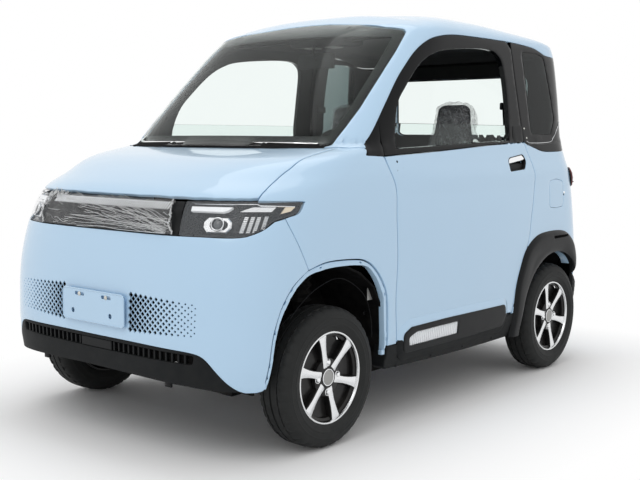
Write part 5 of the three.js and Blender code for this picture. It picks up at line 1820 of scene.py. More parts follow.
# ------------------------------------------------------------------------------ the front
@dataclass
class Front:
    """The perforated nose's bracket, the lower bumper, the grille bar and its film, and the washers."""

    slat_pitch: float = 0.0262
    slat_width: float = 0.0075
    tooth_pitch: float = 0.0118
    tooth_high: float = 0.883
    tooth_low: float = 0.857
    slot_high: float = 0.3815
    slot_low: float = 0.3460
    film_ease: float = 0.0035

    def build(self) -> None:
        """Makes every piece of the front."""
        self._bracket()
        self._lower_bumper()
        self._grille_bar()
        self._film()
        self._washers()

    @staticmethod
    def diamonds() -> list[Outline]:
        """The nose panel's diamond holes, which shrink towards the sides.

        Returns:
            The holes' outlines on both sides.
        """
        found = []
        for column in range(24):
            share = column / 23
            place = 0.190 + 0.01240 * column
            half = 0.0118 - 0.0080 * share
            rows = 5 if column % 2 else 6
            pitch = 0.0242 - 0.0035 * share
            for row in range(rows):
                found.append(diamond((place, 0.4975 + pitch * (row - (rows - 1) / 2)),
                                     half * (1.0 if share < 0.7 else 0.9)))
        return mirrored(found)

    def _bracket(self) -> None:
        """The bare number-plate bracket with its slots, holes and two bolts."""
        outline = rounded([(-0.177, 0.437), (0.177, 0.437), (0.177, 0.556), (-0.177, 0.556)], 0.020, 6)
        slots = [rounded([(x - 0.027, 0.5305), (x + 0.027, 0.5305), (x + 0.027, 0.5425), (x - 0.027, 0.5425)],
                         0.0058, 4)
                 for x in (-0.076, 0.076)]
        holes = [*slots,
                 *([(x + a, 0.472 + b) for a, b in circle((0.0, 0.0), 0.0092, 18)] for x in (-0.116, 0.098))]
        front_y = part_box("plate_bracket")[0][1]
        plate = flat_plate("number_plate_bracket", outline, holes, front_y, 0.0040, 0.0016)
        foot = [block("bracket_foot", (x - 0.014, front_y + 0.004, 0.490),
                      (x + 0.014, front_y + 0.014, 0.526), 0.002)
                for x in (-0.146, 0.146)]
        rim = tube("bracket_rim", [(x, front_y + 0.0006, z) for x, z in rounded(
            [(-0.1745, 0.4395), (0.1745, 0.4395), (0.1745, 0.5535), (-0.1745, 0.5535)], 0.018, 7)], 0.0026,
                   closed=True)
        bolts = [turned("bracket_bolt",
                        [(0, -0.0046), (0.0034, -0.0046), (0.0052, -0.0034), (0.0068, -0.0016),
                                         (0.0084, -0.0010), (0.0084, 0.0010), (0, 0.0010)],
                        (x, front_y, 0.5365), (0, 1, 0), 20) for x in (-0.076, 0.076)]
        whole = joined("number_plate_bracket", [plate, rim, *foot])
        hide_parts("plate_bracket")
        dress(whole, ROOT, "body_paint", PALETTE["body_paint"])
        dress(joined("bracket_bolts", bolts), ROOT, "chassis_steel", PALETTE["zinc"])

    def _lower_bumper(self) -> None:
        """The black lower bumper with its slatted slot."""
        seam = mm(through(Lines.BUMPER_SEAM, 4))
        foot = mm([(616, 261), (560, 264), (452, 270), (289, 275), (91, 278), (0, 278)])
        outline = halves(foot[::-1] + seam[::-1])
        slot = rounded([(-0.468, self.slot_low + 0.002), (0.0, self.slot_low), (0.468, self.slot_low + 0.002),
                        (0.474, self.slot_high - 0.002), (0.0, self.slot_high),
                        (-0.474, self.slot_high - 0.002)], 0.009, 4)
        bumper = Panel("lower_bumper", View.AROUND, outline, wall=0.014, gap=0.0008, edge=0.002, holes=[slot],
                       hole_edge=0.0035).build()
        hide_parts("lower_grille")
        floor = Panel("slot_floor", View.AROUND, [(a * 1.01, b) for a, b in slot], wall=0.004, height=-0.016,
                      edge=0.0005).build()
        slats = []
        half = self.slat_width / 2
        for k in range(22):
            at = 0.098 + self.slat_pitch * k
            if at > 0.462:
                break
            slats.append([(at - half, self.slot_low + 0.002), (at + half, self.slot_low + 0.002),
                          (at + half, self.slot_high - 0.0015), (at - half, self.slot_high - 0.0015)])
        bars = plates("bumper_slats", View.AROUND, mirrored(slats), -0.0155, 0.0125, 0.0012)
        blank = plates("bumper_blank", View.AROUND,
                       [[(-0.086, self.slot_low + 0.001), (0.0, self.slot_low + 0.001),
                                                      (0.086, self.slot_low + 0.001),
                         (0.086, self.slot_high - 0.001),
                                                      (-0.086, self.slot_high - 0.001)]],
                       -0.0155, 0.0145, 0.002)
        lugs = [block("bumper_lug", (x - 0.016, -1.236, 0.252), (x + 0.016, -1.226, 0.272),
                      0.003) for x in (-0.35, 0.35)]
        dress(bumper, ROOT, "black_plastic", PALETTE["black_plastic"], PALETTE["liner"])
        dress(floor, ROOT, "black_plastic", PALETTE["liner"], PALETTE["liner"])
        dress(joined("bumper_slats", [bars, blank, *lugs]), ROOT, "black_plastic", PALETTE["satin_black"])

    def _grille_bar(self) -> None:
        """The black bar between the lamps, with its strip of slanted light ribs."""
        half, low, high = 0.3795, 0.7735, 0.8875
        outline = [(-half, low), (half, low), (half, high), (-half, high)]

        def hollow(flat: np.ndarray) -> np.ndarray:
            """The bar's section: a ledge under the light strip and a scooped face below.

            Args:
                flat: Points of the drawing plane.
            Returns:
                The height at each point.
            """
            z = flat[:, 1]
            scoop = -0.010 * np.clip(np.sin((z - low) / (self.tooth_low - low) * np.pi), 0, 1)
            step = np.where(z > self.tooth_low - 0.001, -0.004, 0.0)
            return np.where(z < self.tooth_low - 0.001, scoop, step)

        bar = Panel("grille_bar_face", View.AROUND, outline, wall=0.016, edge=0.002, cell=0.009,
                    relief=hollow).build()
        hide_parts("grille_bar")
        dress(bar, ROOT, "gloss_black", PALETTE["satin_black"], PALETTE["liner"])
        lean, wide = 0.011, 0.0046
        teeth = []
        count = int(2 * 0.336 / self.tooth_pitch)
        for k in range(count):
            at = -0.336 + self.tooth_pitch * (k + 0.5)
            teeth.append([(at - lean / 2 - wide / 2, self.tooth_low),
                          (at - lean / 2 + wide / 2, self.tooth_low),
                          (at + lean / 2 + wide / 2, self.tooth_high),
                          (at + lean / 2 - wide / 2, self.tooth_high)])
        step = 0.0172
        starts = [-0.344 + step * k for k in range(40)]
        strips = [[(at, 0.8560), (at + step, 0.8560), (at + step, 0.8845), (at, 0.8845)] for at in starts]
        # The strip's floor behind the light ribs is painted shade, a dull black without shine.
        floor = plates("light_strip_floor", View.AROUND, strips, -0.0062, 0.0024, 0.00001)
        dress(floor, ROOT, "gloss_black", PALETTE["void"])
        ribs = plates("light_ribs", View.AROUND, teeth, -0.0045, 0.0050, 0.0009)
        dress(ribs, ROOT, "headlamp", PALETTE["white_light"])
        lid = plates("light_strip_sill", View.AROUND,
                     [[(-0.345, 0.8525), (0.345, 0.8525), (0.345, 0.8555), (-0.345, 0.8555)]], -0.006, 0.0062,
                     0.0008)
        dress(lid, ROOT, "gloss_black", PALETTE["gloss_black"])

    def _film(self) -> None:
        """The creased clear film that still wraps the grille bar."""
        knot = np.array([0.325, 0.800])

        def rays(flat: np.ndarray) -> np.ndarray:
            """Texture places whose creases run towards the knot.

            Args:
                flat: Points of the drawing plane.
            Returns:
                The texture places.
            """
            away = flat - knot
            spread = np.arctan2(away[:, 1] * 1.6, np.abs(away[:, 0]) + 0.05)
            return np.stack([np.linalg.norm(away, axis=1) * 1.3, spread * 0.42 + away[:, 1] * 0.5], 1)

        def ease(a: np.ndarray, b: np.ndarray) -> np.ndarray:
            """Height of the film, which stands off in folds and gathers at the knot.

            Args:
                a: Share of the way along the film.
                b: Share of the way across it.
            Returns:
                The height at each place.
            """
            folds = np.sin(b * 37 + 6 * np.sin(a * 5.0)) * np.sin(a * 9.0 + b * 4.0)
            puff = 0.006 * np.exp(-(((a - 0.93) / 0.07) ** 2 + ((b - 0.25) / 0.3) ** 2))
            return self.film_ease + 0.0022 * folds + puff + 0.003 * np.exp(-((a - 0.06) / 0.03) ** 2)

        corners = [(-0.366, 0.776), (0.362, 0.776), (0.330, 0.8885), (-0.386, 0.8885)]
        film = lattice_sheet("grille_film", View.AROUND, corners, (150, 34), ease, rays)
        # The area is read from the mesh, so the sheet test says nothing about stretch.
        near = self._film_edge("film_edge_left",
                               [(0.330, 0.8885), (0.334, 0.860), (0.341, 0.832), (0.338, 0.808),
                                (0.362, 0.776)])
        far = self._film_edge("film_edge_right",
                              [(-0.386, 0.8885), (-0.398, 0.850), (-0.402, 0.816), (-0.380, 0.792),
                                                  (-0.366, 0.776)])
        creases = self._creases()
        dress(film, ROOT, "glass", PALETTE["film"])

    @staticmethod
    def _creases() -> bpy.types.Object:
        """The film's sharp folds, as fine rolled strands of white that is partly painted highlight: a fan,
        slack waves, and a tuft above the bar.

        Returns:
            The strands as one piece.
        """
        chance = np.random.default_rng(7)
        lines, widths = [], []
        for _ in range(46):
            start = np.array([0.330 + chance.normal() * 0.010, 0.792 + chance.normal() * 0.016])
            reach = chance.uniform(0.06, 0.62)
            end = np.array([start[0] - reach,
                            np.clip(start[1] + chance.uniform(-0.012, 0.11) * min(1, reach / 0.2), 0.777,
                                    0.888)])
            lines.append((start, end, chance.uniform(0.001, 0.006)))
            widths.append(chance.uniform(0.00035, 0.0011))
        for _ in range(42):
            start = np.array([chance.uniform(-0.385, 0.330), chance.uniform(0.778, 0.886)])
            turn = chance.normal() * 0.35
            reach = chance.uniform(0.025, 0.14)
            end = start + reach * np.array([math.cos(turn), math.sin(turn) * 0.7])
            lines.append((start, np.clip(end, (-0.39, 0.777), (0.345, 0.888)), chance.uniform(0.001, 0.006)))
            widths.append(chance.uniform(0.0003, 0.0009))
        for _ in range(26):
            start = np.array([chance.uniform(-0.385, -0.255), chance.uniform(0.872, 0.887)])
            end = start + np.array([chance.normal() * 0.035, chance.uniform(-0.006, 0.018)])
            lines.append((start, end, chance.uniform(0.003, 0.010)))
            widths.append(chance.uniform(0.0006, 0.0016))
        strands = []
        for (start, end, sway), width in zip(lines, widths):
            share = np.linspace(0, 1, 13)
            way = start + (end - start) * share[:, None]
            phase = chance.uniform(0, 6.28)
            way[:, 1] += sway * np.sin(share * chance.uniform(3, 10) + phase)
            way[:, 1] = np.clip(way[:, 1], 0.776, 0.905)
            height = 0.0052 + 0.0030 * np.sin(share * 5 + phase) ** 2
            points = SURFACE.lift(View.AROUND, way, height)
            strands.append(tube("strand", [tuple(p) for p in points], width, 5))
        return dress(joined("film_creases", strands), ROOT, "glass", PALETTE["film_fold"])

    def _film_edge(self, name: str, line: Sequence[Point2]) -> bpy.types.Object:
        """A bunched edge of the film, rolled into a white crumpled rope, whose white is partly painted
        highlight.

        Args:
            name: The piece's name.
            line: Its way round the body.
        Returns:
            The rolled edge.
        """
        way = np.array(through(line, 9))
        turns = np.arange(len(way))
        way[:, 0] += 0.0028 * np.sin(turns * 1.9)
        points = SURFACE.lift(View.AROUND, way, 0.0045 + 0.002 * np.sin(turns * 1.3))
        roll = tube(name, [tuple(p) for p in points], 0.0028, 8)
        shape = np.array([v.co[:] for v in roll.data.vertices])
        shake = np.sin(shape @ np.array([931.0, 677.0, 1213.0])) * 0.0011
        roll.data.vertices.foreach_set("co", (shape + shake[:, None] * np.array([1.0, 0.3, 0.6])).ravel())
        return dress(roll, ROOT, "glass", PALETTE["film_fold"])

    def _washers(self) -> None:
        """The two washer nozzles at the foot of the windscreen."""
        nozzles = []
        for x in (-0.256, 0.256):
            base = SURFACE.lift(View.TOP, np.array([[x, -0.660]]), 0.0005)[0]
            nozzles.append(turned("washer",
                                  [(0, 0.0), (0.011, 0.0), (0.011, 0.003), (0.008, 0.006), (0.0045, 0.008),
                                   (0, 0.0085)], tuple(base), (0, -0.35, 1), 20))
        dress(joined("washer_nozzles", nozzles), "bonnet", "black_plastic", PALETTE["satin_black"])


def flat_plate(name: str, outline: Sequence[Point2], holes: Sequence[Sequence[Point2]], front: float,
               wall: float, edge: float) -> bpy.types.Object:
    """A flat upright plate that faces forward, with holes and softened edges.

    Args:
        name: The object's name.
        outline: Its outline as [x, z].
        holes: Outlines of its holes.
        front: The Y of its face.
        wall: Its thickness.
        edge: Width of the chamfer round its face.
    Returns:
        The plate.
    """
    rings = [np.asarray(cleaned(outline), float)] + [np.asarray(cleaned(h), float) for h in holes]
    points, edges = [], []
    for k, ring in enumerate(rings):
        start = len(points)
        inner = offset(ring, edge if k == 0 else -edge * 0.5)
        points += [tuple(p) for p in inner]
        edges += [(start + n, start + (n + 1) % len(ring)) for n in range(len(ring))]
    made, _, faces, _, _, _ = delaunay_2d_cdt([Vector(p) for p in points], edges, [], 0, 1e-7)
    flat = np.array([tuple(p) for p in made])
    middle = flat[np.array([f[:3] for f in faces])].mean(1)
    keep = inside(middle, offset(rings[0], edge))
    for ring in rings[1:]:
        keep &= ~inside(middle, offset(ring, -edge * 0.5))
    corners = [(x, front, z) for x, z in flat]
    count = len(corners)
    polygons = [tuple(f) for f, k in zip(faces, keep) if k]
    corners += [(x, front + wall, z) for x, z in flat]
    polygons += [tuple(i + count for i in reversed(f)) for f, k in zip(faces, keep) if k]
    at = 0
    for k, ring in enumerate(rings):
        size = len(ring)
        first = len(corners)
        corners += [(x, front + edge, z) for x, z in ring]
        for n in range(size):
            m = (n + 1) % size
            polygons.append((at + n, at + m, first + m, first + n))
            polygons.append((first + n, first + m, at + m + count, at + n + count))
        at += size
    return smooth(outward(from_data(name, corners, polygons)), 30)


# ------------------------------------------------------------------------------ headlamps
@dataclass
class Headlamp:
    """The left headlamp, in millimetres round the body; the right one is its mirror image."""

    rim: float = 0.0015

    def outline(self) -> Outline:
        """The lamp's outline, drawn round the body.

        Returns:
            The closed outline.
        """
        foot = space_line(Lines.LAMP_FOOT)
        head = space_line(Lines.LAMP_HEAD)
        return foot + head[1:]

    def build(self) -> None:
        """Makes both lamps."""
        outline = self.outline()
        lens = Panel("lamp_lens", View.AROUND, outline, wall=0.0025, gap=0.0012, edge=0.0012,
                     cell=0.016).build()
        pair(lens, "lamp_lens", "headlamp", "clear_lens", "clear_lens")
        self._bowl(outline)
        self._light_bars()
        self._projector()
        self._reflectors()

    def _bowl(self, outline: Outline) -> None:
        """The black housing behind the lens, with its dark outline.

        Args:
            outline: The lamp's outline.
        """
        inner = [tuple(p) for p in offset(cleaned(outline), 0.006)]

        def bowl(flat: np.ndarray) -> np.ndarray:
            """Depth of the housing: shallow at its rim and deep in the middle."""
            away = nearest_edge(flat, np.array(inner))
            return -0.034 * np.clip(away / 0.016, 0, 1) ** 0.7

        housing = Panel("lamp_housing", View.AROUND, outline, wall=0.046, gap=0.0015, edge=0.0005, cell=0.009,
                        height=-0.0035, relief=bowl).build()
        pair(housing, "lamp_housing", "headlamp", "gloss_black", "satin_black", node="headlamp")
        ring = cleaned(inner)
        trim_path = SURFACE.lift(View.AROUND, np.array(spaced(ring, 0.006)), -0.0048)
        trim = tube("lamp_outline", [tuple(p) for p in trim_path], 0.0009, 6, closed=True)
        pair(trim, "lamp_outline", "headlamp", "satin_black")

    def _light_bars(self) -> None:
        """The white daylight bar, the thin bar outside it and the line along the top."""
        bars = mm_all([[(412, 858), (536, 858), (552, 863), (566, 874), (412, 874)],
                       [(594, 859), (612, 866), (636, 873), (716, 872), (702, 859)]])
        first = plates("daylight_bar", View.AROUND, bars[:1], -0.020, 0.014, 0.0012)
        pair(first, "daylight_bar", "headlamp", "white_light")
        second = plates("side_bar", View.AROUND, bars[1:], -0.020, 0.013, 0.0012)
        pair(second, "side_bar", "headlamp", "alloy")
        line = [(406 + 12 * k, 883.5 - 0.00008 * (12 * k) ** 2 * (k > 20)) for k in range(33)]
        path = SURFACE.lift(View.AROUND, np.array(mm(line)), -0.007)
        top = tube("lamp_brow", [tuple(p) for p in path], 0.0022, 6)
        pair(top, "lamp_brow", "headlamp", "alloy")

    def _projector(self) -> None:
        """The honeycomb block, the upright beside it and the projector in its octagonal frame."""
        cells = []
        for column in range(7):
            for row in range(6):
                a = 396 + 10.4 * column
                b = 786 + 10.4 * row + (5.2 if column % 2 else 0)
                if a > 458 or b > 846:
                    continue
                cells.append([(a + 5.2 * math.cos(t), b + 5.2 * math.sin(t)) for t in
                              (math.radians(60 * k) for k in range(6))])
        honey = plates("lamp_honeycomb", View.AROUND, mm_all(cells), -0.036, 0.016, 0.0022)
        pair(honey, "lamp_honeycomb", "headlamp", "satin_black")
        cx, cz = 0.519, 0.8195
        middle = SURFACE.lift(View.AROUND, np.array([[cx, cz]]), -0.030)[0]
        out = SURFACE.lift(View.AROUND, np.array([[cx, cz]]), 0.0)[0] - middle
        out = Vector(out).normalized()
        frame_line = [(cx + 0.001 * a, cz + 0.001 * b) for a, b in
                      ((-56, -12), (-42, -29), (32, -29), (49, -11), (49, 10), (33, 26), (-38, 26), (-56, 9))]
        rim = plates("projector_frame", View.AROUND, [frame_line], -0.034, 0.016, 0.004)
        inside_line = [(cx + 0.001 * a, cz + 0.001 * b) for a, b in
                       ((-30, -7), (-21, -17), (23, -17), (35, -6), (35, 5), (24, 14), (-20, 14), (-30, 6))]
        # The well inside the projector's frame is painted shade, a dull black without shine.
        well = plates("projector_well", View.AROUND, [inside_line], -0.034, 0.0172, 0.0008)
        pair(well, "projector_well", "headlamp", "void")
        hollow_ring = turned("projector_ring",
                             [(0.0225, -0.012), (0.0245, 0.006), (0.0235, 0.010), (0.0215, 0.0115),
                                                (0.0195, 0.010), (0.0190, 0.004), (0.0190, -0.012),
                              (0.0225, -0.012)],
                             tuple(middle + np.array(out) * 0.010), tuple(out), 40)
        pair(joined("projector_frame", [rim, hollow_ring]), "projector_frame", "headlamp", "alloy")
        lens = turned("projector_lens",
                      [(0, 0.010), (0.006, 0.0093), (0.012, 0.0068), (0.0165, 0.0025), (0.0188, -0.003),
                                         (0.0188, -0.008), (0, -0.008)],
                      tuple(middle + np.array(out) * 0.012), tuple(out), 32)
        pair(lens, "projector_lens", "headlamp", "dark_lens")

    def _reflectors(self) -> None:
        """Four slanted ribbed mirrors and the side reflector."""
        starts = ((598, 790, 846), (621, 790, 846), (643, 791, 845), (672, 800, 846))
        for number, (start, low, high) in enumerate(starts):
            ribs = []
            steps = 9
            for k in range(steps):
                z0 = low + (high - low) * k / steps
                z1 = low + (high - low) * (k + 0.86) / steps
                lean = 13.5 / (846 - 790)
                a0, a1 = start + lean * (z0 - low), start + lean * (z1 - low)
                ribs.append([(a0, z0), (a0 + 14.5, z0), (a1 + 14.5, z1), (a1, z1)])
            mirror = plates(f"lamp_mirror_{number}", View.AROUND, mm_all(ribs), -0.034, 0.022, 0.0016)
            pair(mirror, f"lamp_mirror_{number}", "headlamp", "alloy")
        side = plates("side_reflector", View.AROUND,
                      mm_all([[(738, 850), (777, 857), (793, 871), (752, 872)]]), -0.018, 0.012, 0.0015)
        pair(side, "side_reflector", "headlamp", "amber_pale")


def mm_all(outlines: Sequence[Sequence[Point2]]) -> list[Outline]:
    """Turns several outlines from millimetres to metres."""
    return [mm(line) for line in outlines]
# ------------------------------------------------------------------------------ the sides
def circle(centre: Point2, radius: float, sides: int = 12) -> Outline:
    """A round outline in metres.

    Args:
        centre: Its middle.
        radius: Its radius.
        sides: Number of its sides.
    Returns:
        The outline's points.
    """
    return [(centre[0] + radius * math.cos(2 * math.pi * k / sides),
             centre[1] + radius * math.sin(2 * math.pi * k / sides))
            for k in range(sides)]


def inset(outline: Sequence[Point2], distance: float) -> Outline:
    """A closed outline moved inward by a distance, or outward if it is negative."""
    return [tuple(p) for p in offset(cleaned(outline), distance)]


def wire_on(name: str, view: View, line: Sequence[Point2], radius: float, height: float, sides: int = 8,
            closed: bool = False) -> bpy.types.Object:
    """A round bead that follows a line on the body surface.

    Args:
        name: The object's name.
        view: The plane that the line is drawn on.
        line: The line's points.
        radius: The bead's radius.
        height: How far its middle stands off the surface.
        sides: Number of sides of its section.
        closed: Whether the line closes on itself.
    Returns:
        The bead.
    """
    if view is View.SIDE:
        points = SURFACE.lift(view, np.asarray(line, float), 0.0) + (height, 0.0, 0.0)
        return tube(name, [tuple(p) for p in points], radius, sides, closed)
    return tube(name, [tuple(p) for p in SURFACE.lift(view, np.asarray(line, float), height)], radius, sides,
                closed)


def buttons(name: str, view: View, places: Sequence[Point2], profile: Sequence[Point2], sides: int = 16,
            height: float = 0.0) -> bpy.types.Object:
    """Small turned heads, such as bolts, that stand square on the body surface.

    Args:
        name: The object's name.
        view: The drawing plane of the places.
        places: Where their middles are, in metres.
        profile: Their section as [radius, distance outwards].
        sides: Steps round each.
        height: How far their feet stand above the surface.
    Returns:
        One object with all of them.
    """
    feet = SURFACE.lift(view, np.array(places), height)
    tips = SURFACE.lift(view, np.array(places), height + 0.01)
    return joined(name,
                  [turned(name, profile, tuple(foot), tuple(tip - foot), sides) for foot,
                   tip in zip(feet, tips)])


BOLT_HEAD = ((0, 0.0042), (0.0034, 0.0042), (0.0050, 0.0030), (0.0056, 0.0012), (0.0078, 0.0008),
             (0.0078, -0.0010), (0, -0.0010))


@dataclass
class ArchFlange:
    """The painted flange that the missing front flare leaves bare, with its clip slots."""

    seam: float = 0.0042
    sunk: float = 0.0050
    depth: float = 0.024
    slot_length: float = 0.013
    slot_width: float = 0.0052
    slots: tuple = ((-841, 656), (-621, 654), (-984, 591), (-1012, 552), (-1051, 455), (-1069, 345),
                    (-1074, 305), (-471, 521), (-454, 347))

    def build(self) -> None:
        """Makes the flange, its rear foot and the grey tab inside it."""
        outer = [self._inward(p) for p in Lines.FRONT_ARCH]
        band = side_line(outer) + side_line(Lines.FRONT_RIDGE)[::-1]
        holes = [self._slot(place) for place in self.slots]

        def pads(flat: np.ndarray) -> np.ndarray:
            """The pressed pads round the slots, which stand a little proud.

            Args:
                flat: Points of the drawing plane.
            Returns:
                The height at each point.
            """
            near = np.min(np.linalg.norm(flat[:, None] - np.array([np.mean(h, 0) for h in holes])[None],
                                         axis=2), axis=1)
            return np.where(near < 0.024, 0.0018, 0.0)

        flange = Panel("arch_flange", View.AROUND, band, wall=self.depth, edge=0.0016, cell=0.010,
                       height=-self.sunk, holes=holes, hole_edge=0.0005, relief=pads).build()
        pair(flange, "arch_flange", "body_paint", "body_paint", "inner_paint")
        foot = block("arch_foot", (0.672, -0.472, 0.287), (0.690, -0.452, 0.306), 0.003)
        pair(foot, "arch_foot", "body_paint", "body_paint")
        tab = block("wheelhouse_tab", (0.652, -0.518, 0.498), (0.655, -0.474, 0.545), 0.0012)
        pair(tab, "wheelhouse_tab", "black_plastic", "cap_grey")
        seam = [(y + 27, z) for y,
                z in ((-992, 489), (-953, 525), (-896, 563), (-840, 587), (-771, 604), (-716, 599),
                                         (-660, 575), (-610, 542), (-580, 510), (-561, 475), (-545, 420),
                      (-538, 360))]
        welt = wire_on("liner_welt", View.SIDE, mm(through(seam, 5)), 0.0014, -0.028)
        pair(welt, "liner_welt", "black_plastic", "satin_black")

    def _inward(self, point: Point2) -> Point2:
        """A point of the arch, in millimetres, moved to the flange's own edge.

        Args:
            point: The point to move.
        Returns:
            The moved point, in millimetres.
        """
        centre = np.array([-765.0, 400.0])
        away = np.array(point) - centre
        return tuple(centre + away * (1 - self.seam * 1000 / np.linalg.norm(away)))

    def _slot(self, place: Point2) -> Outline:
        """The outline of one clip slot, which lies along the arch.

        Args:
            place: The slot's middle, in millimetres from the side.
        Returns:
            The closed outline, drawn round the body.
        """
        away = np.array(place) - np.array([-765.0, 400.0])
        along = np.array([-away[1], away[0]]) / np.linalg.norm(away)
        if abs(away[1]) < 90:
            along = np.array([0.0, 1.0])
        across = np.array([along[1], -along[0]])
        a, b = along * self.slot_length * 500, across * self.slot_width * 500
        corners = [tuple(np.array(place) + d) for d in (-a - b, a - b, a + b, -a + b)]
        return SURFACE.redrawn(mm(corners), View.SIDE, View.AROUND)


@dataclass
class DoorHandle:
    """The recessed outer handle of a door: a black-edged tub with a bright paddle over its upper half."""

    ring: float = 0.0035
    depth: float = 0.030

    @staticmethod
    def recess() -> Outline:
        """The outline of the recess from the side."""
        return mm(rounded([(457, 958), (459, 1018), (610, 1035), (622, 1000), (597, 966)],
                          [12, 34, 26, 20, 22], 7))

    def build(self) -> None:
        """Makes the ring, the tub and the paddle of both doors."""
        recess = self.recess()
        ring = Panel("handle_ring", View.SIDE, recess, wall=0.022, gap=0.0004, edge=0.0014, cell=0.012,
                     height=0.0008, holes=[inset(recess, self.ring)], hole_edge=0.0014).build()
        pair(ring, "handle_ring", "gloss_black", "satin_black", "satin_black", body="door")

        def hollow(flat: np.ndarray) -> np.ndarray:
            """The tub's floor, which comes up towards its lower lip."""
            low = 0.958 + (flat[:, 0] - 0.457) * 0.055
            return 0.016 * np.clip(1 - (flat[:, 1] - low) / 0.022, 0, 1) ** 1.5

        tub = Panel("handle_tub", View.SIDE, inset(recess, 0.0005), wall=0.003, edge=0.0008, cell=0.006,
                    height=-self.depth, relief=hollow).build()
        pair(tub, "handle_tub", "black_plastic", "satin_black", "satin_black", body="door")
        paddle_line = mm(rounded([(462.5, 991), (475, 1015), (506, 1024), (594, 1031.5), (610, 1019),
                                  (614, 1006.5)],
                                 [3, 14, 22, 12, 10, 3], 5))

        def crown(flat: np.ndarray) -> np.ndarray:
            """The paddle's rounded face, which rolls in at its grip edge."""
            edge = 0.991 + (flat[:, 0] - 0.4625) * 0.102
            return -0.006 * np.clip(1 - (flat[:, 1] - edge) / 0.008, 0, 1) ** 2

        paddle = Panel("handle_paddle", View.SIDE, paddle_line, wall=0.010, edge=0.0022, cell=0.006,
                       height=-0.0012, relief=crown).build()
        pair(paddle, "handle_paddle", "alloy", "chrome", "satin_black", body="door")


@dataclass
class DoorPlate:
    """The black plate low on a door, with its ribbed light strip and the pressed lip round it."""

    proud: float = 0.0115
    lip: float = 0.030
    ribs: int = 26

    @staticmethod
    def outline() -> Outline:
        """The plate's outline from the side.

        Returns:
            The closed outline.
        """
        return mm(rounded([(-352, 274), (-358, 352), (-308, 375), (-58, 378), (418, 374), (428, 320),
                           (404, 276), (60, 272)],
                          [34, 26, 40, 100, 24, 30, 26, 200], 6))

    @staticmethod
    def light() -> Outline:
        """The light strip's outline from the side."""
        return mm(rounded([(-312, 299), (-322, 334), (-270, 351), (-160, 353), (27, 353), (29, 299)],
                          [6, 14, 30, 40, 5, 5], 5))

    def build(self) -> None:
        """Makes the plate, the lip, the light strip and its cover on both doors."""
        outline, light = self.outline(), self.light()
        plate = Panel("door_plate", View.SIDE, outline, wall=0.020, edge=0.0045, cell=0.014,
                      height=self.proud, holes=[light], hole_edge=0.0012).build()
        pair(plate, "door_plate", "black_plastic", "satin_black", "liner", node="door_plate", body="door")
        border = inset(outline, -self.lip)

        def flare(flat: np.ndarray) -> np.ndarray:
            """The pressing swells towards the plate, with a crisp root."""
            away = nearest_edge(flat, np.array(outline))
            return 0.0085 * (1 - np.clip(away / self.lip, 0, 1)) ** 0.9

        lip = Panel("plate_lip", View.SIDE, border, wall=0.004, edge=0.0002, cell=0.012, height=0.0004,
                    holes=[inset(outline, 0.002)], hole_edge=0.0008, relief=flare).build()
        for face in lip.data.polygons:
            if face.center.z < 0.3290:
                face.material_index = 2
        pair(lip, "plate_lip", "body_paint", "body_paint", "inner_paint", "black_plastic", body="door")
        bed = Panel("strip_bed", View.SIDE, inset(light, -0.001), wall=0.003, edge=0.0004, cell=0.02,
                    height=self.proud - 0.010).build()
        pair(bed, "strip_bed", "black_plastic", "cap_grey", "liner", body="door")
        pitch = 0.345 / self.ribs
        ribs = []
        for k in range(self.ribs):
            at = -0.316 + pitch * (k + 0.5)
            top = 0.3495 - 0.0165 * max(0.0, (-0.262 - at) / 0.056) ** 1.6
            ribs.append([(at - 0.0032, 0.3015), (at + 0.0032, 0.3015), (at + 0.0032, top),
                         (at - 0.0032, top)])
        bars = plates("strip_ribs", View.SIDE, ribs, self.proud - 0.0098, 0.0062, 0.0008)
        pair(bars, "strip_ribs", "headlamp", "white_light", body="door")
        cover = Panel("strip_cover", View.SIDE, light, wall=0.0015, gap=0.0006, edge=0.0008, cell=0.02,
                      height=self.proud - 0.0012).build()
        pair(cover, "strip_cover", "headlamp", "clear_lens", "clear_lens", body="door")


@dataclass
class Sill:
    """The black sill below a door, with its return under the floor."""

    def build(self) -> None:
        """Makes both sills."""
        outline = mm(through([(-448, 317.5), (-250, 317.5), (100, 317.5), (400, 317.5), (584, 317.5)], 2)
                     + [(584, 208)] + through([(490, 208), (300, 206), (97, 207), (-200, 214), (-428, 224)],
                                              3) + [(-446, 236)])

        def section(flat: np.ndarray) -> np.ndarray:
            """The sill's section: a swelling under a crease, rolled in at its foot.

            Args:
                flat: Points of the drawing plane.
            Returns:
                The height at each point.
            """
            z = flat[:, 1]
            return (0.004 * np.clip((z - 0.262) / 0.01, 0, 1) - 0.012 * np.clip((0.236 - z) / 0.030, 0,
                                                                                1) ** 1.5
                    - 0.004)

        skin = Panel("sill_skin", View.SIDE, outline, wall=0.060, edge=0.005, cell=0.012,
                     relief=section).build()
        pair(skin, "sill_skin", "black_plastic", "black_plastic", "liner", node="sill")
        bolts = [(y, 0.2255) for y in (-0.36, -0.12, 0.12, 0.36)]
        heads = buttons("sill_bolts", View.SIDE, bolts, BOLT_HEAD, 12, -0.007)
        pair(heads, "sill_bolts", "black_plastic", "satin_black")


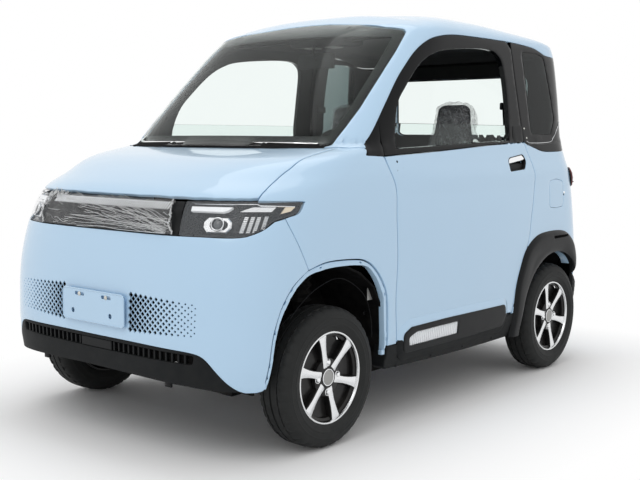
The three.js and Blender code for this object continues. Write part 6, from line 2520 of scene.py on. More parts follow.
@dataclass
class RearFlare:
    """The black flare round a rear wheel, with its slim slot."""

    proud: float = 0.013

    def build(self) -> None:
        """Makes both flares."""
        outer = side_line([p for p in Lines.FLARE_OUTER if p[1] >= 208])
        inner = SURFACE.redrawn(rear_arc(188.4, -8.4, 36), View.SIDE, View.AROUND)
        outline = outer + inner[::-1]
        slot = SURFACE.redrawn(mm(rounded([(855, 634), (998, 635), (1024, 646), (852, 647)], [4, 3, 3, 4],
                                          4)),
                               View.SIDE, View.AROUND)
        edge_out, edge_in = np.array(outer), np.array(inner)

        def section(flat: np.ndarray) -> np.ndarray:
            """The flare's section: up from the body, crowned, then rolled in to the wheel.

            Args:
                flat: Points of the drawing plane.
            Returns:
                The height at each point.
            """
            a = nearest_line(flat, edge_out)
            b = nearest_line(flat, edge_in)
            rise = np.clip(a / 0.022, 0, 1)
            roll = np.clip(b / 0.020, 0, 1)
            return self.proud * (np.sin(rise * np.pi / 2) - 1) + 0.003 * np.sin(np.clip(a / 0.09, 0,
                                                                                        1) * np.pi) \
                - 0.006 * (1 - roll) ** 2

        flare = Panel("rear_flare", View.AROUND, outline, wall=0.030, edge=0.002, cell=0.012,
                      height=self.proud, holes=[slot], hole_edge=0.0012, relief=section).build()
        pair(flare, "rear_flare", "black_plastic", "satin_black", "liner", node="rear_flare")
        floor = Panel("flare_slot_floor", View.AROUND, inset(slot, -0.0015), wall=0.003, edge=0.0004,
                      cell=0.012, height=self.proud - 0.006).build()
        pair(floor, "flare_slot_floor", "black_plastic", "liner", "liner")


@dataclass
class ChargeLid:
    """The charging lid in the left rear quarter, its pocket with a socket, and its latch."""

    gap: float = 0.0013

    @staticmethod
    def outline() -> Outline:
        """The lid's outline from the side."""
        return mm(rounded([(824, 783), (827, 906), (898, 917), (971, 904), (969, 782), (897, 777)],
                          [24, 20, 120, 22, 22, 120], 7))

    def build(self) -> None:
        """Makes the lid, the pocket, the socket and the latch."""
        outline = self.outline()
        lid = Panel("charge_lid_skin", View.SIDE, outline, wall=0.0060, gap=self.gap, edge=0.0016,
                    cell=0.014).build()
        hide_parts("charge_lid")
        dress(lid, "charge_lid", "body_paint", PALETTE["body_paint"], PALETTE["inner_paint"])
        rim = Panel("charge_pocket", View.SIDE, inset(outline, -0.004), wall=0.040, edge=0.001, cell=0.016,
                    height=-0.0085, holes=[inset(outline, 0.010)], hole_edge=0.001).build()
        dress(rim, ROOT, "black_plastic", PALETTE["satin_black"], PALETTE["satin_black"])
        floor = Panel("charge_floor", View.SIDE, inset(outline, 0.004), wall=0.003, edge=0.0005, cell=0.02,
                      height=-0.046).build()
        dress(floor, ROOT, "black_plastic", PALETTE["satin_black"], PALETTE["satin_black"])
        socket = buttons("charge_socket", View.SIDE, [(0.897, 0.845)],
                         [(0, 0.004), (0.0215, 0.004), (0.0215, 0.020), (0.0240, 0.022), (0.0290, 0.022),
                          (0.0310, 0.019), (0.0310, 0.002), (0.0380, 0.001), (0.0380, -0.001), (0, -0.001)],
                         32, -0.046)
        pins = buttons("charge_pins", View.SIDE, [(0.897, 0.853), (0.890, 0.841), (0.904, 0.841)],
                       [(0, 0.014), (0.0016, 0.0135), (0.0022, 0.012), (0.0022, -0.001), (0, -0.001)], 12,
                       -0.042)
        dress(socket, ROOT, "black_plastic", PALETTE["black_plastic"])
        dress(pins, ROOT, "alloy", PALETTE["zinc"])
        latch = buttons("charge_latch", View.SIDE, [(0.9765, 0.848)],
                        [(0, 0.0060), (0.0032, 0.0056), (0.0052, 0.0040), (0.0060, 0.0015), (0.0062, -0.002),
                         (0, -0.002)], 20)
        dress(latch, ROOT, "alloy", PALETTE["chrome"])
        slot = plates("charge_latch_slot", View.SIDE, [circle((0.9765, 0.8375), 0.0042, 10)], -0.0005, 0.0011,
                      0.0003)
        dress(slot, ROOT, "black_plastic", PALETTE["liner"])


@dataclass
class TailLamp:
    """A tail lamp wrapped round the rear corner: a dark red lens and an inner clear one in a black case."""

    proud: float = 0.0050
    bulge: float = 0.0105

    def build(self) -> None:
        """Makes both lamps."""
        side = SURFACE.redrawn(mm([(1079, 968), (1074, 945), (1078, 905), (1090, 872)]), View.SIDE,
                               View.AROUND)
        inner = SURFACE.redrawn(mm([(522, 874), (512, 920), (519, 966)]), View.REAR, View.AROUND)
        case = rounded([side[0], side[1], side[2], side[3], inner[0], inner[1], inner[2]],
                       [0.010, 0.03, 0.03, 0.012, 0.014, 0.05, 0.014], 6)
        middle = SURFACE.redrawn(mm([(596, 872), (590, 968)]), View.REAR, View.AROUND)
        low, high = 0.872, 0.968

        def swell(flat: np.ndarray) -> np.ndarray:
            """The lens bulges most above its middle."""
            t = np.clip((flat[:, 1] - low) / (high - low), 0, 1)
            return self.bulge * np.sin(np.pi * t ** 1.15) ** 0.8

        housing = Panel("tail_lamp_case", View.AROUND, case, wall=0.030, edge=0.0025, cell=0.012,
                        height=self.proud - 0.003, relief=lambda flat: 0.75 * swell(flat)).build()
        pair(housing, "tail_lamp_case", "tail_lamp", "gloss_black", "liner", node="tail_lamp")
        split = middle[0][0]
        outer = [p for p in inset(case, 0.0035)]
        red = self._clip(outer, split - 0.002, True)
        clear = self._clip(outer, split + 0.002, False)
        lens = Panel("tail_lamp_red", View.AROUND, red, wall=0.004, edge=0.0016, cell=0.010,
                     height=self.proud + 0.0008, relief=swell).build()
        pair(lens, "tail_lamp_red", "tail_lamp", "red_lens", "red_lens")
        glass = Panel("tail_lamp_clear", View.AROUND, clear, wall=0.004, edge=0.0016, cell=0.010,
                      height=self.proud + 0.0008, relief=swell).build()
        pair(glass, "tail_lamp_clear", "tail_lamp", "smoke_lens", "smoke_lens")
        rows = []
        for k in range(3):
            z = 0.893 + 0.021 * k
            rows.append([(side[1][0] + 0.022, z - 0.0028), (split - 0.012, z - 0.0028),
                         (split - 0.012, z + 0.0028), (side[1][0] + 0.022, z + 0.0028)])
        dense = [[(a, z0) for a in np.linspace(r[0][0], r[1][0], 9)] + [(a, z1) for a in np.linspace(r[1][0],
                                                                                                     r[0][0],
                                                                                                     9)]
                 for r in rows for z0, z1 in ((r[0][1], r[2][1]),)]
        bars = plates("tail_lamp_bars", View.AROUND, dense, self.proud + self.bulge - 0.0015, 0.0028, 0.0006)
        pair(bars, "tail_lamp_bars", "tail_lamp", "red_lens")

    @staticmethod
    def _clip(outline: Sequence[Point2], at: float, before: bool) -> Outline:
        """The part of a convex outline on one side of an upright line round the body.

        Args:
            outline: The convex outline.
            at: Where the upright line stands.
            before: Whether the part before the line is kept, not the part beyond it.
        Returns:
            The kept part's outline.
        """
        kept = []
        for (a, b), (c, d) in zip(outline, list(outline[1:]) + [outline[0]]):
            keep = (a < at) == before
            if keep:
                kept.append((a, b))
            if (a < at) != (c < at):
                t = (at - a) / (c - a)
                kept.append((at, b + (d - b) * t))
        return kept


@dataclass
class SideTrim:
    """Small pieces along the windows: bright line, corner plate, bolts, and discs of painted shade for the
    mirror holes.
    """

    def build(self) -> None:
        """Makes them on both sides."""
        line = side_line([(672, 1084.5), (754, 1084), (844, 1086), (905, 1091), (948, 1113), (1006, 1158),
                          (1040, 1186)], 6)
        moulding = wire_on("belt_moulding", View.AROUND, line, 0.0021, 0.0012)
        pair(moulding, "belt_moulding", "alloy", "brushed")
        ledge = side_line([(668, 1078), (754, 1077), (844, 1079), (910, 1084), (1010, 1090)], 5)
        lower = wire_on("belt_ledge", View.AROUND, ledge, 0.0040, -0.001)
        pair(lower, "belt_ledge", "gloss_black", "gloss_black")
        corner = mm(rounded([(547, 1093), (549, 1161), (636, 1163), (641, 1093)], [8, 16, 10, 4], 5))
        plate = Panel("door_corner_plate", View.SIDE, corner, wall=0.003, edge=0.0014, cell=0.02,
                      height=0.0018).build()
        pair(plate, "door_corner_plate", "black_plastic", "satin_black", "satin_black", body="door")
        bolts = buttons("pillar_bolts", View.SIDE, [(0.660, 1.150), (0.676, 1.107)],
                        [(0, 0.0030), (0.0030, 0.0028), (0.0042, 0.0014), (0.0046, -0.001), (0, -0.001)], 14)
        pair(bolts, "pillar_bolts", "alloy", "zinc")
        # Dark discs stand in for the shade inside the mirror's bolt holes: painted shade.
        holes = [circle(p, 0.0048, 12) for p in mm([(-375, 1014), (-346, 985), (-380, 980)])]
        hole_shade_discs = plates("mirror_holes", View.SIDE, holes, -0.0006, 0.0009, 0.0003)
        pair(hole_shade_discs, "mirror_holes", "black_plastic", "liner", body="door")
        wipe = mm([(-362, 1061.5), (-200, 1053.5), (0, 1059.5), (200, 1071), (400, 1083.5), (521, 1092)])
        seal = wire_on("window_seal", View.SIDE, through(wipe, 6), 0.0050, -0.010)
        pair(seal, "window_seal", "black_plastic", "rubber", body="door")


# ------------------------------------------------------------------------------ wheels
@dataclass
class Wheel:
    """One road wheel: tyre, six-spoke rim, cap, nuts, brake drum. Sizes along the axle run outwards."""

    centre_x: float = 0.627
    tyre_radius: float = 0.254
    steps: int = 144
    spokes: int = 6
    first_spoke: float = 44.0     # degrees from the rear towards the top, seen from outside
    cap_radius: float = 0.031
    nuts: int = 4
    nut_circle: float = 0.054

    def build(self) -> None:
        """Makes the four wheels."""
        tyre, rim, dark, bright = self._tyre(), self._rim(), self._dark_parts(), self._bright_parts()
        for name, y in (("front", FRONT_AXLE_Y), ("rear", REAR_AXLE_Y)):
            for side in Side:
                place = Matrix.Translation((side.value * self.centre_x, y, AXLE_Z)) @ Matrix.Scale(side.value,
                                                                                                   4,
                                                                                                   (1, 0, 0))
                ending = f"{name}_{side.word}"
                body = f"wheel_{ending}"
                own_tyre = copied(tyre, f"tyre_{ending}", place)
                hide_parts(f"{name}_tyre_{side.word}")
                dress(own_tyre, body, "tyre", PALETTE["tyre"])
                own_rim = copied(rim, f"rim_{ending}", place)
                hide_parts(f"{name}_rim_{side.word}")
                dress(own_rim, body, "alloy", PALETTE["alloy_black"], PALETTE["alloy"])
                dress(copied(dark, f"hub_{ending}", place), body, "chassis_steel", PALETTE["chassis_black"])
                dress(copied(bright, f"nuts_{ending}", place), body, "alloy", PALETTE["chrome"],
                      PALETTE["cap_grey"])
        for piece in (tyre, rim, dark, bright):
            bpy.data.objects.remove(piece)

    def _tyre(self) -> bpy.types.Object:
        """The tyre with three grooves, shoulder notches and a raised sidewall ring, round the origin.

        Returns:
            The tyre.
        """
        r = self.tyre_radius
        half = [(0.1640, 0.050), (0.1665, 0.0585), (0.1720, 0.0620), (0.1790, 0.0650), (0.1860, 0.0675),
                (0.1900, 0.0690), (0.1915, 0.0698), (0.1955, 0.0700), (0.1970, 0.0693), (0.2040, 0.0700),
                (0.2130, 0.0695), (0.2145, 0.0703), (0.2165, 0.0702), (0.2180, 0.0690), (0.2270, 0.0672),
                (0.2350, 0.0640), (0.2420, 0.0590), (0.2470, 0.0540), (0.2500, 0.0480), (0.2518, 0.0410),
                (0.2527, 0.0365)]
        crown = [(r - 0.0010, 0.0345), (r - 0.0062, 0.0338), (r - 0.0062, 0.0292), (r - 0.0009, 0.0285),
                 (r - 0.0004, 0.0210)]
        middle = [(r, 0.0040), (r - 0.0060, 0.0030), (r - 0.0060, -0.0030), (r, -0.0040)]
        outer = half + crown
        inner = [(a, -b) for a, b in reversed(outer)]
        profile = outer + middle + inner
        bead = [(0.1600, -0.044), (0.1600, 0.044)]
        tyre = turned("tyre", [*profile, *bead, profile[0]], (0, 0, 0), (1, 0, 0), self.steps)
        shape = np.array([v.co[:] for v in tyre.data.vertices])
        radius = np.hypot(shape[:, 1], shape[:, 2])
        angle = np.arctan2(shape[:, 2], shape[:, 1])
        across = np.abs(shape[:, 0])
        tooth = np.floor((angle / (2 * np.pi) * self.steps + 0.25) % 4)
        notch = (across > 0.0360) & (across < 0.0605) & (radius > 0.238) & (tooth == 0)
        sipe = (across > 0.0205) & (across < 0.0290) & (radius > r - 0.002) & (tooth == 2)
        cut = np.where(notch, 0.0042, 0.0) + np.where(sipe, 0.0035, 0.0)
        shape[:, 1:] *= ((radius - cut) / radius)[:, None]
        tyre.data.vertices.foreach_set("co", shape.ravel())
        return smooth(tyre, 28)

    def _rim(self) -> bpy.types.Object:
        """The rim: a dark barrel with dark pockets, machined spoke faces and a bright lip.

        Returns:
            The rim.
        """
        barrel = turned("barrel",
                        [(0.1665, 0.0565), (0.1665, 0.0600), (0.1650, 0.0612), (0.1620, 0.0612),
                         (0.1602, 0.0600),
                                   (0.1580, 0.0540), (0.1560, 0.0480), (0.1470, 0.0440), (0.1450, 0.0300),
                         (0.1440, -0.0420),
                                   (0.1560, -0.0500), (0.1600, -0.0590), (0.1660, -0.0600), (0.1665, -0.0560),
                         (0.1630, -0.048),
                                   (0.1500, -0.0400), (0.1500, 0.0300), (0.1540, 0.0440), (0.1640, 0.0500),
                         (0.1665, 0.0565)],
                        (0, 0, 0), (1, 0, 0), 96)
        self._mark(barrel, lambda c, n: (np.hypot(c[:, 1], c[:, 2]) > 0.1572) & (c[:, 0] > 0.050))
        disc = turned("back_disc",
                      [(0, 0.0330), (0.040, 0.0330), (0.060, 0.0270), (0.120, 0.0250), (0.1450, 0.0290),
                                    (0.1460, 0.0260), (0.120, 0.0210), (0.050, 0.0220), (0, 0.0260)],
                      (0, 0, 0), (1, 0, 0), 60)
        self._mark(disc, lambda c, n: np.zeros(len(c), bool))
        hub = turned("hub_face",
                     [(0, 0.0455), (0.0330, 0.0455), (0.0345, 0.0470), (0.0640, 0.0455), (0.0680, 0.0430),
                                  (0.0700, 0.0300), (0, 0.0300)], (0, 0, 0), (1, 0, 0), 60)
        self._mark(hub, lambda c, n: np.zeros(len(c), bool))
        spoke = self._spoke()
        spokes = [copied(spoke, f"spoke_{k}",
                         Matrix.Rotation(math.radians(360 / self.spokes * k + self.first_spoke), 4, "X"))
                  for k in range(self.spokes)]
        bpy.data.objects.remove(spoke)
        return joined("rim", [barrel, disc, hub, *spokes])

    def _spoke(self) -> bpy.types.Object:
        """One spoke along +Y, wide at the rim, with a kinked waist and a chamfer into its dark flanks.

        Returns:
            The spoke.
        """
        stations = ((0.038, 0.0140, 0.0470), (0.060, 0.0128, 0.0478), (0.088, 0.0118, 0.0492),
                    (0.112, 0.0130, 0.0512), (0.136, 0.0160, 0.0528), (0.150, 0.0190, 0.0535),
                    (0.1600, 0.0212, 0.0540))
        points, faces = [], []
        for y, half, top in stations:
            points += [(0.0260, y, -half - 0.0035), (top - 0.0040, y, -half - 0.0020),
                       (top - 0.0004, y, -half), (top + 0.0016, y, -half * 0.12),
                       (top + 0.0016, y, half * 0.12), (top - 0.0004, y, half),
                       (top - 0.0040, y, half + 0.0020), (0.0260, y, half + 0.0035)]
        n = 8
        for k in range(len(stations) - 1):
            for j in range(n - 1):
                a = k * n + j
                faces.append((a, a + 1, a + 1 + n, a + n))
            faces.append((k * n + n - 1, k * n, (k + 1) * n, (k + 1) * n + n - 1))
        faces.append(tuple(range(n)))
        faces.append(tuple(reversed(range((len(stations) - 1) * n, len(stations) * n))))
        spoke = outward(from_data("spoke", points, faces))
        self._mark(spoke, lambda c, normal: normal[:, 0] > 0.80)
        apply_modifier(spoke, "BEVEL", width=0.0010, segments=2, limit_method="ANGLE",
                       angle_limit=math.radians(30))
        return smooth(spoke, 24)

    @staticmethod
    def _mark(obj: bpy.types.Object, bright: Callable[[np.ndarray, np.ndarray], np.ndarray]) -> None:
        """Marks faces as bright metal by their centres and normals.

        Args:
            obj: The part to mark.
            bright: Tells from centres and normals which faces are bright.
        """
        centres = np.array([p.center[:] for p in obj.data.polygons])
        normals = np.array([p.normal[:] for p in obj.data.polygons])
        obj.data.materials.append(PALETTE["alloy_black"])
        obj.data.materials.append(PALETTE["alloy"])
        obj.data.polygons.foreach_set("material_index", bright(centres, normals).astype(np.int32))

    def _dark_parts(self) -> bpy.types.Object:
        """The brake drum behind the spokes.

        Returns:
            The drum.
        """
        return turned("drum",
                      [(0, -0.030), (0.100, -0.030), (0.106, -0.024), (0.106, -0.018), (0.101, -0.016),
                       (0.101, 0.004),
                               (0.096, 0.010), (0.060, 0.012), (0.034, 0.018), (0, 0.018)], (0, 0, 0),
                      (1, 0, 0), 60)

    def _bright_parts(self) -> bpy.types.Object:
        """The chromed cap ring with its grey disc, four nuts and the valve.

        Returns:
            The bright parts as one piece.
        """
        ring = turned("cap_ring",
                      [(self.cap_radius, 0.0440), (self.cap_radius, 0.0500), (0.0295, 0.0515),
                       (0.0275, 0.0505),
                                   (0.0270, 0.0470), (0.0270, 0.0440), (self.cap_radius, 0.0440)], (0, 0, 0),
                      (1, 0, 0), 48)
        self._mark(ring, lambda c, n: np.zeros(len(c), bool))
        disc = turned("cap_disc",
                      [(0, 0.0496), (0.018, 0.0494), (0.0250, 0.0484), (0.0272, 0.0478), (0.0272, 0.0450),
                       (0, 0.0450)], (0, 0, 0), (1, 0, 0), 48)
        self._mark(disc, lambda c, n: np.ones(len(c), bool))
        nuts = []
        for k in range(self.nuts):
            turn = Matrix.Rotation(math.radians(360 / self.nuts * k), 4, "X")
            centre = turn @ Vector((0.0, self.nut_circle, 0.0))
            well = turned("nut_well",
                          [(0.0122, 0.0452), (0.0140, 0.0464), (0.0128, 0.0480), (0.0112, 0.0470),
                           (0.0112, 0.0440)], (0, centre.y, centre.z), (1, 0, 0), 24)
            nut = turned("nut",
                         [(0, 0.0540), (0.0050, 0.0538), (0.0078, 0.0515), (0.0090, 0.0480), (0.0092, 0.0440),
                                 (0, 0.0440)], (0, centre.y, centre.z), (1, 0, 0), 6)
            for piece in (well, nut):
                self._mark(piece, lambda c, n: np.zeros(len(c), bool))
            nuts += [well, smooth(nut, 20)]
        turn = Matrix.Rotation(math.radians(self.first_spoke + 180 / self.spokes), 4, "X")
        foot, tip = turn @ Vector((0.046, 0.1500, 0)), turn @ Vector((0.0575, 0.1380, 0))
        valve = cylinder("valve", tuple(foot), tuple(tip), 0.0028, 12, 0.0008)
        self._mark(valve, lambda c, n: np.zeros(len(c), bool))
        return joined("nuts", [ring, disc, *nuts, valve])


# ------------------------------------------------------------------------------ under the body and behind
@dataclass
class Underbody:
    """Finishes of the chassis parts that keep the frame's own shape."""

    finishes: dict[str, str] = field(default_factory=lambda: {
        "floor_pan": "liner", "front_tub": "liner", "rear_tub": "liner", "chassis_frame": "chassis_black",
        "battery_box": "battery_blue", "rear_axle": "chassis_black", "knuckle_left": "steel",
                                                              "knuckle_right": "steel"})

    def build(self) -> None:
        """Gives each chassis part its finish."""
        for node, finish in self.finishes.items():
            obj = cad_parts[node]
            obj.data.materials.clear()
            obj.data.materials.append(PALETTE[finish])
        self._dampers()
        self._liner_bolts()

    @staticmethod
    def _dampers() -> None:
        """The rear springs with their dampers, beside the axle."""
        coils = [(0.400 + 0.030 * math.cos(t), 0.985 + 0.030 * math.sin(t), 0.300 + 0.0055 * t) for t in
                 (k * math.pi / 10 for k in range(0, 121))]
        spring = tube("spring", coils, 0.0052, 8)
        rod = cylinder("damper", (0.400, 0.985, 0.270), (0.400, 0.985, 0.420), 0.016, 24, 0.003)
        stem = cylinder("stem", (0.400, 0.985, 0.400), (0.400, 0.985, 0.525), 0.008, 16)
        pair(joined("rear_damper", [spring, rod, stem]), "rear_damper", "chassis_steel", "steel")

    @staticmethod
    def _liner_bolts() -> None:
        """Push rivets along the edge of each front wheel housing."""
        rivets = [turned("rivet", [(0, 0.004), (0.005, 0.0032), (0.0075, 0.0), (0, 0.0)], (0.610, y, z),
                         (1, 0, 0), 16)
                  for y, z in ((-0.475, 0.360), (-0.478, 0.440))]
        pair(joined("liner_rivets", rivets), "liner_rivets", "black_plastic", "satin_black")


@dataclass
class TailDetails:
    """What the tail carries: the handle strip, a blank plate, reflectors and the high lamp."""

    def build(self) -> None:
        """Makes every piece of the tail."""
        view = View.REAR
        strip = Panel("tailgate_strip", view,
                      mm(rounded([(-330, 865), (330, 865), (330, 905), (-330, 905)], 14.0, 5)), wall=0.004,
                      edge=0.0015, height=0.005, cell=0.03).build()
        dress(strip, "tailgate", "gloss_black", PALETTE["gloss_black"], PALETTE["liner"])
        plate = Panel("rear_plate", view,
                      mm(rounded([(-180, 700), (180, 700), (180, 815), (-180, 815)], 12.0, 5)), wall=0.002,
                      edge=0.0008, height=0.0035, cell=0.03).build()
        dress(plate, "tailgate", "black_plastic", PALETTE["satin_black"], PALETTE["liner"])
        lamp = Panel("high_lamp", view,
                     mm(rounded([(-110, 1450), (110, 1450), (110, 1466), (-110, 1466)], 6.0, 4)), wall=0.006,
                     edge=0.0015, height=0.004, cell=0.03).build()
        dress(lamp, "tailgate", "tail_lamp", PALETTE["red_lens"], PALETTE["liner"])
        reflectors = [Panel("reflector", view,
                            mm(rounded([(x - 55, 470), (x + 55, 470), (x + 55, 492), (x - 55, 492)], 8.0, 4)),
                            wall=0.004, edge=0.0015, height=0.004, cell=0.03).build() for x in (-430, 430)]
        dress(joined("rear_reflectors", reflectors), ROOT, "tail_lamp", PALETTE["red_lens"], PALETTE["liner"])
        valance = Panel("rear_valance", view,
                        mm(rounded([(-360, 392), (360, 392), (360, 440), (-360, 440)], 16.0, 5)), wall=0.004,
                        edge=0.0015, height=0.003, cell=0.03).build()
        dress(valance, ROOT, "black_plastic", PALETTE["black_plastic"], PALETTE["liner"])


# ------------------------------------------------------------------------------ the cabin
def lofted(name: str, rings: Sequence[Sequence[Point3]]) -> bpy.types.Object:
    """A closed skin over rings of equal length, with both ends filled.

    Args:
        name: The object's name.
        rings: The rings in order.
    Returns:
        The skin.
    """
    count = len(rings[0])
    points = [p for ring in rings for p in ring]
    faces = []
    for k in range(len(rings) - 1):
        for n in range(count):
            m = (n + 1) % count
            faces.append((k * count + n, k * count + m, (k + 1) * count + m, (k + 1) * count + n))
    faces.append(tuple(range(count - 1, -1, -1)))
    faces.append(tuple(range((len(rings) - 1) * count, len(rings) * count)))
    return outward(from_data(name, points, faces))


def slab(name: str, profile: Sequence[Point2], half: float, bevel: float,
         shift: float = 0.0) -> bpy.types.Object:
    """A profile drawn as [y, z] in metres, drawn out across the vehicle with rounded edges.

    Args:
        name: The object's name.
        profile: The closed profile.
        half: Half of its width.
        bevel: Radius of its edges.
        shift: The X of its middle.
    Returns:
        The slab.
    """
    rings = [[(x + shift, y, z) for y, z in profile] for x in (-half, half)]
    obj = lofted(name, rings)
    apply_modifier(obj, "BEVEL", width=bevel, segments=3, limit_method="ANGLE", angle_limit=math.radians(28))
    return smooth(obj, 40)


@dataclass
class Cushion:
    """Turns a plain block of foam into a filled, covered cushion."""

    voxel: float = 0.010
    pressure: float = 4.0
    frames: int = 20
    reach: float = 0.024

    def fill(self, obj: bpy.types.Object) -> bpy.types.Object:
        """Swells the block by a cloth simulation and eases it.

        Args:
            obj: The block, slightly smaller than the finished cushion.
        Returns:
            The cushion.
        """
        choose(obj)
        obj.data.remesh_voxel_size = self.voxel
        bpy.ops.object.voxel_remesh()
        self._swell(obj)
        apply_modifier(obj, "SMOOTH", factor=0.5, iterations=3)
        apply_modifier(obj, "SUBSURF", levels=1, render_levels=1)
        return smooth(obj, 80)

    def _swell(self, obj: bpy.types.Object) -> None:
        """Runs the simulation and keeps each point within its reach.

        Args:
            obj: The cushion to swell.
        """
        start = np.array([v.co[:] for v in obj.data.vertices])
        modifier = obj.modifiers.new("cloth", "CLOTH")
        settings = modifier.settings
        settings.use_pressure = True
        settings.uniform_pressure_force = self.pressure
        settings.effector_weights.gravity = 0.0
        settings.quality = 5
        modifier.point_cache.frame_end = self.frames
        for number in range(1, self.frames + 1):
            bpy.context.scene.frame_set(number)
        choose(obj)
        bpy.ops.object.modifier_apply(modifier=modifier.name)
        bpy.context.scene.frame_set(1)
        end = np.array([v.co[:] for v in obj.data.vertices])
        move = end - start
        far = np.linalg.norm(move, axis=1)
        move *= (np.minimum(far, self.reach) / np.maximum(far, 1e-9))[:, None]
        obj.data.vertices.foreach_set("co", (start + move).ravel())
        obj.data.update()


@dataclass
class Seats:
    """Two high-backed front seats in their delivery covers, and the rear bench."""

    centre: float = 0.320
    half: float = 0.205
    groove: float = 0.009

    def build(self) -> None:
        """Makes the seats, their frames, their clear covers and the bench."""
        cushion = self._cushion()
        back, cover = self._back()
        frame_parts = self._frame()
        for name, shift in (("driver", 0.0), ("passenger", -2 * self.centre)):
            move = Matrix.Translation((shift, 0, 0))
            seat = copied(cushion, f"{name}_cushion", move)
            rest = copied(back, f"{name}_back", move)
            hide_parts(f"{name}_seat")
            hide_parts(f"{name}_seat")
            for piece in (seat, rest):
                dress(piece, ROOT, "seat_cover", PALETTE["seat_cloth"])
            dress(copied(frame_parts, f"{name}_seat_frame", move), ROOT, "chassis_steel",
                  PALETTE["chassis_black"])
            film = copied(cover, f"{name}_cover", move)
            # Area and length are read from the mesh, so the sheet test says nothing about stretch.
            dress(film, ROOT, "glass", PALETTE["cover_film"])
        for piece in (cushion, back, frame_parts, cover):
            bpy.data.objects.remove(piece)
        self._bench()

    def _pressed(self, obj: bpy.types.Object, lines: Sequence[tuple[Callable, float]]) -> None:
        """Presses sewn channels into a cushion along the lines where a measure is nothing.

        Args:
            obj: The cushion.
            lines: For each channel, a measure that is nothing along it, and its depth.
        """
        shape = np.array([v.co[:] for v in obj.data.vertices])
        normals = np.array([v.normal[:] for v in obj.data.vertices])
        for measure, depth in lines:
            shape -= normals * (depth * np.exp(-((measure(shape) / self.groove) ** 2)))[:, None]
        obj.data.vertices.foreach_set("co", shape.ravel())
        obj.data.update()

    def _cushion(self) -> bpy.types.Object:
        """The seat's lower cushion, with its side rolls and cross channels.

        Returns:
            The cushion.
        """
        profile = [(0.060, 0.455), (0.045, 0.520), (0.080, 0.552), (0.400, 0.535), (0.450, 0.500),
                   (0.450, 0.455)]
        obj = slab("seat_cushion", profile, self.half - 0.012, 0.028, self.centre)
        obj = Cushion().fill(obj)
        middle = self.centre
        self._pressed(obj,
                      [(lambda p: np.where(p[:, 2] > 0.49, np.abs(p[:, 0] - middle) - 0.128, 1.0), 0.010),
                            (lambda p: np.where((p[:, 2] > 0.49) & (np.abs(p[:, 0] - middle) < 0.128),
                                                (p[:, 1] - 0.17), 1.0),
                             0.007),
                            (lambda p: np.where((p[:, 2] > 0.49) & (np.abs(p[:, 0] - middle) < 0.128),
                                                (p[:, 1] - 0.30), 1.0),
                             0.007)])
        return obj

    def _back(self) -> tuple[bpy.types.Object, bpy.types.Object]:
        """The seat's one-piece back with its tapered head, and the clear film over it.

        Returns:
            The back, and its cover.
        """
        table = ((0.535, 0.185, 0.425, 0.560), (0.620, 0.195, 0.445, 0.575), (0.760, 0.200, 0.470, 0.590),
                 (0.900, 0.198, 0.492, 0.600), (0.985, 0.190, 0.508, 0.606), (1.055, 0.165, 0.520, 0.610),
                 (1.105, 0.132, 0.528, 0.610), (1.150, 0.112, 0.535, 0.608), (1.215, 0.101, 0.545, 0.606),
                 (1.266, 0.086, 0.556, 0.600), (1.284, 0.060, 0.566, 0.592))
        rings = []
        for z, half, front, rear in table:
            ring = []
            for k in range(28):
                t = 2 * math.pi * k / 28
                c, s = math.cos(t), math.sin(t)
                power = 0.42
                x = half * math.copysign(abs(c) ** power, c)
                y = (front + rear) / 2 + (rear - front) / 2 * math.copysign(abs(s) ** 0.6, s)
                ring.append((self.centre + x, y, z))
            rings.append(ring)
        raw = lofted("seat_back", rings)
        obj = Cushion().fill(raw)
        cover = self._cover(obj)
        middle = self.centre
        self._pressed(obj,
                      [(lambda p: np.where((p[:, 1] < 0.56) & (p[:, 2] < 1.03),
                                           np.abs(p[:, 0] - middle) - 0.118, 1.0), 0.011),
                            (lambda p: np.where((np.abs(p[:, 0] - middle) < 0.118) & (p[:, 1] < 0.56),
                                                p[:, 2] - 0.80, 1.0), 0.007),
                            (lambda p: np.where((np.abs(p[:, 0] - middle) < 0.118) & (p[:, 1] < 0.56),
                                                p[:, 2] - 0.93, 1.0), 0.007),
                            (lambda p: np.where(p[:, 1] < 0.57, p[:, 2] - 1.085, 1.0), 0.008)])
        return obj, cover

    @staticmethod
    def _cover(back: bpy.types.Object) -> bpy.types.Object:
        """Loose clear film over the back: its own skin, stood off and crumpled, and bunched behind.

        Args:
            back: The finished back.
        Returns:
            The cover.
        """
        film = copied(back, "seat_cover_film", Matrix.Identity(4))
        shape = np.array([v.co[:] for v in film.data.vertices])
        normals = np.array([v.normal[:] for v in film.data.vertices])
        ruck = (np.abs(np.sin(shape[:, 2] * 43 + 4 * np.sin(shape[:, 0] * 21) + 2 * np.sin(shape[:, 1] * 35)))
                + np.abs(np.sin(shape[:, 0] * 61 + 3 * np.sin(shape[:, 2] * 19)))) * 0.5
        rear = np.clip((shape[:, 1] - 0.585) / 0.03, 0, 1) * np.clip((shape[:, 2] - 0.70) / 0.15, 0, 1)
        wave = np.abs(np.sin(shape[:, 2] * 17 + shape[:, 0] * 9))
        stand = 0.006 + 0.009 * ruck + 0.030 * rear * (0.4 + 0.6 * wave)
        film.data.vertices.foreach_set("co", (shape + normals * stand[:, None]).ravel())
        film.data.update()
        shape_now = bmesh.new()
        shape_now.from_mesh(film.data)
        low = [f for f in shape_now.faces if f.calc_center_median().z < 0.66]
        bmesh.ops.delete(shape_now, geom=low, context="FACES")
        shape_now.to_mesh(film.data)
        shape_now.free()
        apply_modifier(film, "DECIMATE", ratio=0.35)
        return smooth(film, 50)

